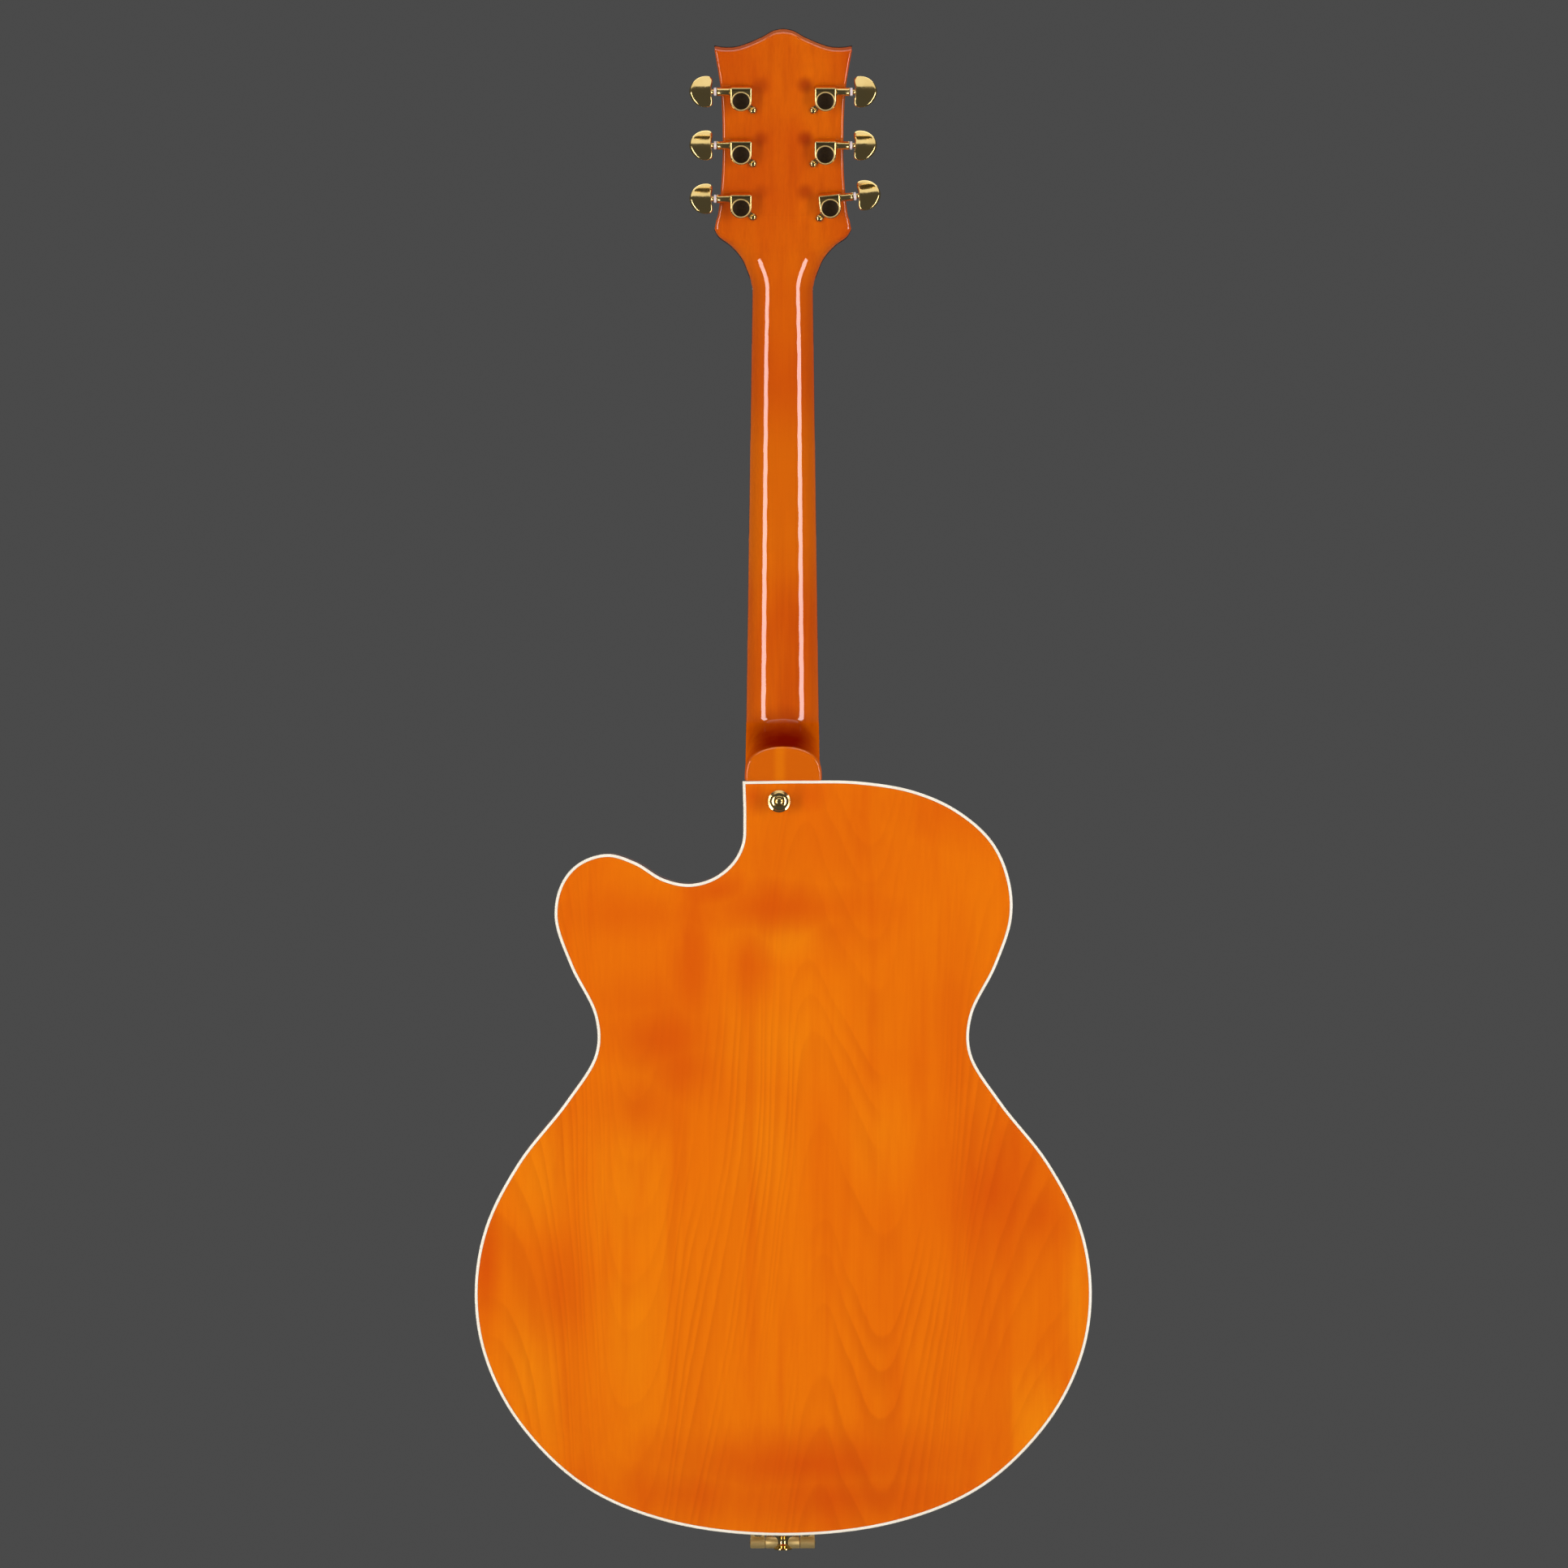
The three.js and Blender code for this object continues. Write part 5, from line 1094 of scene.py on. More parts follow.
# %% A helper for Geometry Nodes trees
class Recipe:
    """A Geometry Nodes tree with named inputs, run once and turned into plain mesh."""

    def __init__(self, name):
        self.group = bpy.data.node_groups.new(name, "GeometryNodeTree")
        self.group.interface.new_socket("Geometry", in_out="INPUT", socket_type="NodeSocketGeometry")
        self.group.interface.new_socket("Geometry", in_out="OUTPUT", socket_type="NodeSocketGeometry")
        self.start = self.group.nodes.new("NodeGroupInput")
        self.values = {}

    def size(self, name, kind, value):
        """A named input; kind is Float, Int, Object or Material."""
        socket = self.group.interface.new_socket(name, in_out="INPUT",
                                                 socket_type="NodeSocket" + kind)
        self.values[socket.identifier] = value
        return self.start.outputs[name]

    def add(self, kind, *inputs, **settings):
        return fill_node(self.group.nodes.new(kind), self.group.links, inputs, settings)

    def maths(self, operation, *inputs):
        return self.add("ShaderNodeMath", *inputs, operation=operation).outputs[0]

    def run(self, geometry_out, finish, name, start_mesh=None):
        """Ends the tree in Realize Instances and Set Material, runs it and returns the piece."""
        coat = self.size("Finish", "Material", FINISHES[finish])
        real = self.add("GeometryNodeRealizeInstances", geometry_out)
        dressed = self.add("GeometryNodeSetMaterial", ("Geometry", real.outputs[0]), ("Material", coat))
        end = self.group.nodes.new("NodeGroupOutput")
        self.group.links.new(dressed.outputs[0], end.inputs[0])
        piece = bpy.data.objects.new(name, start_mesh or bpy.data.meshes.new(name))
        bpy.context.collection.objects.link(piece)
        modifier = piece.modifiers.new(name, "NODES")
        modifier.node_group = self.group
        for identifier, value in self.values.items():
            modifier[identifier] = value
        return apply_modifiers(piece)


# %% Frets
def fret_wires():
    tree = Recipe("fret_wires")
    count = tree.size("Frets", "Int", FRETS)
    scale = tree.size("String Length", "Float", SCALE)
    half_at_nut = tree.size("Half Width At Nut", "Float", NUT_WIDTH / 2)
    taper = tree.size("Taper", "Float", (JOIN_WIDTH - NUT_WIDTH) / 2 / JOIN)
    crown = tree.size("Crown Radius", "Float", CROWN_RADIUS)
    wire = tree.size("Wire Radius", "Float", 1.08 * MM)
    line = tree.add("GeometryNodeMeshLine", ("Count", count), mode="OFFSET")
    number = tree.maths("ADD", tree.add("GeometryNodeInputIndex").outputs[0], 1.0)
    share = tree.maths("POWER", 2.0, tree.maths("DIVIDE", number, -12.0))
    away = tree.maths("MULTIPLY", scale, tree.maths("SUBTRACT", 1.0, share))
    place = tree.add("ShaderNodeCombineXYZ", 0.0, 0.0, tree.maths("MULTIPLY", away, -1.0))
    points = tree.add("GeometryNodeSetPosition", ("Geometry", line.outputs[0]),
                      ("Position", place.outputs[0]))
    straight = tree.add("GeometryNodeCurvePrimitiveLine", ("Start", (-1, 0, 0)), ("End", (1, 0, 0)))
    fine = tree.add("GeometryNodeResampleCurve", ("Curve", straight.outputs[0]), ("Count", 17))
    reach = tree.maths("MULTIPLY_ADD", away, taper, half_at_nut)
    size = tree.add("ShaderNodeCombineXYZ", reach, 1.0, 1.0)
    wires = tree.add("GeometryNodeInstanceOnPoints", ("Points", points.outputs[0]),
                     ("Instance", fine.outputs[0]), ("Scale", size.outputs[0]))
    loose = tree.add("GeometryNodeRealizeInstances", wires.outputs[0])
    x = tree.add("ShaderNodeSeparateXYZ", tree.add("GeometryNodeInputPosition").outputs[0]).outputs[0]
    fall = tree.maths("DIVIDE", tree.maths("MULTIPLY", x, x), tree.maths("MULTIPLY", crown, 2.0))
    bent = tree.add("GeometryNodeSetPosition", ("Geometry", loose.outputs[0]), (
        "Offset", tree.add("ShaderNodeCombineXYZ", 0.0, fall, 0.0).outputs[0]))
    bead = tree.add("GeometryNodeCurvePrimitiveCircle", ("Resolution", 12), ("Radius", wire))
    solid = tree.add("GeometryNodeCurveToMesh", ("Curve", bent.outputs[0]),
                     ("Profile Curve", bead.outputs[0]), ("Fill Caps", True))
    piece = tree.run(solid.outputs[0], "steel", "fret_wires")
    piece.data.transform(TO_NECK)
    piece.data.shade_smooth()
    return finish_piece(piece, "steel")


frets = fret_wires()
print("frets:", FRETS, "wires,", len(frets.data.polygons), "faces")


# %% [markdown]
# Position dots are set into the board and screws hold the hardware. Both are one small shape on
# many places, so a second tree sets any shape on the points of a mesh and turns it to each
# point's own direction.


# %% Shapes set on places
def shape_object(name, points, faces):
    shape = mesh_object(name, points, faces)
    bpy.context.collection.objects.unlink(shape)
    return shape


def set_on_places(name, shape, places, finish, body="guitar"):
    """places is a list of (point, outward direction); the shape's +Y points outward."""
    tree = Recipe(name)
    pattern = tree.size("Shape", "Object", shape)
    points = bpy.data.meshes.new(name)
    points.from_pydata([tuple(p) for p, _ in places], [], [])
    facing = points.attributes.new("facing", "FLOAT_VECTOR", "POINT")
    for entry, (_, direction) in zip(facing.data, places):
        entry.vector = Vector(direction).normalized()
    info = tree.add("GeometryNodeObjectInfo", ("Object", pattern))
    outward = tree.add("GeometryNodeInputNamedAttribute", ("Name", "facing"), data_type="FLOAT_VECTOR")
    turn = tree.add("FunctionNodeAlignRotationToVector", ("Vector", outward.outputs[0]), axis="Y")
    spots = tree.add("GeometryNodeInstanceOnPoints", ("Points", tree.start.outputs[0]),
                     ("Instance", info.outputs["Geometry"]), ("Rotation", turn.outputs[0]))
    piece = tree.run(spots.outputs[0], finish, name, points)
    piece.data.shade_smooth()
    piece.data.set_sharp_from_angle(angle=math.radians(35))
    return finish_piece(piece, finish, body=body)


def screw_shape(name, radius, height, slot, cross=True):
    """A domed head with a cross or one slot cut into it."""
    dome = [(0, -0.3 * height), (radius, -0.3 * height), (radius, 0.1 * height)]
    dome += [(radius * math.cos(math.pi / 2 * k / 5), 0.1 * height + 0.9 * height
              * math.sin(math.pi / 2 * k / 5)) for k in range(1, 5)] + [(0, height)]
    head = mesh_object(name, *lathe(dome, 20))
    grooves = [(slot, radius * 1.3), (radius * 1.3, slot)] if cross else [(slot, radius * 2.2)]
    for wide, long in grooves:
        carve(head, loft([[Vector((x * wide / 2, y, z * long / 2))
                           for x, z in ((-1, -1), (1, -1), (1, 1), (-1, 1))]
                          for y in (0.45 * height, 1.6 * height)]))
    bpy.context.collection.objects.unlink(head)
    return head


def set_around(name, shape, count, radius, finish, body, place):
    """Sets a shape on a circle round +Y; the shape's +X points out."""
    tree = Recipe(name)
    pattern = tree.size("Shape", "Object", shape)
    number = tree.size("Count", "Int", count)
    reach = tree.size("Radius", "Float", radius)
    line = tree.add("GeometryNodeMeshLine", ("Count", number), mode="OFFSET")
    index = tree.add("GeometryNodeInputIndex").outputs[0]
    angle = tree.maths("MULTIPLY", tree.maths("DIVIDE", index, number), 2 * math.pi)
    spot = tree.add("ShaderNodeCombineXYZ", tree.maths("MULTIPLY", reach, tree.maths("COSINE", angle)),
                    0.0, tree.maths("MULTIPLY", reach, tree.maths("SINE", angle)))
    points = tree.add("GeometryNodeSetPosition", ("Geometry", line.outputs[0]),
                      ("Position", spot.outputs[0]))
    turn = tree.add("FunctionNodeEulerToRotation", tree.add(
        "ShaderNodeCombineXYZ", 0.0, tree.maths("MULTIPLY", angle, -1.0), 0.0).outputs[0])
    info = tree.add("GeometryNodeObjectInfo", ("Object", pattern))
    ring = tree.add("GeometryNodeInstanceOnPoints", ("Points", points.outputs[0]),
                    ("Instance", info.outputs["Geometry"]), ("Rotation", turn.outputs[0]))
    piece = tree.run(ring.outputs[0], finish, name)
    piece.data.transform(place)
    return finish_piece(piece, finish, body=body)


def ridge_shape(name, depth, width, length):
    """A ridge along Y whose edge points to +X."""
    half = width / 2
    section = [(-depth, -half), (0, -half), (depth, 0), (0, half), (-depth, half)]
    return shape_object(name, *loft([[Vector((x, y, z)) for x, z in section]
                                     for y in (-length / 2, length / 2)]))


DOT_FRETS = (3, 5, 7, 9, 12, 12, 15, 17, 19, 21)
DOT_RADIUS, DOT_HEIGHT = 3.2 * MM, 0.12 * MM
dot_places = []
for k, fret in enumerate(DOT_FRETS):
    z = -SCALE * (1 - (2 ** (-fret / 12) + 2 ** (-(fret - 1) / 12)) / 2)
    twin = 9 * MM * (1 if DOT_FRETS.index(fret) == k else -1) if fret == 12 else 0
    place = Vector((twin, twin * twin / 2 / CROWN_RADIUS, z))
    dot_places.append((TO_NECK @ place, TO_NECK.to_3x3() @ Vector((twin / -CROWN_RADIUS, -1, 0))))
dot = shape_object("pearl_dot", *lathe([(0, -1 * MM), (DOT_RADIUS, -1 * MM), (DOT_RADIUS, DOT_HEIGHT),
                                        (0, DOT_HEIGHT * 1.5)], 24))
set_on_places("position_dots", dot, dot_places, "bone")
print("dots:", len(dot_places))

# %% [markdown]
# ## Headstock face and tuners
# The face is a dark veneer with the truss rod's cover on it. Both are flat outlines with some
# thickness. An extruded curve could make them; a stack of outlines, each drawn in a little
# further, also gives the eased edge that catches the light.


# %% Veneer and rod cover
veneer_loop = head_loop(head_line(HEAD_TOP), head_line(HEAD_SIDE, 5), head_line(HEAD_FLARE[:-1]))
make_piece("face_veneer", moved(stacked(
    veneer_loop, [(0.5 * MM, 0), (0.1 * MM, 0.3 * MM), (0, 0.6 * MM), (0, VENEER)]), TO_HEAD),
    "veneer", "headstock_veneer")
COVER_SHARES = [(0.5, 0), (0.46, 0.3), (0.24, 0.55), (0.18, 0.85), (0, 1)]
COVER_WIDTH, COVER_LENGTH, COVER_START, COVER_THICK = 26 * MM, 40 * MM, 3 * MM, 1.8 * MM
cover_side = smooth_line(COVER_SHARES, 6) * np.array([COVER_WIDTH, COVER_LENGTH])
cover_side += np.array([0, COVER_START])
cover_loop = np.concatenate([cover_side, (cover_side * np.array([-1, 1]))[-2::-1]])
cover_top = -GLUE - COVER_THICK
make_piece("rod_cover", moved(stacked(cover_loop, [
    (1.0 * MM, cover_top), (0.6 * MM, cover_top + 0.15 * MM), (0, cover_top + 0.7 * MM), (0, -GLUE)]),
    TO_HEAD), "black_plastic", "truss_rod_cover")

# %% [markdown]
# A tuner is a closed D-shaped housing with a round gear cap, a barrel for the worm, a screw ear
# and a bush through the wood. Its key carries a half-moon button, whose crowned faces mirror the
# light above and the dark room below. Most of its parts are turned on a lathe, so a profile spun
# round an axis makes them. One tuner is built at the origin and then set six times, and a
# negative scale mirrors it for the other side.

# %% Tuner parts
TUNER_REACH, TUNER_FIRST, TUNER_PITCH, LAST_SHIFT = 29.6 * MM, 59.2 * MM, 38.4 * MM, 3.6 * MM
TUNER_ORDER = [(1, 0), (1, 1), (1, 2), (-1, 2), (-1, 1), (-1, 0)]
LAST_TWIST = math.radians(6)
HOUSING_HALF, HOUSING_TOP, HOUSING_DEPTH = 7.7 * MM, 9.4 * MM, 9 * MM
CAP_RADIUS, CAP_HEIGHT = 6.9 * MM, 0.8 * MM
CAP_TOP = HOUSING_DEPTH + CAP_HEIGHT
CAP_RECESS = 0.3 * MM
WORM_UP, WORM_OUT = 5.8 * MM, 4.8 * MM
BARREL_RADIUS, BARREL_END = 2.85 * MM, 17 * MM
WASHER_RADIUS, WASHER_LENGTH = 2.9 * MM, 1.7 * MM
EAR_PLACE, EAR_RADIUS, EAR_THICK = 8.4 * MM, 2.6 * MM, 1.6 * MM
BUTTON_WIDTH, BUTTON_HALF, BUTTON_THICK, BUTTON_NECK = 16.3 * MM, 11.35 * MM, 7 * MM, 1.1 * MM
BUTTON_SHARES = [(0.03, 0), (0.03, 0.3), (0, 0.55), (0.02, 0.86), (0.14, 0.985), (0.36, 1), (0.62, 0.88),
                 (0.86, 0.56), (0.98, 0.2), (1, 0)]
ALONG_X = Matrix.Rotation(-math.pi / 2, 4, "Z")
WORM_PLACE = Matrix.Translation((0, WORM_OUT, WORM_UP)) @ ALONG_X


def post_x(k):
    """Where a post stands across the head; the last one was set a little further out."""
    return TUNER_ORDER[k][0] * (TUNER_REACH + (LAST_SHIFT if k == 5 else 0))


def tuner_housing():
    arc = [(HOUSING_HALF * math.cos(math.pi * (1 + k / 20)), HOUSING_HALF * math.sin(
        math.pi * (1 + k / 20))) for k in range(21)]
    corner = 1.2 * MM
    dee = arc + [(HOUSING_HALF - corner + corner * math.cos(math.pi / 2 * k / 4),
                  HOUSING_TOP - corner + corner * math.sin(math.pi / 2 * k / 4)) for k in range(5)]
    dee += [(-HOUSING_HALF + corner - corner * math.sin(math.pi / 2 * k / 4),
             HOUSING_TOP - corner + corner * math.cos(math.pi / 2 * k / 4)) for k in range(5)]
    dee = np.array(dee)
    block = stacked(dee, rounded_levels(GLUE, HOUSING_DEPTH, 1.1 * MM)
                    + [(2.2 * MM, HOUSING_DEPTH + 0.12 * MM)])
    cap_foot, cap_face = CAP_TOP - 1.2 * MM, CAP_TOP - CAP_RECESS
    cap = lathe([(0, cap_foot), (CAP_RADIUS, cap_foot), (CAP_RADIUS, cap_face), (0, cap_face)], 48)
    r = BARREL_RADIUS
    barrel = moved(lathe([(0, 2 * MM), (r + 0.25 * MM, 2 * MM), (r + 0.25 * MM, HOUSING_HALF + 0.5 * MM),
                          (r, HOUSING_HALF + 0.8 * MM), (r, BARREL_END - 1.2 * MM),
                          (r + 0.2 * MM, BARREL_END - 0.9 * MM), (r + 0.2 * MM, BARREL_END - 0.2 * MM),
                          (r, BARREL_END), (1.9 * MM, BARREL_END), (1.9 * MM, 6 * MM), (0, 6 * MM)], 32),
                   WORM_PLACE)
    ear = moved(lathe([(0, GLUE), (EAR_RADIUS, GLUE), (EAR_RADIUS, EAR_THICK - 0.3 * MM),
                       (EAR_RADIUS - 0.3 * MM, EAR_THICK), (0, EAR_THICK)], 24),
                Matrix.Translation((-EAR_PLACE, 0, -EAR_PLACE)))
    half = EAR_RADIUS * 0.62
    arm = [(-EAR_PLACE - half, -EAR_PLACE + half), (-EAR_PLACE + half, -EAR_PLACE - half),
           (-2 * MM, -4 * MM), (-4 * MM, -2 * MM)]
    arm = loft([[Vector((x, y, z)) for x, z in arm] for y in (GLUE, EAR_THICK - 0.15 * MM)])
    back = -HEAD_BACK - GLUE
    bush = lathe([(3.5 * MM, 1 * MM), (4.6 * MM, 1 * MM), (4.6 * MM, back), (6.5 * MM, back),
                  (6.5 * MM, back - 0.5 * MM), (6.2 * MM, back - 0.8 * MM), (5.2 * MM, back - 1.0 * MM),
                  (5.0 * MM, back - 1.6 * MM), (4.6 * MM, back - 1.8 * MM), (3.5 * MM, back - 1.8 * MM),
                  (3.5 * MM, 1 * MM)], 40)
    return merged(block, cap, barrel, ear, arm, bush)


def tuner_button():
    start = BARREL_END + GLUE + WASHER_LENGTH + BUTTON_NECK
    half = smooth_line(BUTTON_SHARES, 5)
    loop = np.concatenate([half, (half * np.array([1, -1]))[-2:0:-1]])
    loop = loop * np.array([BUTTON_WIDTH, BUTTON_HALF]) + np.array([start, 0])
    centre = np.array([start + 0.42 * BUTTON_WIDTH, 0])
    edge, crown = 0.22, 0.78
    rings = []
    steps = [0.02, 0.2, 0.4, 0.55, 0.7, 0.8, 0.88, 0.93, 0.96, 0.98, 0.993, 1.0]
    for sign, shares in ((-1, steps), (1, steps[::-1])):
        for share in shares:
            lip = max(share - 0.955, 0) / 0.045
            rim = edge * math.sqrt(max(1 - lip ** 2, 0))
            ring = []
            for p in centre + (loop - centre) * share:
                bulge = crown * (1 - (p[1] / BUTTON_HALF) ** 2) * (1 - share ** 24)
                ring.append(Vector((p[0], sign * BUTTON_THICK / 2 * (rim + bulge), p[1])))
            rings.append(ring)
    keep = rings[:len(steps)] + rings[len(steps) + 1:]
    return loft(keep)


def tuner_key(turn):
    start = BARREL_END + GLUE
    stem = start + WASHER_LENGTH + BUTTON_NECK
    shaft = moved(lathe([
        (0, 8 * MM), (1.3 * MM, 8 * MM), (1.3 * MM, start + 0.1 * MM),
        (1.8 * MM, start + WASHER_LENGTH - 0.1 * MM), (1.8 * MM, stem + 0.5 * MM),
        (2.3 * MM, stem + 1.2 * MM), (1.6 * MM, stem + 4 * MM), (0, stem + 4 * MM)], 24), WORM_PLACE)
    button = moved(tuner_button(), Matrix.Translation((0, WORM_OUT, WORM_UP))
                   @ Matrix.Rotation(math.radians(turn), 4, "X"))
    return merged(shaft, button)


def key_washer():
    start = BARREL_END + GLUE
    end = start + WASHER_LENGTH
    r = WASHER_RADIUS
    return moved(lathe([
        (1.2 * MM, start), (r - 0.2 * MM, start), (r, start + 0.25 * MM), (r, end - 0.25 * MM),
        (r - 0.2 * MM, end), (1.2 * MM, end), (1.2 * MM, start)], 28), WORM_PLACE)


def string_post():
    low, top = -HEAD_BACK - 4.5 * MM, -HEAD_BACK - 17 * MM
    return lathe([
        (0, 5.7 * MM), (3 * MM, 5.7 * MM), (3 * MM, low), (2.5 * MM, low - 1 * MM),
        (2.42 * MM, (low + top) / 2), (2.5 * MM, top + 4 * MM), (3 * MM, top + 3 * MM),
        (3 * MM, top + 0.4 * MM), (2.6 * MM, top), (1.0 * MM, top + 0.1 * MM), (0, top + 0.5 * MM)], 32)


ear_screw = screw_shape("ear_screw", 2.2 * MM, 1.2 * MM, 0.5 * MM)
# A dark disc on each gear cap's face stands in for the shade there: painted shade.
cap_disc = shape_object("cap_disc", *lathe([
    (0, -0.2 * MM), (CAP_RADIUS - 0.95 * MM, -0.2 * MM), (CAP_RADIUS - 1.0 * MM, 0.02 * MM),
    (CAP_RADIUS - 1.2 * MM, 0.1 * MM), (0, 0.12 * MM)], 44))
# How far each row's buttons are turned round their shafts, in degrees.
cap_ring = shape_object("cap_ring", *lathe([
    (CAP_RADIUS - 0.5 * MM + 0.45 * MM * math.cos(a), 0.1 * MM + 0.4 * MM * math.sin(a))
    for a in (2 * math.pi * n / 12 for n in range(13))], 44))
BUTTON_TURNS = (36, 38, 30)
ear_places, cap_places = [], []
for k, (side, row) in enumerate(TUNER_ORDER):
    twist = LAST_TWIST if k == 5 else 0
    seat = (TO_HEAD @ Matrix.Translation((post_x(k), HEAD_BACK, TUNER_FIRST + row * TUNER_PITCH))
            @ Matrix.Rotation(twist, 4, "Y") @ Matrix.Diagonal((side, 1, 1, 1)))
    number = k + 1
    make_piece(f"housing_{number}", moved(tuner_housing(), seat), "gold", f"tuner_housing_{number}")
    make_piece(f"key_and_button_{number}", moved(tuner_key(BUTTON_TURNS[row]), seat), "gold",
               f"tuner_key_{number}", smooth_angle=40)
    make_piece(f"key_washer_{number}", moved(key_washer(), seat), "nylon",
               body=BODY_OF[f"tuner_key_{number}"])
    make_piece(f"winding_post_{number}", moved(string_post(), seat), "gold", f"string_post_{number}")
    outward = seat.to_3x3() @ Vector((0, 1, 0))
    ear_places.append((seat @ Vector((-EAR_PLACE, EAR_THICK, -EAR_PLACE)), outward))
    cap_places.append((seat @ Vector((0, CAP_TOP - CAP_RECESS, 0)), outward))
set_on_places("tuner_screws", ear_screw, ear_places, "gold")
set_on_places("gear_cap_discs", cap_disc, cap_places, "cap_disc")
set_on_places("gear_cap_rings", cap_ring, cap_places, "satin_gold")
print("tuners:", len(TUNER_ORDER))

# %% [markdown]
# ## Strings
# Each string winds once round its post, passes over the nut and the saddle and ends in a ball
# behind the tailpiece's bar. The three thicker ones are wound, which their finish shows. A curve
# with a bevel would do for the straight run. Here a tube follows the points, because the
# winding, the run and the ball are then one closed skin, and its section never twists.


# %% Strings
STRING_SIZES = [d * MM for d in (0.28, 0.36, 0.46, 0.66, 0.91, 1.17)]
NUT_SPACING, BRIDGE_SPACING = 7.1 * MM, 10.2 * MM
NUT_ACTION, BRIDGE_ACTION = 1.5 * MM, 5 * MM
POST_WAIST, WINDING_HEIGHT, WINDING_GAP, RUN_GAP = 2.5 * MM, 9 * MM, 0.5 * MM, 0.35 * MM
BAR_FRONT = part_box("tailpiece")[1][2]
BAR_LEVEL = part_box("tailpiece")[0][1] + 4 * MM
BAR_LENGTH, BAR_LEAD = 8 * MM, 1 * MM
BALL_RADIUS, BALL_LENGTH = 1.9 * MM, 3 * MM


def string_x(k, spacing):
    return (2.5 - k) * spacing


def spacing_at(distance):
    return NUT_SPACING + (BRIDGE_SPACING - NUT_SPACING) * distance / SCALE


def over_neck(k, distance, radius, forward=0.0):
    """A string's middle at a distance from the nut, in the guitar's own frame."""
    x = string_x(k, spacing_at(distance))
    action = NUT_ACTION + (BRIDGE_ACTION - NUT_ACTION) * distance / SCALE
    return TO_NECK @ Vector((x, x * x / 2 / CROWN_RADIUS - action - radius, forward - distance))


def winding(k, radius, steps=48):
    side, row = TUNER_ORDER[k]
    middle = np.array([post_x(k), TUNER_FIRST + row * TUNER_PITCH])
    around = POST_WAIST + RUN_GAP + radius
    towards = np.array([string_x(k, NUT_SPACING), 0]) - middle
    touch = math.atan2(towards[1], towards[0]) - side * math.acos(around / np.linalg.norm(towards))
    points = []
    for n in range(steps, -1, -1):
        angle = touch - side * n / steps * 2 * math.pi
        lift = -WINDING_HEIGHT + n / steps * (2 * radius + WINDING_GAP)
        points.append(TO_HEAD @ Vector((middle[0] + around * math.cos(angle), lift,
                                        middle[1] + around * math.sin(angle))))
    return points


for k, size in enumerate(STRING_SIZES):
    radius = size / 2
    saddle_point = over_neck(k, SCALE, radius)
    anchor = Vector((saddle_point.x, BAR_LEVEL, BAR_FRONT - BAR_LENGTH - GLUE))
    route = winding(k, radius) + [
        over_neck(k, 0, radius, NUT_LENGTH), over_neck(k, 0, radius), saddle_point,
        Vector((saddle_point.x, BAR_LEVEL, BAR_FRONT + BAR_LEAD)), anchor]
    ball = [anchor - Vector((0, 0, d))
            for d in (0.05 * MM, 0.5 * MM, BALL_LENGTH - 0.5 * MM, BALL_LENGTH)]
    radii = [radius] * len(route) + [BALL_RADIUS * 0.8, BALL_RADIUS, BALL_RADIUS, BALL_RADIUS * 0.8]
    make_piece(f"tuned_string_{k + 1}", tube(route + ball, radii, 10), "wound" if k > 2 else "steel",
               f"string_{k + 1}", smooth_angle=50)
print("strings:", len(STRING_SIZES))

# %% [markdown]
# ## Bridge
# The base is carved to the arch of the top. Two threaded studs carry knurled wheels, which raise
# the saddle; on the saddle six small inserts stand in a staggered row, each with its own screw.

# %% Bridge
BASE_HALF, BASE_WIDTH, STUD_REACH, STUD_RADIUS = 75 * MM, 12 * MM, 34 * MM, 2 * MM
BASE_SHARES = [(0, 0), (0.56, 0), (0.62, 0.04), (0.67, 0.24), (0.72, 0.5), (0.8, 0.63), (0.9, 0.7),
               (1, 0.76)]
BASE_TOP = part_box("bridge_base")[0][1] + 8 * MM
SADDLE_HALF, SADDLE_WIDTH = 42 * MM, 8 * MM
SADDLE_TOP, SADDLE_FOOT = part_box("bridge_saddle")[0][1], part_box("bridge_saddle")[1][1]
INSERT_RISE = 1.9 * MM


def face_level(places):
    """The outer face of the top at an array of (x, z)."""
    return FACE_EDGE - arch_height(places, TOP_ARCH)


def bridge_base():
    rise = FACE_EDGE - TOP_ARCH - BASE_TOP
    side = smooth_line(BASE_SHARES, 5)
    line = np.concatenate([(side * np.array([-1, 1]))[:0:-1], side])
    rings = []
    for share, drop in line:
        x = share * BASE_HALF
        end = max(abs(x) - BASE_HALF + BASE_WIDTH / 2, 0) / (BASE_WIDTH / 2)
        half = BASE_WIDTH / 2 * math.sqrt(max(1 - end ** 2, 0.02))
        soft = min(1.4 * MM, half * 0.6)
        top = BASE_TOP + drop * rise
        under = [(s * half, face_level([(x, BRIDGE_Z + s * half)])[0] - GLUE) for s in (-1, 0, 1)]
        over = [(half, top + soft), (half - soft * 0.3, top + soft * 0.3), (half - soft, top),
                (soft - half, top), (soft * 0.3 - half, top + soft * 0.3), (-half, top + soft)]
        rings.append([Vector((x, y, BRIDGE_Z + z)) for z, y in under + over])
    return loft(rings)


def saddle_top(x):
    return SADDLE_TOP + x * x / 2 / CROWN_RADIUS


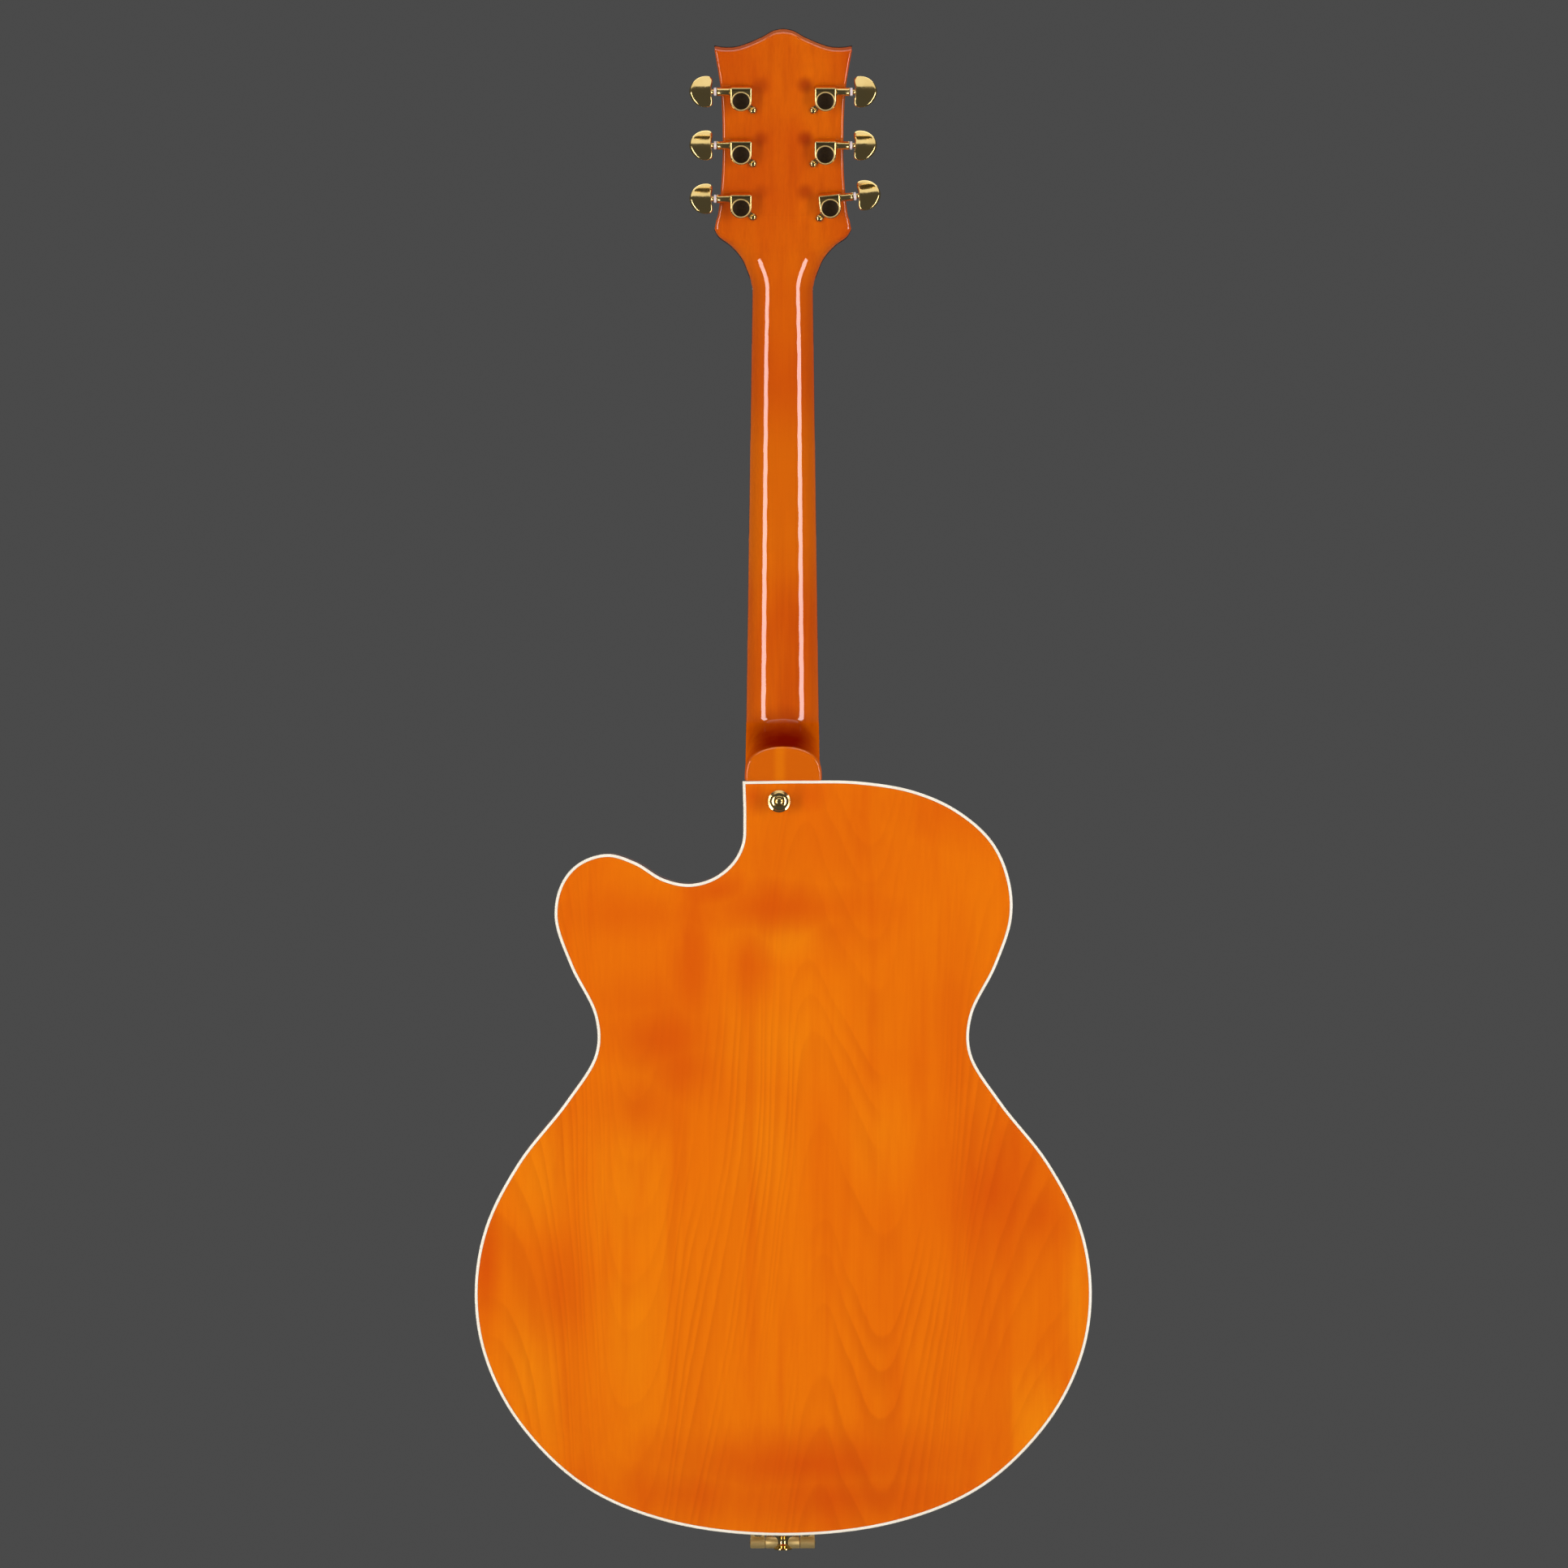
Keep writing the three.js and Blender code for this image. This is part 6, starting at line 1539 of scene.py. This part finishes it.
def saddle_bar():
    rings = []
    for k in range(41):
        x = SADDLE_HALF * (k / 20 - 1)
        end = max(abs(x) - SADDLE_HALF + SADDLE_WIDTH / 2, 0) / (SADDLE_WIDTH / 2)
        half = SADDLE_WIDTH / 2 * math.sqrt(max(1 - end ** 2, 0.03))
        top, soft = saddle_top(x) + INSERT_RISE, min(0.8 * MM, half * 0.5)
        shoulder = top + soft * 0.3
        rings.append([Vector((x, y, BRIDGE_Z + z)) for z, y in (
            (-half, SADDLE_FOOT), (half, SADDLE_FOOT), (half, top + soft), (half - soft * 0.3, shoulder),
            (half - soft, top), (soft - half, top), (soft * 0.3 - half, shoulder), (-half, top + soft))])
    return loft(rings)


def saddle_insert(k):
    middle = string_x(k, BRIDGE_SPACING)
    lean = (k % 3 - 1) * 1.1 * MM
    rings = []
    for x in (middle - 3.6 * MM, middle + 3.6 * MM):
        top = saddle_top(middle)
        rings.append([Vector((x, y, BRIDGE_Z + z)) for z, y in (
            (-3 * MM, top + 2.4 * MM), (3 * MM, top + 2.4 * MM), (2.6 * MM, top + 1.5 * MM),
            (lean + 0.5 * MM, top + 0.15 * MM), (lean, top), (lean - 0.5 * MM, top + 0.15 * MM),
            (-2.6 * MM, top + 1.5 * MM))])
    return loft(rings)


make_piece("carved_bridge_base", bridge_base(), "rosewood", "bridge_base", smooth_angle=50)
thread = []
for k in range(26):
    y = BASE_TOP - 0.6 * MM - k * 0.28 * MM
    thread.append((STUD_RADIUS - (0.22 * MM if k % 2 else 0), y))
stud = lathe([(0, BASE_TOP + 1 * MM), (STUD_RADIUS, BASE_TOP + 1 * MM)] + thread
             + [(STUD_RADIUS - 0.5 * MM, BASE_TOP - 8 * MM), (0, BASE_TOP - 8 * MM)], 20)
STUDS = [Matrix.Translation((side * STUD_REACH, 0, BRIDGE_Z)) for side in (-1, 1)]
make_piece("threaded_studs", merged(*(moved(stud, place) for place in STUDS)), "gold",
           smooth_angle=60)

socket = lathe([(0, SADDLE_TOP - 3 * MM), (STUD_RADIUS + RUN_GAP, SADDLE_TOP - 3 * MM),
                (STUD_RADIUS + RUN_GAP, SADDLE_FOOT + 3 * MM), (0, SADDLE_FOOT + 3 * MM)], 24)
bar = carve(mesh_object("saddle_bar", *saddle_bar()), *(moved(socket, place) for place in STUDS))
finish_piece(bar, "gold", "bridge_saddle")
SADDLE_BODY = BODY_OF["bridge_saddle"]
make_piece("saddle_inserts", merged(*(saddle_insert(k) for k in range(6))), "gold", body=SADDLE_BODY)
small_screw = screw_shape("small_screw", 1.25 * MM, 0.9 * MM, 0.4 * MM, cross=False)
SCREW_DROP = INSERT_RISE + 1.9 * MM
string_places = [string_x(k, BRIDGE_SPACING) for k in range(6)]
set_on_places("saddle_screws", small_screw, [
    (Vector((x, saddle_top(x) + SCREW_DROP, BRIDGE_Z - SADDLE_WIDTH / 2)), Vector((0, 0, -1)))
    for x in string_places], "gold", SADDLE_BODY)

wheel_ridge = ridge_shape("wheel_ridge", 0.3 * MM, 0.9 * MM, 1.5 * MM)
for node in ("bass_thumbwheel", "treble_thumbwheel"):
    low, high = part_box(node)
    middle = middle_of(node)
    r, bore = (high[0] - low[0]) / 2 - 0.3 * MM, 2.35 * MM
    disc = lathe([(bore, low[1]), (r - 0.6 * MM, low[1]), (r, low[1] + 0.4 * MM), (r, high[1] - 0.4 * MM),
                  (r - 0.6 * MM, high[1]), (bore, high[1]), (bore, low[1])], 48)
    place = Matrix.Translation((middle.x, 0, middle.z))
    make_piece(node + "_disc", moved(disc, place), "gold", node)
    set_around(node + "_knurl", wheel_ridge, 44, r, "gold", BODY_OF[node], Matrix.Translation(middle))
print("bridge: base, studs, saddle, six inserts and two wheels")

# %% [markdown]
# ## Pickups and controls
# Each pickup is a plated cover in a dark ring that is carved to the arch. Its six pole screws
# stand under the strings. The knobs are knurled all round, and the selector has a pale tip.


# %% Pickups
def rounded_loop(width, length, radius, middle, steps=6):
    points = []
    for k, (sx, sz) in enumerate(((1, 1), (-1, 1), (-1, -1), (1, -1))):
        for n in range(steps + 1):
            angle = (k + n / steps) * math.pi / 2
            points.append((middle[0] + sx * (width / 2 - radius) + radius * math.cos(angle),
                           middle[1] + sz * (length / 2 - radius) + radius * math.sin(angle)))
    return np.array(points)


FORWARD = Vector((0, -1, 0))
pole_screw = screw_shape("pole_screw", 2.3 * MM, 0.8 * MM, 0.55 * MM, cross=False)
ring_screw = screw_shape("ring_screw", 1.9 * MM, 0.9 * MM, 0.5 * MM)
for name, row in (("neck", 1), ("bridge", -1)):
    low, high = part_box(f"{name}_pickup")
    spot = middle_of(f"{name}_pickup")
    middle = np.array([spot.x, spot.z])
    width, length, top = high[0] - low[0], high[2] - low[2], low[1]
    cover_loop = rounded_loop(width, length, 2.5 * MM, middle)
    make_piece(f"{name}_pickup_cover", stacked(cover_loop, rounded_levels(high[1], top, 1.2 * MM, 5)),
               "gold_cover", f"{name}_pickup")
    poles, pole_z = spacing_at(-spot.z), spot.z + row * 9.5 * MM
    set_on_places(f"{name}_pole_screws", pole_screw, [
        (Vector((string_x(k, poles), top, pole_z)), FORWARD) for k in range(6)], "gold_cover")
    ring_low, ring_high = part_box(f"{name}_pickup_ring")
    ring_top = ring_low[1]
    outer = rounded_loop(ring_high[0] - ring_low[0], ring_high[2] - ring_low[2], 3.5 * MM, middle)
    opening = rounded_loop(width + 2 * RUN_GAP, length + 2 * RUN_GAP, 2.6 * MM, middle)
    foot = [(x, y, z) for (x, z), y in zip(outer, face_level(outer) - GLUE)]
    sill = [(x, y, z) for (x, z), y in zip(opening, face_level(opening) - GLUE)]
    frame_rings = [foot, raised(outer, ring_top + 0.9 * MM),
                   raised(inset(outer, 0.25 * MM), ring_top + 0.3 * MM),
                   raised(inset(outer, 0.9 * MM), ring_top), raised(inset(opening, -0.5 * MM), ring_top),
                   raised(opening, ring_top + 0.5 * MM), sill]
    make_piece(f"{name}_ring_frame", ring_frame(frame_rings), "black_plastic", f"{name}_pickup_ring")
    corners = [(sx * 41.5 * MM, sz * 18.6 * MM) for sx in (-1, 1) for sz in (-1, 1)]
    sides = [(sx * 39.8 * MM, 0.0) for sx in (-1, 1)]
    set_on_places(f"{name}_ring_screws", ring_screw, [
        (Vector((spot.x + x, ring_top + 0.2 * MM, spot.z + z)), FORWARD) for x, z in corners + sides],
        "gold_cover")
print("pickups: two, each with six pole screws and six ring screws")


# %% [markdown]
# A pot is a can under the top, which its threaded bush and a nut clamp to the wood, and its knob
# is pushed onto the shaft. The selector is a taller can with a knurled collar and a lever that
# tips on a ball. All of them are turned shapes, so profiles give them, and a tree sets the
# ridges round the knobs and the collar.

# %% Controls
def hexagon(radius):
    """A nut's outline with slightly eased corners."""
    return np.array([(radius * math.cos(math.pi / 3 * k + a), radius * math.sin(math.pi / 3 * k + a))
                     for k in range(6) for a in (-0.06, 0.06)])


def threaded_bush(radius, bore, top, foot):
    """A bush with a fine thread, as a closed lathe profile."""
    steps = 8
    thread = [(radius - (0.2 * MM if k % 2 else 0), top + (foot - top) * (k + 0.5) / steps)
              for k in range(steps)]
    return [(bore, top), (radius - 0.3 * MM, top)] + thread + [(radius, foot)]


knob_ridge = ridge_shape("knob_ridge", 0.28 * MM, 0.9 * MM, 9.6 * MM)
CAN_DEPTH, NUT_HEIGHT, KNOB_HEIGHT = 9 * MM, 2 * MM, 15 * MM
for control in ("volume", "tone"):
    pot, knob = f"{control}_pot", f"{control}_knob"
    spot = middle_of(pot)
    place = Matrix.Translation((spot.x, 0, spot.z))
    top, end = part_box(pot)[0][1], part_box(pot)[1][1]
    can = end - CAN_DEPTH
    profile = threaded_bush(4 * MM, 3.35 * MM, top, can) + [
        (11.4 * MM, can), (12 * MM, can + 0.6 * MM), (12 * MM, end - 1.2 * MM), (10.8 * MM, end),
        (3.35 * MM, end), (3.35 * MM, top)]
    nut_part = stacked(hexagon(6 * MM), [(0.3 * MM, top + 0.3 * MM), (0, top + 0.6 * MM),
                                         (0, top + 1.5 * MM), (0, top + NUT_HEIGHT)])
    make_piece(f"{control}_pot_can", moved(merged(lathe(profile, 40), nut_part), place), "steel", pot)
    crest, shaft_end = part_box(knob)[0][1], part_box(knob)[1][1]
    foot = crest + KNOB_HEIGHT
    cup = [(0, shaft_end), (3 * MM, shaft_end), (3 * MM, foot), (11.6 * MM, foot),
           (12 * MM, foot - 0.5 * MM), (11.8 * MM, foot - 1.5 * MM), (10.9 * MM, foot - 2.6 * MM),
           (10.3 * MM, foot - 3.4 * MM), (9.9 * MM, crest + 1.4 * MM), (9.5 * MM, crest + 0.6 * MM),
           (8.9 * MM, crest + 0.15 * MM), (8.2 * MM, crest), (7.6 * MM, crest + 0.25 * MM),
           (4 * MM, crest + 0.45 * MM), (0, crest + 0.5 * MM)]
    make_piece(f"{control}_knob_cup", moved(lathe(cup, 48), place), "gold", knob, smooth_angle=30)
    set_around(f"{control}_knob_ridges", knob_ridge, 48, 10.15 * MM, "gold", BODY_OF[knob],
               place @ Matrix.Translation((0, foot - 8.6 * MM, 0)))

spot = middle_of("selector_switch")
place = Matrix.Translation((spot.x, 0, spot.z))
top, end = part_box("selector_switch")[0][1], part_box("selector_switch")[1][1]
SWITCH_DEPTH, COLLAR_RADIUS, LEVER_BALL = 24 * MM, 5.7 * MM, 2.3 * MM
can, bore = end - SWITCH_DEPTH, 2.65 * MM
profile = threaded_bush(4 * MM, bore, top, can) + [
    (7.4 * MM, can), (8 * MM, can + 0.6 * MM), (8 * MM, end - 0.6 * MM), (7.4 * MM, end), (bore, end),
    (bore, top)]
collar = lathe([(3.6 * MM, top + 0.2 * MM), (5.2 * MM, top + 0.2 * MM), (COLLAR_RADIUS, top + 0.6 * MM),
                (COLLAR_RADIUS, top + NUT_HEIGHT), (3.6 * MM, top + NUT_HEIGHT),
                (3.6 * MM, top + 0.2 * MM)], 40)
make_piece("selector_can", moved(merged(lathe(profile, 36), collar), place), "steel", "selector_switch")
collar_ridge = ridge_shape("collar_ridge", 0.25 * MM, 0.8 * MM, 1.3 * MM)
set_around("selector_collar_ridges", collar_ridge, 40, COLLAR_RADIUS, "steel", "guitar",
           place @ Matrix.Translation((0, top + 1.3 * MM, 0)))
tip_end, lever_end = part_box("selector_lever")[0][1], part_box("selector_lever")[1][1]
TIP_PROFILE = [(0, 0), (1.6, 0.15), (2.5, 0.8), (3.1, 2.2), (3.15, 3.4), (2.7, 5.6), (2.1, 8.2),
               (1.9, 9.2), (0, 9.2)]
tip = lathe([(r * MM, tip_end + down * MM) for r, down in TIP_PROFILE], 32)
make_piece("selector_tip", moved(tip, place), "bone", "selector_lever")
pivot = top + LEVER_BALL
ball = [(LEVER_BALL * math.sin(math.radians(a)), pivot - LEVER_BALL * math.cos(math.radians(a)))
        for a in range(45, 136, 15)]
stem = lathe([(0, tip_end + 9 * MM), (1.5 * MM, tip_end + 9 * MM)] + ball
             + [(1.5 * MM, lever_end), (0, lever_end)], 24)
make_piece("selector_stem", moved(stem, place), "steel", body=BODY_OF["selector_lever"])

# %% [markdown]
# The jack's barrel goes through the rim, where a nut holds it. The rim is curved, so the jack
# gets a frame of its own, turned until it stands square on the outline, and a bore is cut
# through the wood behind it.

# %% Output jack
COARSE = OUTLINE[::OUTLINE_STEPS // 2]
JACK_Z = BODY_TOP - 0.865 * BODY_LENGTH
k = next(k for k in range(1, len(COARSE)) if COARSE[k, 0] > LOWER_HALF / 2 and COARSE[k, 1] < JACK_Z
         <= COARSE[k - 1, 1])
seat_middle = (COARSE[k] + COARSE[k - 1]) / 2
facing = Vector((COARSE[k, 1] - COARSE[k - 1, 1], 0, COARSE[k - 1, 0] - COARSE[k, 0]))
facing = facing.normalized() * math.copysign(1, facing.x)
AT_JACK = (Matrix.Translation((seat_middle[0], (RIM_FRONT + RIM_BACK) / 2, seat_middle[1]))
           @ Vector((0, 1, 0)).rotation_difference(facing).to_matrix().to_4x4())
JACK_PROFILE = [(3.3, -30), (4.7, -30), (4.7, 0.3), (7, 0.3), (7, 0.7), (6.7, 0.9), (5, 0.9), (5, 1.5),
                (4.7, 1.7), (3.6, 1.7), (3.3, 1.5), (3.3, -30)]
barrel = lathe([(r * MM, out * MM) for r, out in JACK_PROFILE], 40)
jack_nut = stacked(hexagon(6.6 * MM), [(0, 0.8 * MM), (0, 1.3 * MM), (0.3 * MM, 1.55 * MM)])
bore = lathe([(0, -20 * MM), (3.3 * MM, -20 * MM), (3.3 * MM, 4 * MM), (0, 4 * MM)], 32)
nut_ring = carve(mesh_object("jack_nut", *moved(jack_nut, AT_JACK)), moved(bore, AT_JACK))
finish_piece(nut_ring, "gold")
make_piece("jack_barrel", moved(barrel, AT_JACK), "gold", "output_jack")
carve(rim, moved(lathe([(0, -9 * MM), (5 * MM, -9 * MM), (5 * MM, 5 * MM), (0, 5 * MM)], 32), AT_JACK))
print("controls: two knobs, one selector and the jack")


# %% [markdown]
# ## Strap buttons and tailpiece
# A strap button is one turned piece with a wide foot, a thin waist and a lip, and a screw
# through its middle. The same profile is set twice: on the back below the heel and at the tail.


# %% Strap buttons
# The profile is (radius, height) in millimetres.
STRAP_PROFILE = [(0, 0), (7.4, 0), (7.85, 0.35), (7.72, 0.7), (6.4, 1.36), (5.2, 1.95), (4.1, 3.1),
                 (3.6, 4.6), (3.5, 6.2), (3.9, 7.5), (4.9, 8.6), (6.1, 9.3), (6.5, 9.8), (6.4, 10.4),
                 (5.9, 10.8), (5.2, 10.75), (4.4, 10.3), (3.7, 10.1), (3.4, 10.3), (3.0, 9.8), (0, 9.6)]
strap_button = lathe([(r * MM, up * MM) for r, up in STRAP_PROFILE], 48)
heel_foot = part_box("heel_strap_button")[0][1]
tail_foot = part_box("tail_strap_button")[1][2]
heel_spot = middle_of("heel_strap_button")
tail_spot = middle_of("tail_strap_button")
SEATS = {"heel_strap_button": Matrix.Translation((heel_spot.x, heel_foot, heel_spot.z)),
         "tail_strap_button": (Matrix.Translation((tail_spot.x, tail_spot.y, tail_foot))
                               @ Matrix.Rotation(-math.pi / 2, 4, "X"))}
strap_places = []
for node, seat in SEATS.items():
    make_piece(node + "_turned", moved(strap_button, seat), "gold", node)
    strap_places.append((seat @ Vector((0, 9.9 * MM, 0)), seat.to_3x3() @ Vector((0, 1, 0))))
strap_screw = screw_shape("strap_screw", 2.7 * MM, 1.3 * MM, 0.7 * MM)
set_on_places("strap_button_screws", strap_screw, strap_places, "gold")

# %% [markdown]
# The hinge plate is screwed under the tail and bent down to two outer knuckles. The tailpiece's
# middle knuckle stands between them on the same pin. The plate's outline is a stack of flat
# loops, and the knuckles are short tubes, so every part stays a closed solid without a boolean.

# %% Hinge
leaf_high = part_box("tail_hinge_plate")[1]
pin_low, pin_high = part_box("hinge_pin")
PIN_Y, PIN_Z = (pin_low[1] + pin_high[1]) / 2, (pin_low[2] + pin_high[2]) / 2
HINGE_HALF, MIDDLE_KNUCKLE, KNUCKLE_RADIUS, PIN_RADIUS = 22.9 * MM, 12.1 * MM, 4.1 * MM, 1.5 * MM
LEAF_THICK = 2 * MM
AT_PIN = Matrix.Translation((0, PIN_Y, PIN_Z)) @ ALONG_X
AS_LEAF = Matrix.Rotation(-math.pi / 2, 4, "X")


def knuckle(start, end):
    """A tube round the pin, from start to end along it."""
    bore, soft = PIN_RADIUS + GLUE, 0.4 * MM
    r = KNUCKLE_RADIUS
    return moved(lathe([(bore, start), (r - soft, start), (r, start + soft), (r, end - soft),
                        (r - soft, end), (bore, end), (bore, start)], 36), AT_PIN)


notch, corner = MIDDLE_KNUCKLE + RUN_GAP, 3 * MM
bent = [(corner * (1 - math.cos(math.pi / 12 * k)), corner * (1 - math.sin(math.pi / 12 * k)))
        for k in range(7)]
fold = PIN_Y - LEAF_THICK / 2
leaf_loop = [(-HINGE_HALF, fold), (-notch, fold), (-notch, PIN_Y + KNUCKLE_RADIUS + RUN_GAP),
             (notch, PIN_Y + KNUCKLE_RADIUS + RUN_GAP), (notch, fold), (HINGE_HALF, fold)]
leaf_loop += [(HINGE_HALF - dx, leaf_high[1] - dy) for dx, dy in bent]
leaf_loop += [(-HINGE_HALF + dx, leaf_high[1] - dy) for dx, dy in bent[::-1]]
leaf_face = LEAF_THICK - leaf_high[2]
leaf = moved(stacked(np.array(leaf_loop), [
    (0, -leaf_high[2]), (0, leaf_face - 0.4 * MM), (0.35 * MM, leaf_face)]), AS_LEAF)


def web(side):
    """The part of the plate that is bent down to a knuckle."""
    half, low, top = LEAF_THICK / 2, PIN_Z + 2 * MM, leaf_high[2] - 0.5 * MM
    return loft([[Vector((side * x, PIN_Y + dy, z))
                  for dy, z in ((-half, low), (half, low), (half, top), (-half, top))]
                 for x in (notch + 0.2 * MM, HINGE_HALF - 0.2 * MM)])


make_piece("hinge_leaf_and_knuckles", merged(
    leaf, knuckle(-HINGE_HALF, -notch), knuckle(notch, HINGE_HALF), web(-1), web(1)), "satin_gold",
    "tail_hinge_plate")
pin = lathe([
    (0, pin_low[0]), (PIN_RADIUS * 0.7, pin_low[0]), (PIN_RADIUS, pin_low[0] + 0.4 * MM),
    (PIN_RADIUS, pin_high[0] - 0.4 * MM), (PIN_RADIUS * 0.7, pin_high[0]), (0, pin_high[0])], 28)
make_piece("domed_hinge_pin", moved(pin, AT_PIN), "gold", "hinge_pin")
leaf_screw = screw_shape("leaf_screw", 3.1 * MM, 1.9 * MM, 0.8 * MM)
set_on_places("hinge_screws", leaf_screw, [
    (Vector((x, y, leaf_high[2] - LEAF_THICK)), Vector((0, 0, -1)))
    for x, y in ((17.4 * MM, leaf_high[1] - 6 * MM), (-16.2 * MM, leaf_high[1] - 6 * MM),
                 (16.6 * MM, leaf_high[1] - 32 * MM), (-16.6 * MM, leaf_high[1] - 32 * MM))], "gold")

# %% [markdown]
# Two rods run from the middle knuckle up to the bar that holds the strings. They spread as they
# rise, so each follows a smooth line through a few shares of its width, length and height. The
# bar is bored for the six strings with a Boolean, as it is drilled on the real one.

# %% Tailpiece
BAR_HALF, BAR_DEEP, ROD_RADIUS, BALL_HOLE = 36 * MM, 8 * MM, 2.5 * MM, 1.5 * MM
ROD_SHARES = [(0.9, 0, 0), (0.88, 0.09, 0.02), (0.62, 0.4, 0.16), (0.38, 0.74, 0.42), (0.27, 0.92, 0.7),
              (0.25, 1, 1)]


def tail_bar():
    """The bar's section is a rounded square that closes round both ends."""
    rings = []
    section = rounded_loop(BAR_DEEP, BAR_LENGTH, 1.8 * MM, (BAR_LEVEL, BAR_FRONT - BAR_LENGTH / 2), 4)
    for x, draw in ((-1, 1.6), (-0.995, 0.8), (-0.985, 0.35), (-0.965, 0), (0.965, 0), (0.985, 0.35),
                    (0.995, 0.8), (1, 1.6)):
        rings.append([Vector((x * BAR_HALF, y, z)) for y, z in inset(section, draw * MM)])
    return loft(rings)


AT_BAR = Matrix.Translation((0, BAR_LEVEL, BAR_FRONT)) @ Matrix.Rotation(math.pi / 2, 4, "X")
ball_hole = lathe([(0, -12 * MM), (BALL_HOLE, -12 * MM), (BALL_HOLE, 12 * MM), (0, 12 * MM)], 20)
bar = carve(mesh_object("tailpiece_bar", *tail_bar()), *(
    moved(ball_hole, Matrix.Translation((x, 0, 0)) @ AT_BAR) for x in string_places))
finish_piece(bar, "gold")
rods = []
bar_middle = BAR_FRONT - BAR_LENGTH / 2
for side in (-1, 1):
    knots = [(side * across * BAR_HALF, BAR_LEVEL + drop * (PIN_Y - BAR_LEVEL),
              bar_middle + down * (PIN_Z - bar_middle)) for across, down, drop in ROD_SHARES]
    line = [Vector(p) for p in smooth_line(knots, 8)]
    line = [p for p in line if (p - Vector((p.x, PIN_Y, PIN_Z))).length > 3 * MM]
    rods.append(tube(line, [ROD_RADIUS] * len(line), 20))
make_piece("tailpiece_rods", merged(*rods, knuckle(-MIDDLE_KNUCKLE, MIDDLE_KNUCKLE)), "satin_gold",
           "tailpiece", smooth_angle=45)
print("strap buttons, hinge and tailpiece are in place")
